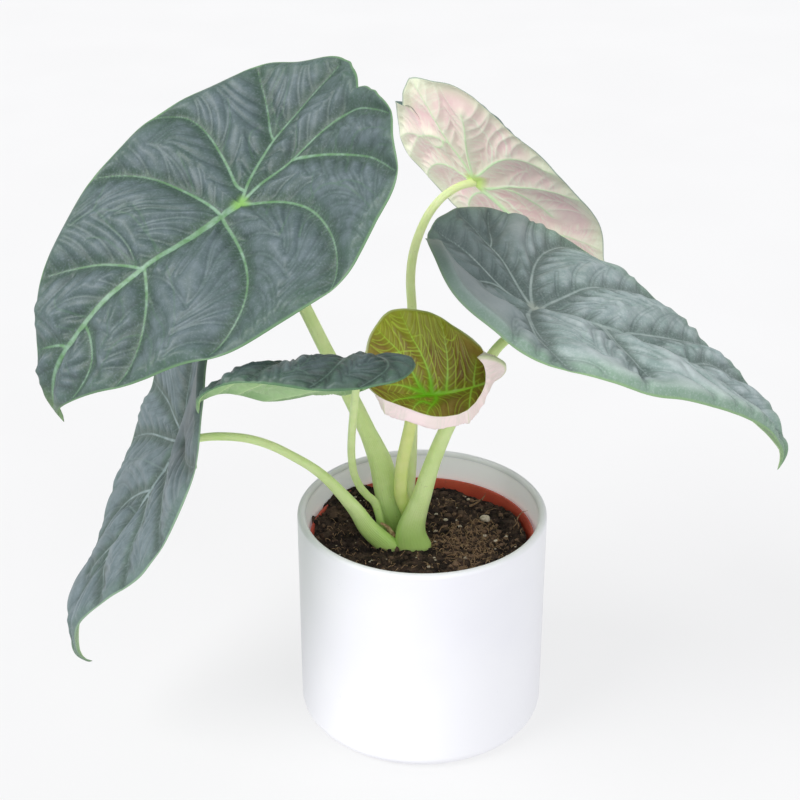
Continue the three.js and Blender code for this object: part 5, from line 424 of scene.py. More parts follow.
class Mat:
    """A small builder of node materials."""

    def __init__(self, name):
        self.m = bpy.data.materials.new(name)
        self.m.use_nodes = True
        self.t = self.m.node_tree
        self.b = self.t.nodes["Principled BSDF"]

    def n(self, kind, **kw):
        x = self.t.nodes.new(kind)
        for k, v in kw.items():
            setattr(x, k, v)
        return x

    def link(self, a, b):
        self.t.links.new(a, b)

    def attr(self, name):
        x = self.n("ShaderNodeAttribute", attribute_name=name)
        return x.outputs["Fac"]

    def vec(self, name):
        x = self.n("ShaderNodeAttribute", attribute_name=name)
        return x.outputs["Vector"]

    def math(self, op, a, b=None, c=None, clamp=False):
        x = self.n("ShaderNodeMath", operation=op, use_clamp=clamp)
        for i, v in enumerate((a, b, c)):
            if v is None:
                continue
            if isinstance(v, (int, float)):
                x.inputs[i].default_value = v
            else:
                self.link(v, x.inputs[i])
        return x.outputs[0]

    def ramp(self, v, a, b, lo=0.0, hi=1.0):
        x = self.n("ShaderNodeMapRange", interpolation_type="SMOOTHSTEP")
        self.link(v, x.inputs["Value"])
        x.inputs["From Min"].default_value = a
        x.inputs["From Max"].default_value = b
        x.inputs["To Min"].default_value = lo
        x.inputs["To Max"].default_value = hi
        return x.outputs["Result"]

    def mix(self, f, a, b):
        x = self.n("ShaderNodeMix", data_type="RGBA")
        if isinstance(f, (int, float)):
            x.inputs[0].default_value = f
        else:
            self.link(f, x.inputs[0])
        for s, v in ((6, a), (7, b)):
            if isinstance(v, tuple):
                x.inputs[s].default_value = v
            else:
                self.link(v, x.inputs[s])
        return x.outputs[2]

    def noise(self, scale, detail=3.0, rough=0.55, vec=None, dist=0.0, out="Fac"):
        x = self.n("ShaderNodeTexNoise")
        x.inputs["Scale"].default_value = scale
        x.inputs["Detail"].default_value = detail
        x.inputs["Roughness"].default_value = rough
        x.inputs["Distortion"].default_value = dist
        if vec is not None:
            self.link(vec, x.inputs["Vector"])
        return x.outputs[out]

    def pos(self):
        x = self.n("ShaderNodeTexCoord")
        return x.outputs["Object"]

    def color(self, v):
        if isinstance(v, tuple):
            self.b.inputs["Base Color"].default_value = v
        else:
            self.link(v, self.b.inputs["Base Color"])

    def rough(self, v):
        if isinstance(v, (int, float)):
            self.b.inputs["Roughness"].default_value = v
        else:
            self.link(v, self.b.inputs["Roughness"])

    def set(self, **kw):
        for k, v in kw.items():
            self.b.inputs[k.replace("_", " ")].default_value = v

    def bump(self, h, dist=0.0005, strength=1.0):
        x = self.n("ShaderNodeBump")
        x.inputs["Distance"].default_value = dist
        x.inputs["Strength"].default_value = strength
        self.link(h, x.inputs["Height"])
        self.link(x.outputs["Normal"], self.b.inputs["Normal"])


# ------------------------------------------------------------------ camera, light, floor
scene = bpy.context.scene
cam_data = bpy.data.cameras.new("camera")
cam_data.sensor_width = 36.0
cam_data.lens = 76.5
cam_data.clip_start, cam_data.clip_end = 0.01, 100.0
cam = bpy.data.objects.new("camera", cam_data)
cam.location = (-0.0124, -0.820974, 0.617680)
cam.rotation_euler = (math.radians(62.83), 0, 0)
scene.collection.objects.link(cam)
scene.camera = cam
scene.view_settings.view_transform = "Standard"
scene.view_settings.look = "None"
scene.view_settings.exposure = 0.0

world = bpy.data.worlds.new("studio")
scene.world = world
world.use_nodes = True
bg = world.node_tree.nodes["Background"]
bg.inputs["Color"].default_value = (0.965, 0.972, 1.0, 1.0)
bg.inputs["Strength"].default_value = 0.54


def sun(name, toward, power, angle, color=(1, 1, 1)):
    d = bpy.data.lights.new(name, "SUN")
    d.energy = power
    d.angle = math.radians(angle)
    d.color = color
    o = bpy.data.objects.new(name, d)
    o.rotation_euler = Vector(toward).to_track_quat("Z", "Y").to_euler()
    o.location = Vector(toward) * 2.0
    scene.collection.objects.link(o)
    return o


sun("key_light", (-0.72, -0.34, 0.8), 2.6, 34.0, (1.0, 0.992, 0.975))
sun("fill_light", (0.5, -0.9, 0.72), 1.2, 60.0, (0.97, 0.98, 1.0))


def make_floor():
    m = Mat("floor_pale")
    n1 = m.noise(6.0, 2.0, 0.5, m.pos())
    m.color(m.mix(m.ramp(n1, 0.3, 0.7), lin(113, 113, 114), lin(116, 116, 117)))
    m.rough(0.8)
    m.set(Specular_IOR_Level=0.0, Emission_Strength=0.725)
    m.b.inputs["Emission Color"].default_value = (1.0, 1.0, 1.005, 1.0)
    bpy.ops.mesh.primitive_circle_add(vertices=96, radius=14.0, fill_type="NGON", location=(0, 0, -0.0002))
    o = bpy.context.object
    o.name = "floor"
    o.data.materials.append(m.m)


make_floor()


# ------------------------------------------------------------------ blade surface
def bend_at(u, q):
    uf = np.maximum(u, 0)
    ur = np.maximum(-u, 0)
    hk = np.maximum(u - 0.9, 0) / 0.1
    th = q["a1"] * uf + q["a2"] * uf**3 - (q["b1"] * ur + q["b2"] * ur**2) + q.get("ah", 0) * hk**1.5
    be = q["g1"] * uf + q["g2"] * uf**2 - q["h1"] * ur + q.get("gh", 0) * hk**1.5
    return th, be, q["t1"] * u + q["t2"] * u**2


def blade_point(u, v, L):
    """The blade's middle surface and its face direction at (u, v)."""
    q, La = L["q"], L["La"]
    T0, B0, N0 = (np.array(r) for r in L["R"])
    uu = np.linspace(-0.9, 1.25, 432)
    th, be, tw = bend_at(uu, q)
    ct, st, cb, sb = np.cos(th), np.sin(th), np.cos(be), np.sin(be)
    T = (ct * cb)[:, None] * T0 + (ct * sb)[:, None] * B0 - st[:, None] * N0
    mid = 0.5 * (T[1:] + T[:-1]) * (uu[1] - uu[0])
    M = np.concatenate([[np.zeros(3)], np.cumsum(mid, 0)], 0)
    M = M - np.array([np.interp(0, uu, M[:, k]) for k in range(3)])
    Mu = np.stack([np.interp(u, uu, M[:, k]) for k in range(3)], -1)
    th, be, tw = bend_at(u, q)
    ct, st, cb, sb = np.cos(th), np.sin(th), np.cos(be), np.sin(be)
    Tp = cb[..., None] * T0 + sb[..., None] * B0
    Bp = -sb[..., None] * T0 + cb[..., None] * B0
    N = st[..., None] * Tp + ct[..., None] * N0
    ctw, stw = np.cos(tw)[..., None], np.sin(tw)[..., None]
    B2 = ctw * Bp + stw * N
    N2 = -stw * Bp + ctw * N
    s = np.where(v >= 0, 1.0, -1.0)
    w = np.abs(v)
    p = np.where(v >= 0, q["pR"] + q["qR"] * u, q["pL"] + q["qL"] * u)
    c = np.where(v >= 0, q["cR"] + q["rR"] * u, q["cL"] + q["rL"] * u)
    c = np.where(np.abs(c) < 1e-4, 1e-4, c)
    ph = p + c * w
    lat = (np.sin(ph) - np.sin(p)) / c
    up = (np.cos(p) - np.cos(ph)) / c
    P = np.array(L["P0"]) + La * (Mu + (s * lat)[..., None] * B2 + up[..., None] * N2)
    nn = (-s * np.sin(ph))[..., None] * B2 + np.cos(ph)[..., None] * N2
    return P, nn


def spline(P, n):
    """n+1 points on a Catmull-Rom curve through P, evenly spaced in its parameter."""
    P = np.asarray(P, float)
    k = len(P) - 1
    t = np.linspace(0, k, n + 1)
    i = np.minimum(t.astype(int), k - 1)
    f = (t - i)[:, None]
    p1, p2 = P[i], P[i + 1]
    p0 = np.where((i > 0)[:, None], P[np.maximum(i - 1, 0)], 2 * p1 - p2)
    p3 = np.where((i + 2 <= k)[:, None], P[np.minimum(i + 2, k)], 2 * p2 - p1)
    return 0.5 * (2 * p1 + (p2 - p0) * f + (2 * p0 - 5 * p1 + 4 * p2 - p3) * f**2 + (3 * p1 - p0 - 3 * p2 + p3) * f**3)


def resample(P, step):
    P = np.asarray(P, float)
    d = np.r_[0, np.cumsum(np.hypot(*np.diff(P, axis=0).T))]
    n = max(2, int(round(d[-1] / step)) + 1)
    s = np.linspace(0, d[-1], n)
    return np.stack([np.interp(s, d, P[:, k]) for k in range(2)], -1)


def relax(P, times=6):
    P = P.copy()
    for _ in range(times):
        P[1:-1] = 0.25 * P[:-2] + 0.5 * P[1:-1] + 0.25 * P[2:]
    return P


def kd_of(points):
    t = kdtree.KDTree(len(points))
    for i, p in enumerate(points):
        t.insert((p[0], p[1], 0.0), i)
    t.balance()
    return t


class Veins:
    """The vein network of one leaf, in units of La."""

    def __init__(self, key, L, spec):
        self.L, self.La = L, L["La"]
        st = np.array(L["st"])
        self.ang = np.arctan2(st[:, 1], st[:, 0])
        self.rad = np.hypot(st[:, 0], st[:, 1])
        o = np.argsort(self.ang)
        self.ang, self.rad = self.ang[o], self.rad[o]
        size = self.La / 157.0
        src = VEIN[spec["veins"]]
        flip = spec.get("flip", 1.0)
        f = np.array([1.0, flip])
        mid = relax(resample(np.array(src["mid"]) * f, 0.02), 14)
        if np.hypot(*mid[0]) > 0.01:
            mid = np.vstack([[0, 0], mid[np.hypot(*mid.T) > 0.03]])
        if mid[-1][0] < 0.985:
            k = max(2, int((1 - mid[-1][0]) / 0.04))
            mid = np.vstack([mid, np.stack([np.linspace(mid[-1][0], 0.995, k + 1)[1:], mid[-1][1] * np.linspace(1, 0, k + 1)[1:]], -1)])
        mid = relax(resample(mid, 0.012), 20)
        self.pri = [(mid, 2.1 * size * spec.get("midw", 1.0), 0.36 * size)]
        paths = [np.array(p) * f for p in src["pri"]]
        paths += [np.array(p) for p in spec.get("extra", [])]
        for p in paths:
            p = relax(resample(p, 0.02), 5)
            allp = np.vstack([x[0] for x in self.pri])
            d = np.hypot(*(allp - p[0]).T)
            j = int(d.argmin())
            if d[j] < 0.10:
                p = np.vstack([allp[j], p])
            p = relax(resample(p, 0.012), 12)
            q = self.inside(p[-1])
            if 0.80 < q < 0.99:  # carry on to near the margin
                dirn = p[-1] - p[-4]
                dirn = dirn / np.hypot(*dirn)
                ext = [p[-1]]
                for _ in range(14):
                    e = ext[-1] + dirn * 0.012
                    if self.inside(e) > 0.975:
                        break
                    ext.append(e)
                p = np.vstack([p, ext[1:]]) if len(ext) > 1 else p
            w0 = 0.92 if np.hypot(*p[0]) < 0.2 or abs(p[0][1]) < 0.05 else 0.62
            self.pri.append((p, w0 * size * spec.get("priw", 1.0), 0.26 * size))
        self.sec = []
        for p in src["sec"]:
            p = relax(resample(np.array(p) * f, 0.012), 8)
            if len(p) > 3:
                self.sec.append((p, 0.42 * size, 0.25 * size))
        self.ter = [(p, 0.26 * size, 0.18 * size) for p in self.trace(spec)]
        self.k1 = self.index(self.pri)
        self.k2 = self.index(self.sec) if self.sec else None
        self.k3 = self.index(self.ter) if self.ter else None

    def inside(self, p):
        a = math.atan2(p[1], p[0])
        r = np.interp(a, self.ang, self.rad, period=2 * math.pi)
        return float(np.hypot(p[0], p[1]) / r)

    def index(self, veins):
        P, W, S, I = [], [], [], []
        for i, (p, a, b) in enumerate(veins):
            q = resample(p, 0.004)
            t = np.linspace(0, 1, len(q))
            d = np.r_[0, np.cumsum(np.hypot(*np.diff(q, axis=0).T))] * self.La
            P.append(q)
            W.append(a + (b - a) * t**0.8)
            S.append(d + 37.0 * i)
            I.append(np.full(len(q), i))
        P, W, S, I = np.vstack(P), np.concatenate(W), np.concatenate(S), np.concatenate(I)
        return kd_of(P), P, W, S, I

    def query(self, idx, UV):
        kd, P, W, S, I = idx
        out = np.empty((len(UV), 3))
        f = kd.find
        for k in range(len(UV)):
            _, j, d = f((UV[k, 0], UV[k, 1], 0.0))
            out[k, 0] = d
            out[k, 1] = W[j]
            out[k, 2] = S[j]
        out[:, 0] *= self.La
        return out

    def border(self, UV):
        """How much further the second nearest main vein is than the nearest, in millimetres."""
        first = np.full(len(UV), 9.0)
        second = np.full(len(UV), 9.0)
        for p, a, b in self.pri:
            q = resample(p, 0.02)
            for c in range(0, len(UV), 20000):
                part = UV[c : c + 20000]
                d = np.sqrt(((part[:, None] - q[None]) ** 2).sum(-1)).min(1)
                f, s2 = first[c : c + 20000], second[c : c + 20000]
                second[c : c + 20000] = np.where(d < f, f, np.minimum(s2, d))
                first[c : c + 20000] = np.minimum(f, d)
        return (second - first) * self.La

    def trace(self, spec):
        """Fine veins that leave each main vein and bend over towards its end, meeting halfway to the next."""
        rs = np.random.RandomState(spec.get("seed", 1))
        P, T, I = [], [], []
        for i, (p, a, b) in enumerate(self.pri):
            q = resample(p, 0.008)
            t = np.gradient(q, axis=0)
            t /= np.maximum(np.hypot(*t.T), 1e-9)[:, None]
            P.append(q), T.append(t), I.append(np.full(len(q), i))
        PP, TT, II = np.vstack(P), np.vstack(T), np.concatenate(I)
        kd = kd_of(PP)
        step = 0.010
        out = []
        for i, (p, a, b) in enumerate(self.pri):
            q = resample(p, 0.008)
            n = len(q)
            gap = spec.get("gap", 0.048)
            s = 0.035 + rs.rand() * 0.02
            while s < (n - 3) * 0.008:
                j = int(s / 0.008)
                for side in (1, -1):
                    t = TT[np.where(II == i)[0][0] + min(j, n - 1)]
                    pos = q[j].copy()
                    line = [pos.copy()]
                    a0 = math.radians(62 + rs.randn() * 5)
                    for k in range(60):
                        _, jj, d = kd.find((pos[0], pos[1], 0.0))
                        if II[jj] != i and k > 2:
                            break
                        tt = TT[jj] if II[jj] == i else t
                        an = side * (a0 - math.radians(34) * min(1.0, d / 0.10))
                        c, sn = math.cos(an), math.sin(an)
                        dr = np.array([tt[0] * c - tt[1] * sn, tt[0] * sn + tt[1] * c])
                        pos = pos + dr * step
                        if self.inside(pos) > 0.972:
                            break
                        line.append(pos.copy())
                    if len(line) > 4:
                        out.append(relax(np.array(line), 2))
                s += gap * (0.8 + 0.4 * rs.rand())
        return out


NT_HALF, NR_TOP, NR_LOW = 256, 144, 44
SINK = 0.22  # how far below the blade's middle surface the main veins run, as a share of the quilting


def blade(key, name, node, spec, upper, under):
    L = LEAF[key]
    La = L["La"]
    size = La / 157.0
    st, D3 = np.array(L["st"]), np.array(L["D3"])
    data = np.hstack([st, D3])
    half = len(st) // 2
    Ls = spline(data[: half + 1], NT_HALF)
    Rs = spline(np.vstack([data[half:], data[:1]]), NT_HALF)
    ring = np.vstack([Ls, Rs[1:-1]])
    nt = len(ring)
    V = Veins(key, L, spec)
    thick = spec.get("thick", 0.75)

    def layer(rho, low):
        R = rho[:, None, None]
        UV = R * ring[None, :, :2]
        D = R**2.5 * ring[None, :, 2:]
        u, v = UV[..., 0].ravel(), UV[..., 1].ravel()
        P, N = blade_point(u, v, L)
        P = P + D.reshape(-1, 3)
        if "belly" in spec:
            amp, dx, dy, dz = spec["belly"]
            rr0 = np.repeat(rho, nt)
            wgt = smooth01(rr0, 0.35, 0.82) * (1 - smooth01(rr0, 0.86, 1.0)) * smooth01(-v, 0.03, 0.22)
            P = P + (amp * wgt)[:, None] * np.array([dx, dy, dz])
        uv = np.stack([u, v], -1)
        q1 = V.query(V.k1, uv)
        q2 = V.query(V.k2, uv) if V.k2 else np.tile([99.0, 0.3, 0.0], (len(uv), 1))
        q3 = V.query(V.k3, uv) if V.k3 else np.tile([99.0, 0.3, 0.0], (len(uv), 1))
        rr = np.repeat(rho, nt)
        edge = (1 - rr) * np.tile(np.hypot(ring[:, 0], ring[:, 1]), len(rho)) * La
        d1, w1, s1 = q1.T
        d2, w2, s2 = q2.T
        d3, w3, s3 = q3.T
        f_edge = smooth01(edge, -1.5 * size, 6.0 * size)
        f_core = smooth01(rr, 0.0, 0.07)
        g1 = 1 - np.exp(-((np.maximum(d1 - 0.3 * w1, 0) / (spec.get("vale", 10.5) * size)) ** 1.2))
        g2 = 1 - np.exp(-((d2 / (2.8 * size)) ** 1.4))
        g3 = 1 - np.exp(-((d3 / (3.0 * size)) ** 1.4))
        A1, A2, A3 = spec["quilt"]
        near = smooth01(d1, 0.5 * size, 5.0 * size)
        h = A1 * (g1 - SINK) + (A2 * (g2 - 0.85) + A3 * (g3 - 0.6)) * near * f_core
        h = h * np.where(rr < 0.4, 1.0, f_edge)
        nz = np.array([noise.noise((a * 7.0 + spec["seed"] * 3.1, b * 7.0, 0.3)) for a, b in uv]) * spec.get("wob", 0.9) * size
        h = h + nz * f_core * smooth01(edge, 0, 12 * size)
        if low:
            rib = spec.get("rib", 1.0) * size
            t = thick * 0.5 * np.minimum(1, 0.35 + edge / 3.0)
            t = t + f_edge * (rib * 1.25 * np.exp(-((d1 / (1.15 * w1 + 0.25)) ** 2)) * np.clip(w1 / (1.0 * size), 0.35, 1.6)
                              + 0.30 * rib * np.exp(-((d2 / (0.9 * size)) ** 2)) + 0.12 * rib * np.exp(-((d3 / (0.8 * size)) ** 2)))
            X = P + N * (h - t)[:, None]
        else:
            t = thick * 0.5 * np.minimum(1, 0.35 + edge / 3.0)
            ridge = 0.35 * size * np.exp(-((d1 / np.maximum(w1, 0.5)) ** 2)) * f_edge
            X = P + N * (h + t + ridge)[:, None]
        att = dict(vd1=d1 - w1, vd2=d2 - w2, vd3=d3 - w3, vs1=s1, vs2=s2, edge=edge,
                   luv=np.stack([u, v, np.zeros_like(u)], -1), h=h / max(A1, 0.1), bord=V.border(uv))
        return X, att

    rt = np.linspace(0, 1, NR_TOP + 1)
    rt = np.r_[0, (rt[1:] ** 0.92)]
    rb = np.linspace(0, 1, NR_LOW + 1)
    top, ta = layer(rt[1:], False)
    low, la = layer(rb[1:], True)
    P0, N0 = blade_point(np.zeros(1), np.zeros(1), L)
    # middle ring of the rounded edge
    o_t, o_l = top[-nt:], low[-nt:]
    inner = top[-2 * nt : -nt]
    outd = o_t - inner
    outd /= np.maximum(np.linalg.norm(outd, axis=1), 1e-9)[:, None]
    edge_ring = (o_t + o_l) / 2 + outd * thick * 0.12
    verts = np.vstack([top, low, edge_ring, top[:nt].mean(0)[None], low[:nt].mean(0)[None]])
    nT, nL = len(top), len(low)
    e0 = nT + nL
    pole_t, pole_l = e0 + nt, e0 + nt + 1
    att = {}
    for k in ta:
        pole = (ta[k][:nt].mean(0)[None], la[k][:nt].mean(0)[None])
        att[k] = np.concatenate([ta[k], la[k], la[k][-nt:], pole[0], pole[1]], 0)
    j = np.arange(nt)
    jn = (j + 1) % nt
    faces, mi = [], []

    def grid(base, rows, flip, m):
        r = np.arange(rows - 1)[:, None] * nt
        a, b = base + r + j, base + r + jn
        c, d = base + r + nt + jn, base + r + nt + j
        q = np.stack([a, b, c, d] if not flip else [d, c, b, a], -1).reshape(-1, 4)
        faces.extend(q.tolist())
        mi.extend([m] * len(q))

    # which way is up: the first quad's normal against the face direction
    a, b, d = top[0], top[1], top[nt]
    up = np.dot(np.cross(b - a, d - a), N0[0]) > 0
    grid(0, NR_TOP, not up, 0)
    grid(nT, NR_LOW, up, 1)
    for (x, y, m) in ((nT - nt, e0, 0), (e0, nT + nL - nt, 1)):
        q = np.stack([x + j, x + jn, y + jn, y + j], -1)
        if not up:
            q = q[:, ::-1]
        faces.extend(q.tolist())
        mi.extend([m] * nt)
    for (base, pole, m, fl) in ((0, pole_t, 0, not up), (nT, pole_l, 1, up)):
        q = np.stack([base + jn, base + j, np.full(nt, pole)], -1)
        if fl:
            q = q[:, ::-1]
        faces.extend(q.tolist())
        mi.extend([m] * nt)
    ob = make_mesh(name, verts, faces, [upper, under], mi, att)
    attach(ob, "root")
    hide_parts(node)
    return ob


# ------------------------------------------------------------------ leaf materials
def leaf_upper(name, c):
    """Blade face: quilted panels, light veins with pale feathering, thin margin."""
    m = Mat(name)
    pos = m.pos()
    luv = m.vec("luv")
    vd1, vd2, vd3 = m.attr("vd1"), m.attr("vd2"), m.attr("vd3")
    vs1, edge, h, bord = m.attr("vs1"), m.attr("edge"), m.attr("h"), m.attr("bord")
    inner = m.ramp(bord, 0.0, 5.0)
    big = m.noise(26.0, 3.0, 0.55, pos)
    fine = m.noise(900.0, 3.0, 0.6, pos)
    midn = m.noise(150.0, 3.0, 0.6, pos)
    col = m.mix(m.ramp(big, 0.32, 0.68), c["panel"], c["panel2"])
    col = m.mix(m.math("MULTIPLY", m.ramp(midn, 0.35, 0.75), 0.35), col, c["pale"])
    # green near the veins and towards the margin
    g = m.math("MULTIPLY", m.ramp(vd1, 6.0, 0.0), c.get("green_vein", 0.75))
    col = m.mix(g, col, c["green"])
    col = m.mix(m.math("MULTIPLY", m.ramp(edge, c.get("green_w", 14.0), 0.0), c.get("green_edge", 0.45)), col, c["green"])
    # painted shade: the low ground between the veins goes dark green (low strength); painted sheen: the crowns go
    # silvery
    col = m.mix(m.math("MULTIPLY", m.ramp(h, 0.30, -0.15), c.get("low", 0.72)), col, c["dark"])
    col = m.mix(m.math("MULTIPLY", m.ramp(h, 0.45, 0.95), c.get("crown", 0.42)), col, c["pale"])
    # frosted grain
    col = m.mix(m.math("MULTIPLY", m.ramp(fine, 0.48, 0.70), c.get("grain", 0.2)), col, c["pale"])
    # fine strokes that run out from the veins
    cv = m.n("ShaderNodeCombineXYZ")
    m.link(m.math("MULTIPLY", vs1, 0.85), cv.inputs[0])
    m.link(m.math("MULTIPLY", vd1, 0.13), cv.inputs[1])
    st = m.noise(1.0, 2.0, 0.6, cv.outputs[0], 0.3)
    cv2 = m.n("ShaderNodeCombineXYZ")
    m.link(m.math("MULTIPLY", vs1, 1.6), cv2.inputs[0])
    m.link(m.math("MULTIPLY", vd1, 0.30), cv2.inputs[1])
    st2 = m.math("MULTIPLY", m.ramp(m.noise(1.0, 2.0, 0.6, cv2.outputs[0], 0.5), 0.36, 0.62), inner)
    feather = m.math("MULTIPLY", m.ramp(st, 0.47, 0.64), m.math("MULTIPLY", m.ramp(vd1, c.get("feather_w", 3.8), 0.0), m.ramp(m.noise(38.0, 2.0, 0.5, pos), 0.38, 0.62)))
    feather = m.math("MULTIPLY", feather, inner)
    col = m.mix(m.math("MULTIPLY", feather, c.get("feather", 0.2)), col, c["vein_pale"])
    col = m.mix(m.math("MULTIPLY", st2, c.get("stria", 0.06)), col, c["pale"])
    # lesser veins
    t3 = m.math("MULTIPLY", m.ramp(vd3, 0.55, -0.1), c.get("v3", 0.25))
    col = m.mix(t3, col, c["vein2"])
    # painted shade in the grooves along the lesser veins
    groove_shade = m.math("MULTIPLY", m.math("MULTIPLY", m.ramp(vd3, 1.9, 0.5), m.ramp(vd3, 0.2, 0.7)), c.get("d3", 0.15))
    col = m.mix(groove_shade, col, c["dark"])
    t2 = m.math("MULTIPLY", m.ramp(vd2, 0.6, -0.15), c.get("v2", 0.55))
    col = m.mix(t2, col, c["vein2"])
    # main veins
    t1 = m.ramp(vd1, 0.42, -0.45)
    vcol = m.mix(m.ramp(midn, 0.35, 0.7), c["vein"], c["vein_pale"])
    col = m.mix(m.math("MULTIPLY", t1, c.get("v1", 0.95)), col, vcol)
    # join with the petiole, brighter green
    ln = m.n("ShaderNodeVectorMath", operation="LENGTH")
    m.link(luv, ln.inputs[0])
    j = m.ramp(ln.outputs["Value"], c.get("join_r", 0.055), 0.008)
    col = m.mix(m.math("MULTIPLY", j, m.ramp(vd1, 2.4, -0.6)), col, c["join"])
    # margin line, and the tip
    col = m.mix(m.math("MULTIPLY", m.ramp(edge, 1.3, 0.2), c.get("margin_f", 0.8)), col, c["margin"])
    sep = m.n("ShaderNodeSeparateXYZ")
    m.link(luv, sep.inputs[0])
    tip = m.ramp(sep.outputs["X"], c.get("tip_from", 0.86), 1.0)
    col = m.mix(m.math("MULTIPLY", tip, c.get("tip_f", 0.6)), col, c["tip"])
    if "rear" in c:  # behind the petiole's joint the blade is darker
        cc, f = c["rear"]
        col = m.mix(m.math("MULTIPLY", m.ramp(sep.outputs["X"], 0.12, -0.25), m.math("MULTIPLY", m.ramp(vd1, -0.4, 0.5), f)), col, cc)
    if "side" in c:  # one flank goes another colour, as where light comes through it
        a, b, cc, f = c["side"]
        s = m.ramp(m.math("ADD", sep.outputs["Y"], m.math("MULTIPLY", m.math("SUBTRACT", big, 0.5), 0.3)), a, b)
        s = m.math("MULTIPLY", s, m.ramp(vd1, -0.4, 0.5))
        col = m.mix(m.math("MULTIPLY", s, f), col, cc)
    m.color(col)
    r = m.math("ADD", m.math("MULTIPLY", fine, 0.18), c.get("rough", 0.52) - 0.09)
    m.rough(r)
    m.set(Specular_IOR_Level=c.get("spec", 0.5), Sheen_Weight=c.get("sheen", 0.05), Sheen_Roughness=0.45)
    m.b.inputs["Sheen Tint"].default_value = (0.85, 0.92, 1.0, 1.0)
    hgt = m.math("ADD", m.math("MULTIPLY", fine, c.get("grain_b", 0.4)), m.math("MULTIPLY", st2, c.get("stria_b", 0.12)))
    hgt = m.math("ADD", hgt, m.math("MULTIPLY", feather, 0.35))
    hgt = m.math("ADD", hgt, m.math("MULTIPLY", m.ramp(vd3, 0.0, 1.5), 0.5))
    hgt = m.math("ADD", hgt, m.math("MULTIPLY", m.ramp(vd2, 0.0, 1.6), 0.5))
    m.bump(hgt, 0.0004, c.get("bump", 0.26))
    return m.m


def leaf_under(name, c):
    """Blade back: paler, the veins standing out."""
    m = Mat(name)
    pos = m.pos()
    luv = m.vec("luv")
    vd1, vd2, vd3 = m.attr("vd1"), m.attr("vd2"), m.attr("vd3")
    vs1, edge, inner = m.attr("vs1"), m.attr("edge"), m.ramp(m.attr("bord"), 0.0, 4.0)
    big = m.noise(30.0, 3.0, 0.6, pos)
    fine = m.noise(700.0, 3.0, 0.6, pos)
    midn = m.noise(120.0, 3.0, 0.6, pos)
    col = m.mix(m.ramp(big, 0.35, 0.65), c["panel"], c["panel2"])
    col = m.mix(m.math("MULTIPLY", m.ramp(midn, 0.4, 0.75), 0.4), col, c["pale"])
    col = m.mix(m.math("MULTIPLY", m.ramp(vd1, 5.5, 0.3), c.get("halo", 0.6)), col, c["halo_c"])
    col = m.mix(m.math("MULTIPLY", m.ramp(edge, c.get("edge_w", 9.0), 0.5), c.get("edge_f", 0.6)), col, c["edge_c"])
    cv = m.n("ShaderNodeCombineXYZ")
    m.link(m.math("MULTIPLY", vs1, 0.45), cv.inputs[0])
    m.link(m.math("MULTIPLY", vd1, 0.09), cv.inputs[1])
    st = m.math("MULTIPLY", m.ramp(m.noise(1.0, 2.0, 0.6, cv.outputs[0], 0.4), 0.45, 0.62), inner)
    col = m.mix(m.math("MULTIPLY", st, c.get("stria", 0.25)), col, c["vein2"])
    col = m.mix(m.math("MULTIPLY", m.ramp(vd3, 0.7, -0.1), c.get("v3", 0.4)), col, c["vein2"])
    col = m.mix(m.math("MULTIPLY", m.ramp(vd2, 0.8, -0.1), c.get("v2", 0.6)), col, c["vein2"])
    col = m.mix(m.math("MULTIPLY", m.ramp(vd1, 0.7, -0.3), c.get("v1", 0.95)), col, c["vein"])
    ln = m.n("ShaderNodeVectorMath", operation="LENGTH")
    m.link(luv, ln.inputs[0])
    col = m.mix(m.ramp(ln.outputs["Value"], c.get("join_r", 0.075), 0.02), col, c["join"])
    col = m.mix(m.math("MULTIPLY", m.ramp(edge, 1.0, 0.2), c.get("rim_f", 0.0)), col, c.get("rim", c["edge_c"]))
    m.color(col)
    m.rough(m.math("ADD", m.math("MULTIPLY", fine, 0.15), 0.48))
    m.set(Specular_IOR_Level=0.4, Sheen_Weight=0.08, Sheen_Roughness=0.5)
    if "glow" in c:  # light that comes through the blade
        m.b.inputs["Emission Color"].default_value = c["glow_c"]
        m.set(Emission_Strength=c["glow"])
    hgt = m.math("ADD", m.math("MULTIPLY", fine, 0.3), m.math("MULTIPLY", m.ramp(vd3, 1.2, 0.0), 0.5))
    m.bump(hgt, 0.0004, 0.7)
    return m.m


UP_COMMON = dict(
    panel=lin(63, 85, 77), panel2=lin(75, 92, 94), pale=lin(120, 132, 142), green=lin(60, 92, 66), dark=lin(34, 54, 46),
    vein=lin(86, 128, 84), vein_pale=lin(128, 160, 138), vein2=lin(78, 112, 84), join=lin(140, 190, 70),
    margin=lin(104, 142, 98), tip=lin(120, 150, 96))
UN_COMMON = dict(
    panel=lin(132, 160, 126), panel2=lin(146, 170, 136), pale=lin(160, 182, 156), halo_c=lin(156, 190, 136), edge_c=lin(120, 152, 108),
    vein=lin(190, 216, 160), vein2=lin(168, 196, 146), join=lin(176, 206, 110))


def c_up(**k):
    return {**UP_COMMON, **k}


def c_un(**k):
    return {**UN_COMMON, **k}


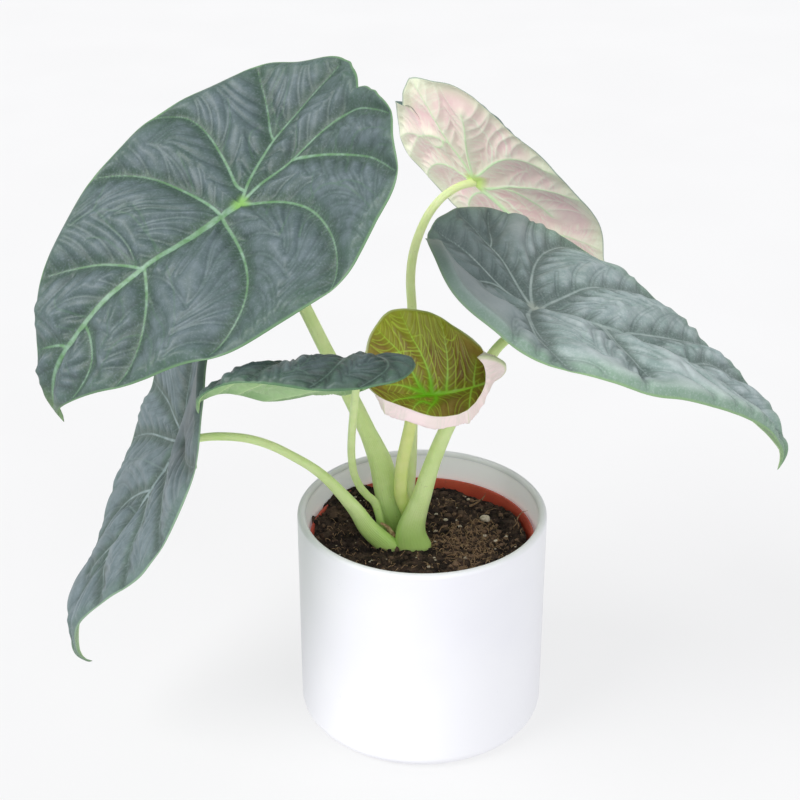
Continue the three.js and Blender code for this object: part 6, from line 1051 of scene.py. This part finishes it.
blade("A", "blade_large_left", "leaf_large_left",
      dict(veins="A", quilt=(8.0, 1.0, 1.9), seed=3, gap=0.072, wob=1.6),
      leaf_upper("large_left_face", c_up(panel=lin(60, 82, 74), panel2=lin(71, 89, 89), join=lin(118, 164, 82), join_r=0.045, d3=0.22, v3=0.08, v2=0.3, low=0.55, crown=0.26, grain=0.3)), leaf_under("large_left_back", c_un()))
# the back leaf's underside is pink with pale veins, its colours lifted towards white as painted light coming through
# the blade, with the glow
blade("B", "blade_back", "leaf_back",
      dict(veins="BX", quilt=(4.0, 0.8, 1.1), seed=5, gap=0.07, rib=1.0),
      leaf_upper("back_face", c_up(panel=lin(84, 104, 100), panel2=lin(96, 114, 114), margin=lin(90, 116, 108))),
      leaf_under("back_back", dict(
          panel=lin(224, 188, 193), panel2=lin(226, 208, 200), pale=lin(240, 218, 214), halo_c=lin(222, 228, 204), edge_c=lin(216, 228, 196),
          vein=lin(200, 232, 184), vein2=lin(230, 238, 218), join=lin(190, 226, 112), halo=0.5, edge_f=0.8, edge_w=13.0, stria=0.35, v3=0.5, v2=0.8,
          rim=lin(120, 150, 136), rim_f=0.8, glow=0.10, glow_c=lin(250, 232, 224))))
# the right leaf's face colours are set lighter than the other leaves': painted light, as this blade is lit from above;
# its pale crowns are painted sheen
blade("C", "blade_right", "leaf_right",
      dict(veins="C", quilt=(7.5, 1.2, 2.3), seed=9, gap=0.072, wob=1.8),
      leaf_upper("right_face", c_up(panel=lin(122, 142, 137), panel2=lin(140, 156, 156), pale=lin(204, 212, 214), green=lin(110, 144, 114), dark=lin(66, 84, 78), spec=0.38, rough=0.56, d3=0.3, v3=0.15, rear=(lin(78, 92, 92), 0.6), crown=0.4,
                                    vein=lin(150, 166, 162), vein_pale=lin(176, 190, 186), vein2=lin(140, 160, 152), join=lin(160, 170, 160),
                                    green_vein=0.15, green_edge=0.7, green_w=20.0, margin=lin(134, 168, 116), tip=lin(132, 172, 116), tip_f=0.45, feather=0.2, v1=0.7, v2=0.35)),
      leaf_under("right_back", c_un()))
blade("D", "blade_low_left", "leaf_low_left",
      dict(veins="D", quilt=(5.0, 0.8, 1.3), seed=11, gap=0.07, wob=1.4),
      leaf_upper("low_left_face", c_up(panel=lin(76, 93, 95), panel2=lin(88, 104, 108), pale=lin(130, 143, 150), green=lin(84, 110, 94), v1=0.75,
                                       vein=lin(116, 134, 134), vein_pale=lin(146, 162, 164), vein2=lin(104, 122, 120), join=lin(130, 150, 140), margin=lin(130, 160, 130), tip=lin(120, 150, 110))),
      leaf_under("low_left_back", c_un()))
blade("E", "blade_small_left", "leaf_small_left",
      dict(veins="AX", flip=-1.0, quilt=(3.6, 0.7, 1.7), seed=15, gap=0.07, wob=1.5, thick=0.7),
      leaf_upper("small_left_face", c_up(panel=lin(48, 64, 62), panel2=lin(56, 72, 72), pale=lin(100, 116, 120), green=lin(58, 90, 64), dark=lin(26, 38, 38),
                                         vein=lin(84, 112, 96), vein_pale=lin(120, 140, 134), vein2=lin(76, 100, 88), join=lin(70, 100, 70), margin=lin(80, 120, 80), tip=lin(130, 170, 110), v1=0.7, feather=0.3)),
      leaf_under("small_left_back", c_un(panel=lin(150, 186, 134), panel2=lin(160, 194, 140), pale=lin(176, 206, 156), halo_c=lin(170, 204, 146), edge_c=lin(128, 166, 112))))
# the young leaf's bright yellow-green veins and face colours are partly its own colour and partly painted light coming
# through the thin blade
blade("F", "blade_young", "leaf_young",
      dict(veins="F", quilt=(1.6, 0.5, 0.6), seed=19, gap=0.06, wob=0.8, thick=0.65, priw=1.7, midw=1.3, belly=(7.0, 0.0, -0.5, -0.85)),
      leaf_upper("young_face", dict(
          panel=lin(166, 138, 62), panel2=lin(122, 90, 38), pale=lin(186, 168, 96), green=lin(184, 198, 54), dark=lin(118, 90, 40),
          vein=lin(190, 242, 76), vein_pale=lin(200, 240, 120), vein2=lin(200, 222, 84), low=0.2, crown=0.2, join=lin(128, 206, 20), margin=lin(214, 220, 170), tip=lin(176, 200, 90),
          green_vein=0.55, green_edge=0.25, green_w=8.0, feather=0.2, v3=0.65, v2=0.9, sheen=0.0, rough=0.45, join_r=0.28, margin_f=0.9,
          side=(0.26, 0.5, lin(186, 200, 50), 0.4))),
      leaf_under("young_back", dict(
          panel=lin(250, 224, 226), panel2=lin(240, 214, 212), pale=lin(252, 240, 238), halo_c=lin(240, 226, 220), edge_c=lin(250, 236, 232),
          vein=lin(214, 220, 180), vein2=lin(224, 218, 206), join=lin(206, 220, 130), halo=0.5, edge_f=0.5, stria=0.3)))


# ------------------------------------------------------------------ petioles
def petiole_mat(name, c1, c2, base, edge_c):
    m = Mat(name)
    pos = m.pos()
    al, ar = m.attr("along"), m.attr("around")
    zz = m.attr("zmm")
    n1 = m.noise(120.0, 3.0, 0.55, pos)
    # long fine streaks
    st = m.math("SINE", m.math("ADD", m.math("MULTIPLY", ar, 31.0), m.math("MULTIPLY", n1, 5.0)))
    col = m.mix(m.ramp(n1, 0.3, 0.7), c1, c2)
    col = m.mix(m.math("MULTIPLY", m.ramp(st, 0.1, 1.0), 0.22), col, edge_c)
    col = m.mix(m.ramp(zz, 136.0, 112.0), col, base)
    col = m.mix(m.math("MULTIPLY", m.ramp(zz, 109.0, 104.0), 0.75), col, lin(116, 122, 84))
    spots = m.ramp(m.noise(420.0, 2.0, 0.5, pos), 0.68, 0.78)
    col = m.mix(m.math("MULTIPLY", spots, 0.25), col, lin(120, 110, 60))
    m.color(col)
    m.rough(m.math("ADD", m.math("MULTIPLY", n1, 0.15), 0.33))
    m.set(Specular_IOR_Level=0.5)
    m.b.inputs["Subsurface Weight"].default_value = 0.12
    m.b.inputs["Subsurface Radius"].default_value = (0.6, 1.0, 0.25)
    m.b.inputs["Subsurface Scale"].default_value = 0.002
    h = m.math("ADD", m.math("MULTIPLY", st, 0.5), m.math("MULTIPLY", m.noise(900.0, 2.0, 0.5, pos), 0.4))
    m.bump(h, 0.00018, 0.6)
    return m.m


PET_GREEN = petiole_mat("petiole_skin", lin(214, 238, 156), lin(224, 244, 172), lin(180, 214, 120), lin(236, 248, 202))
PET_BACK = petiole_mat("petiole_skin_back", lin(226, 240, 168), lin(234, 245, 184), lin(198, 222, 146), lin(240, 248, 214))
PET_YOUNG = petiole_mat("petiole_skin_young", lin(232, 246, 150), lin(240, 250, 166), lin(204, 228, 120), lin(244, 248, 196))


DEPTH = dict(A=8.0, B=4.0, C=7.5, D=5.5, E=3.6, F=1.6)


def frames(C):
    """Side and up directions carried along a line without twisting."""
    T = np.gradient(C, axis=0)
    T /= np.linalg.norm(T, axis=1)[:, None]
    X = np.zeros_like(C)
    x = np.array([1.0, 0, 0])
    for i in range(len(C)):
        x = x - T[i] * (x @ T[i])
        x /= np.linalg.norm(x)
        X[i] = x
    return T, X, np.cross(T, X)


def petiole(key, name, node, mat, wide=None, groove=0.10, ring_n=28, steps=150):
    path = np.array(PET["path"][key], float)
    rad = np.array(PET["rad"][key], float)
    L = LEAF[key]
    P0, N0 = blade_point(np.zeros(1), np.zeros(1), L)
    # run on to the blade, into its underside
    path = np.vstack([path[:-1], P0[0] - N0[0] * (SINK * DEPTH[key] + 0.5)])
    rad = np.r_[rad[:-1], rad[-1] * 1.15]
    c = np.stack([np.interp(np.linspace(0, len(path) - 1, 4 * len(path)), np.arange(len(path)), path[:, k]) for k in range(3)], -1)
    C = spline(path, steps)
    r = np.interp(np.linspace(0, len(rad) - 1, steps + 1), np.arange(len(rad)), rad)
    for _ in range(4):
        r[1:-1] = 0.25 * r[:-2] + 0.5 * r[1:-1] + 0.25 * r[2:]
    C = np.vstack([C[:1] + np.array([0, 0, -3.0]), C])
    r = np.r_[r[0] * 0.8, r]
    T, X, Y = frames(C)
    a = np.linspace(0, 2 * np.pi, ring_n, endpoint=False)
    n = len(C)
    wx, wy = np.ones(n), np.ones(n)
    if wide is not None:
        zs, fx, fy = wide
        wx = np.interp(C[:, 2], zs, fx)
        wy = np.interp(C[:, 2], zs, fy)
    ca, sa = np.cos(a), np.sin(a)
    V = []
    for i in range(n):
        prof = 1.0 - groove * np.exp(-((((a - np.pi * 1.5 + np.pi) % (2 * np.pi)) - np.pi) / 0.5) ** 2)
        prof = prof * (1 + 0.012 * np.sin(7 * a + 0.6 * i * 0.05))
        V.append(C[i] + (X[i][None] * (ca * prof * wx[i])[:, None] + Y[i][None] * (sa * prof * wy[i])[:, None]) * r[i])
    V = np.vstack(V)
    s = np.r_[0, np.cumsum(np.linalg.norm(np.diff(C, axis=0), axis=1))]
    j = np.arange(ring_n)
    jn = (j + 1) % ring_n
    F = []
    for i in range(n - 1):
        F.extend(np.stack([i * ring_n + j, i * ring_n + jn, (i + 1) * ring_n + jn, (i + 1) * ring_n + j], -1).tolist())
    F.append(list(range(ring_n))[::-1])
    F.append([(n - 1) * ring_n + k for k in range(ring_n)])
    att = dict(along=np.repeat(s, ring_n), around=np.tile(np.abs(a - np.pi), n), zmm=V[:, 2])
    ob = make_mesh(name, V, F, [mat], None, att)
    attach(ob, "root")
    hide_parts(node)
    return ob


petiole("A", "stalk_large_left", "petiole_large_left", PET_GREEN,
        ([97, 112, 126, 140, 155, 175], [1.25, 1.3, 1.35, 1.35, 1.25, 1.0], [1.0, 1.0, 1.0, 1.0, 1.0, 1.0]))
petiole("B", "stalk_back", "petiole_back", PET_BACK)
petiole("C", "stalk_right", "petiole_right", PET_GREEN,
        ([97, 104, 112, 122, 135, 150, 170], [1.55, 1.5, 1.35, 1.15, 1.0, 1.0, 1.0], [1.0, 1.0, 1.0, 1.0, 1.0, 1.0, 1.0]))
petiole("D", "stalk_low_left", "petiole_low_left", PET_GREEN,
        ([97, 108, 120, 135, 150], [1.15, 1.15, 1.1, 1.0, 1.0], [1.0, 1.0, 1.0, 1.0, 1.0]))
petiole("E", "stalk_small_left", "petiole_small_left", PET_GREEN)
petiole("F", "stalk_young", "petiole_young", PET_YOUNG)


# ------------------------------------------------------------------ pots
def lathe(name, prof, n, mat, z_attr=True):
    prof = np.array(prof, float)
    k = len(prof)
    a = np.linspace(0, 2 * np.pi, n, endpoint=False)
    V, F = [], []
    for (r, z) in prof:
        V.append(np.stack([r * np.cos(a), r * np.sin(a), np.full(n, z)], -1))
    V = np.vstack(V)
    j = np.arange(n)
    jn = (j + 1) % n
    for i in range(k - 1):
        F.extend(np.stack([i * n + j, i * n + jn, (i + 1) * n + jn, (i + 1) * n + j], -1).tolist())
    return V, F, n, k


def capped(name, prof, n, mats, node, which=None):
    """A turned body whose line starts and ends near the axis; both ends are closed."""
    V, F, n, k = lathe(name, prof, n, mats)
    V = np.vstack([V, [[0, 0, prof[0][1]], [0, 0, prof[-1][1]]]])
    j = np.arange(n)
    jn = (j + 1) % n
    F.extend(np.stack([jn, j, np.full(n, n * k)], -1).tolist())
    F.extend(np.stack([(k - 1) * n + j, (k - 1) * n + jn, np.full(n, n * k + 1)], -1).tolist())
    mi = None
    if which is not None:  # one material a band
        mi = [which(prof[i], prof[i + 1]) for i in range(k - 1) for _ in range(n)] + [0] * (2 * n)
    ob = make_mesh(name, V, F, mats, mi)
    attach(ob, "root")
    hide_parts(node)
    return ob


def arc(cx, cz, r, a0, a1, n):
    return [(cx + r * math.cos(math.radians(a)), cz + r * math.sin(math.radians(a))) for a in np.linspace(a0, a1, n)]


def pot_mat(name, lo, hi, glow=0.0):
    m = Mat(name)
    pos = m.pos()
    n1 = m.noise(9.0, 3.0, 0.5, pos)
    n2 = m.noise(260.0, 3.0, 0.6, pos)
    n3 = m.noise(70.0, 2.0, 0.5, pos)
    col = m.mix(m.ramp(n1, 0.35, 0.65), lo, hi)
    specks = m.ramp(m.noise(520.0, 1.0, 0.4, pos), 0.80, 0.84)
    col = m.mix(m.math("MULTIPLY", specks, 0.35), col, lin(205, 205, 210))
    m.color(col)
    m.rough(m.math("ADD", m.math("MULTIPLY", n3, 0.10), 0.36))
    m.set(Specular_IOR_Level=0.45)
    m.bump(m.math("ADD", m.math("MULTIPLY", n2, 0.35), m.math("MULTIPLY", n1, 1.2)), 0.0003, 0.35)
    if glow:  # stands in for the light that bounces about inside the pot; none at the lip
        sep = m.n("ShaderNodeSeparateXYZ")
        m.link(pos, sep.inputs[0])
        m.b.inputs["Emission Color"].default_value = (0.97, 0.975, 1.0, 1.0)
        m.link(m.math("MULTIPLY", m.ramp(sep.outputs["Z"], 0.1275, 0.1235), glow), m.b.inputs["Emission Strength"])
    return m.m


def plastic_mat():
    m = Mat("terracotta_plastic_skin")
    pos = m.pos()
    n1 = m.noise(60.0, 3.0, 0.5, pos)
    n2 = m.noise(900.0, 2.0, 0.5, pos)
    col = m.mix(m.ramp(n1, 0.3, 0.7), lin(190, 76, 54), lin(172, 64, 46))
    dirt = m.ramp(m.noise(190.0, 4.0, 0.6, pos), 0.58, 0.74)
    col = m.mix(m.math("MULTIPLY", dirt, 0.45), col, lin(92, 52, 38))
    m.color(col)
    m.rough(m.math("ADD", m.math("MULTIPLY", n2, 0.15), 0.45))
    m.bump(n2, 0.0002, 0.4)
    return m.m


R, H, WL, FL = 70.0, 128.1, 4.74, 6.0
outer = [(2.0, 0.0), (30, 0.0), (58, 0.0)]
outer += arc(63, 7, 7, -90, 0, 14)
outer += [(70, z) for z in np.linspace(10, H - WL / 2, 22)]
outer += arc(R - WL / 2, H - WL / 2, WL / 2, 0, 180, 14)[1:]
outer += [(R - WL, z) for z in np.linspace(H - WL / 2 - 3, 12, 14)]
outer += [(R - WL - 0.7, 8.4), (R - WL - 3.0, FL), (30, FL), (2, FL)]
# the inside glaze is a lighter copy of the outside glaze: painted light, with a painted glow for light bounced about
# inside the pot
GLAZE = [pot_mat("white_glaze", lin(230, 230, 236), lin(235, 235, 239)), pot_mat("white_glaze_inside", lin(250, 250, 254), lin(252, 252, 255), 0.12)]
capped("cover_pot", outer, 160, GLAZE, "outer_pot", lambda p, q: 1 if q[0] < R - WL + 0.02 and q[1] < H - WL / 2 and q[1] > 5.9 else 0)

inner = [(2.0, 6.4), (30, 6.4), (47.6, 6.4), (48.7, 6.75), (49.1, 7.8), (61.2, 102.9), (62.9, 103.3), (63.3, 103.7), (63.4, 104.3), (63.4, 111.4), (63.1, 111.9), (62.6, 112.1), (62.1, 112.0), (61.8, 111.6),
         (61.3, 108.5), (59.8, 102.4), (47.6, 8.4), (30, 7.9), (2, 7.9)]
capped("grow_pot", inner, 144, [plastic_mat()], "nursery_pot")


# ------------------------------------------------------------------ soil
def soil_mat():
    m = Mat("peat")
    pos = m.pos()
    n1 = m.noise(140.0, 5.0, 0.65, pos)
    n2 = m.noise(900.0, 3.0, 0.6, pos)
    tone = m.attr("tone")
    col = m.mix(m.ramp(n1, 0.38, 0.68), lin(34, 27, 25), lin(88, 71, 61))
    col = m.mix(m.math("MULTIPLY", m.ramp(tone, 0.5, 1.0), 0.7), col, lin(150, 122, 100))
    col = m.mix(m.math("MULTIPLY", m.ramp(tone, 0.35, 0.0), 0.7), col, lin(22, 17, 16))
    col = m.mix(m.math("MULTIPLY", m.ramp(n2, 0.55, 0.8), 0.45), col, lin(142, 118, 104))
    m.color(col)
    m.rough(0.92)
    m.set(Specular_IOR_Level=0.2)
    m.bump(m.math("ADD", n1, n2), 0.0012, 0.9)
    return m.m


def bit_mat(name, c1, c2, rough=0.8):
    m = Mat(name)
    n1 = m.noise(700.0, 3.0, 0.6, m.pos())
    m.color(m.mix(m.ramp(n1, 0.3, 0.7), c1, c2))
    m.rough(rough)
    m.bump(n1, 0.0004, 0.7)
    return m.m


def soil_height(x, y):
    r = math.hypot(x, y)
    t = math.degrees(math.atan2(y, x)) % 360.0
    base = np.interp(r, [0, 26, 46, 58.4], [107.6, 107.4, 106.6, 105.6])
    h = 1.6 * noise.noise((x * 0.055, y * 0.055, 1.7)) + 1.5 * noise.noise((x * 0.16, y * 0.16, 4.2)) + 1.1 * noise.noise((x * 0.42, y * 0.42, 9.1)) + 0.6 * noise.noise((x * 1.1, y * 1.1, 2.9))
    # a little hollow round the stems
    d = math.hypot(x + 7, (y - 0) * 0.9)
    z = base + h * min(1.0, abs(61.0 - r) / 4.0 + 0.35) - 1.6 * math.exp(-((d / 17.0) ** 2))
    # heaped over the nursery pot's rim on the left and in front
    f = float(np.interp(t, [0, 25, 45, 90, 104, 122, 168, 180, 190, 204, 300, 322, 360], [0.5, 0.45, 0.22, 0.2, 0.3, 1, 1, 0.35, 0.35, 1, 1, 0.6, 0.5]))
    f *= 0.85 + 0.5 * noise.noise((math.cos(math.radians(t)) * 5.0, math.sin(math.radians(t)) * 5.0, 6.6))
    f = min(max(f, 0.0), 1.0)
    heap = float(np.interp(r, [40, 50, 58, 61, 64.9], [0.0, 2.4, 7.6, 8.4, 8.2])) * f
    return z + heap


def soil_reach(t):
    """How far out the soil goes at an angle: to the cover pot's wall where it is heaped, else to the nursery pot's."""
    f = float(np.interp(math.degrees(t) % 360.0, [0, 104, 126, 166, 180, 190, 206, 298, 318, 360], [0, 0, 1, 1, 0.3, 0.3, 1, 1, 0, 0]))
    return 59.0 + 5.9 * f


def ico(level):
    import bmesh
    bm = bmesh.new()
    bmesh.ops.create_icosphere(bm, subdivisions=level, radius=1.0)
    v = np.array([x.co[:] for x in bm.verts])
    f = [[y.index for y in x.verts] for x in bm.faces]
    bm.free()
    return v, np.array(f)


def soil():
    n_a, n_r = 300, 96
    rr = np.linspace(0, 1, n_r + 1)[1:]
    a = np.linspace(0, 2 * np.pi, n_a, endpoint=False)
    V, tone = [], []
    reach = [soil_reach(t) for t in a]
    for k in rr:
        for t, top_r in zip(a, reach):
            r = k * top_r
            x, y = r * math.cos(t), r * math.sin(t)
            V.append((x, y, soil_height(x, y)))
            tone.append(0.35 + 0.5 * noise.noise((x * 0.09, y * 0.09, 7.7)))
    V = np.array(V)
    lo = np.stack([46.2 * np.cos(a), 46.2 * np.sin(a), np.full(n_a, 8.5)], -1)
    lip = np.stack([np.minimum(np.array(reach), 60.2) * np.cos(a), np.minimum(np.array(reach), 60.2) * np.sin(a), np.full(n_a, 104.6)], -1)
    mid = np.stack([58.2 * np.cos(a), 58.2 * np.sin(a), np.full(n_a, 100.5)], -1)
    V = np.vstack([V, lip, mid, lo, [[0, 0, soil_height(0, 0)], [0, 0, 8.5]]])
    tone = np.r_[tone, np.full(3 * n_a + 2, 0.2)]
    j = np.arange(n_a)
    jn = (j + 1) % n_a
    F = []
    for i in range(n_r - 1):
        F.extend(np.stack([i * n_a + j, (i + 1) * n_a + j, (i + 1) * n_a + jn, i * n_a + jn], -1).tolist())
    top = n_r * n_a
    for (x, y) in ((top - n_a, top), (top, top + n_a), (top + n_a, top + 2 * n_a)):
        F.extend(np.stack([x + j, y + j, y + jn, x + jn], -1).tolist())
    F.extend(np.stack([j, jn, np.full(n_a, top + 3 * n_a)], -1).tolist())
    F.extend(np.stack([top + 2 * n_a + jn, top + 2 * n_a + j, np.full(n_a, top + 3 * n_a + 1)], -1).tolist())
    # crumbs
    peat = soil_mat()
    ob = make_mesh("soil_peat", V, F, [peat], None, dict(tone=tone))
    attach(ob, "root")
    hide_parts("soil")
    iv, fv = ico(1)
    rs = np.random.RandomState(21)
    VV, FF, TT = [], [], []
    off = 0
    for k in range(2300):
        t = rs.rand() * 2 * math.pi
        lim = soil_reach(t)
        r = (lim - 1.4) * math.sqrt(rs.rand())
        x, y = r * math.cos(t), r * math.sin(t)
        s = 0.42 + 1.35 * rs.rand() ** 2.4
        if k < 16:
            s = 2.0 + 1.2 * rs.rand()
        if r + s > lim - 0.5:
            continue
        sc = s * (0.7 + 0.6 * rs.rand(3))
        ang = rs.rand() * 6.28
        p = iv * (1 + 0.6 * np.array([noise.noise((q[0] * 1.9 + k * 3.3, q[1] * 1.9, q[2] * 1.9)) for q in iv]))[:, None] * sc
        c, sn = math.cos(ang), math.sin(ang)
        p = np.stack([p[:, 0] * c - p[:, 1] * sn, p[:, 0] * sn + p[:, 1] * c, p[:, 2] * 0.75], -1)
        p += np.array([x, y, soil_height(x, y) + s * 0.12])
        VV.append(p)
        FF.append(fv + off)
        tn = rs.rand() * (1.0 if x > 12 else 0.75)
        TT.append(np.full(len(p), tn))
        off += len(p)
    ob = make_mesh("soil_crumbs", np.vstack(VV), np.vstack(FF).tolist(), [peat], None, dict(tone=np.concatenate(TT)))
    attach(ob, "root")


def perlite():
    iv, fv = ico(2)
    rs = np.random.RandomState(33)
    VV, FF, off = [], [], 0
    spots = [(37.0, 22.0, 2.6), (30, -34, 1.1), (3, -46, 1.0), (9, -44, 1.3), (22, 28, 0.9), (36, 5, 1.1), (14, 21, 1.1), (24, -22, 0.9), (48, 4, 0.9)]
    for k in range(75):
        if k < len(spots):
            x, y, s = spots[k]
        else:
            r = 56 * math.sqrt(rs.rand())
            t = rs.rand() * 2 * math.pi
            x, y = r * math.cos(t), r * math.sin(t)
            s = 0.35 + 0.75 * rs.rand() ** 2
        p = iv * (1 + 0.3 * np.array([noise.noise((q[0] * 1.4 + k * 2.3, q[1] * 1.4, q[2] * 1.4)) for q in iv]))[:, None]
        p = p * s * np.array([1.25, 0.9, 0.8])
        p += np.array([x, y, soil_height(x, y) + s * 0.45])
        VV.append(p)
        FF.append(fv + off)
        off += len(p)
    ob = make_mesh("soil_perlite", np.vstack(VV), np.vstack(FF).tolist(), [bit_mat("perlite_grain", lin(214, 206, 190), lin(176, 160, 138), 0.85)])
    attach(ob, "root")


def strand(pts, r0, r1, n=5):
    C = spline(np.array(pts, float), max(6, 4 * len(pts)))
    T, X, Y = frames(C)
    a = np.linspace(0, 2 * np.pi, n, endpoint=False)
    rad = np.linspace(r0, r1, len(C))
    V = np.vstack([C[i] + (X[i] * np.cos(a)[:, None] + Y[i] * np.sin(a)[:, None]) * rad[i] for i in range(len(C))])
    F = []
    for i in range(len(C) - 1):
        for j in range(n):
            F.append([i * n + j, i * n + (j + 1) % n, (i + 1) * n + (j + 1) % n, (i + 1) * n + j])
    F.append(list(range(n))[::-1])
    F.append([(len(C) - 1) * n + j for j in range(n)])
    return V, F


def fibres():
    rs = np.random.RandomState(55)
    VV, FF, off = [], [], 0
    for k in range(620):
        r = 53 * math.sqrt(rs.rand())
        t = rs.rand() * 2 * math.pi
        if k % 2:
            r, t = 44 * math.sqrt(rs.rand()), rs.rand() * 1.6 - 1.0
        x, y = r * math.cos(t), r * math.sin(t)
        d = rs.rand() * 6.28
        ln = 1.4 + 4.4 * rs.rand()
        pts = []
        for i in range(4):
            pts.append((x, y, soil_height(x, y) + (0.5 + 1.3 * rs.rand()) * (1 if i in (1, 2) else 0.2)))
            d += rs.randn() * 0.6
            x, y = x + math.cos(d) * ln / 3, y + math.sin(d) * ln / 3
            if math.hypot(x, y) > 56.5:
                break
        if len(pts) < 3:
            continue
        V, F = strand(pts, 0.17 + 0.14 * rs.rand(), 0.08)
        VV.append(V)
        FF.extend([[q + off for q in f] for f in F])
        off += len(V)
    # dry roots standing at the right wall, and a dark twig at the back
    for pts, r0 in (
        ([(54, 12, 104), (55.5, 11, 109), (54.5, 11, 114), (57, 12, 118), (60.5, 12.5, 119)], 0.5),
        ([(53, 10, 104), (52.5, 10.5, 109), (54, 10, 112), (52.8, 10, 115.5)], 0.42),
        ([(57, 6, 104), (57.5, 5, 107), (56.2, 6, 109.5), (57.5, 7, 111)], 0.38),
        ([(25, 40, 104), (31, 38, 108), (36, 36, 113.5), (37.5, 35, 117.5)], 0.8),
        ([(28, 44, 105.5), (32, 43, 107.5), (36.5, 41, 109.6)], 0.6),
    ):
        V, F = strand(pts, r0, 0.12, 6)
        VV.append(V)
        FF.extend([[q + off for q in f] for f in F])
        off += len(V)
    ob = make_mesh("soil_fibres", np.vstack(VV), FF, [bit_mat("root_fibre", lin(176, 146, 112), lin(112, 84, 62), 0.85)])
    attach(ob, "root")


def scale_leaf():
    """The dry brown scale left where an old leaf stood, between the two left stalks."""
    line = spline(np.array(SCALE_LINE, float), 26)
    T, X, Y = frames(line)
    n, w = len(line), 9
    V = []
    for side in (0.16, -0.16):
        for i in range(n):
            t = i / (n - 1)
            half = 3.1 * (1 - t) ** 0.6 * (0.75 + 0.35 * math.sin(3.0 * t)) + 0.25
            for k in range(w):
                a = (k / (w - 1) - 0.5) * 2
                across = np.array([0.72, -0.62, 0.3]) / 0.997
                lift = np.cross(T[i], across)
                crumple = 0.35 * noise.noise((a * 2.1, t * 6.0, 3.3))
                V.append(line[i] + across * a * half + lift * (1.1 * (a * a - 0.4) + crumple + side))
    V = np.array(V)
    F = []
    m0 = n * w
    for i in range(n - 1):
        for k in range(w - 1):
            a, b, c, d = i * w + k, i * w + k + 1, (i + 1) * w + k + 1, (i + 1) * w + k
            F.append([a, b, c, d])
            F.append([m0 + d, m0 + c, m0 + b, m0 + a])
    rim = [i * w for i in range(n)] + [(n - 1) * w + k for k in range(1, w)] + [i * w + w - 1 for i in range(n - 2, -1, -1)] + [k for k in range(w - 2, 0, -1)]
    for a, b in zip(rim, rim[1:] + rim[:1]):
        F.append([a, b, m0 + b, m0 + a])
    ob = make_mesh("dry_scale", V, F, [bit_mat("dry_scale_skin", lin(196, 172, 132), lin(132, 98, 66), 0.8)])
    import bmesh
    bm = bmesh.new()
    bm.from_mesh(ob.data)
    bmesh.ops.recalc_face_normals(bm, faces=bm.faces)
    bm.to_mesh(ob.data)
    bm.free()
    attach(ob, "root")


SCALE_LINE = [(-14.6, -3.0, 104.5), (-16.6, -2.2, 110.5), (-19.6, -1.2, 115.8), (-23.4, -0.8, 118.8)]
soil()
perlite()
fibres()
scale_leaf()

# the corm keeps its CAD shape, under the soil
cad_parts["corm"].data.materials.clear()
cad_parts["corm"].data.materials.append(bit_mat("corm_skin", lin(120, 84, 54), lin(90, 60, 38), 0.85))

# ------------------------------------------------------------------ end
bpy.context.view_layer.update()
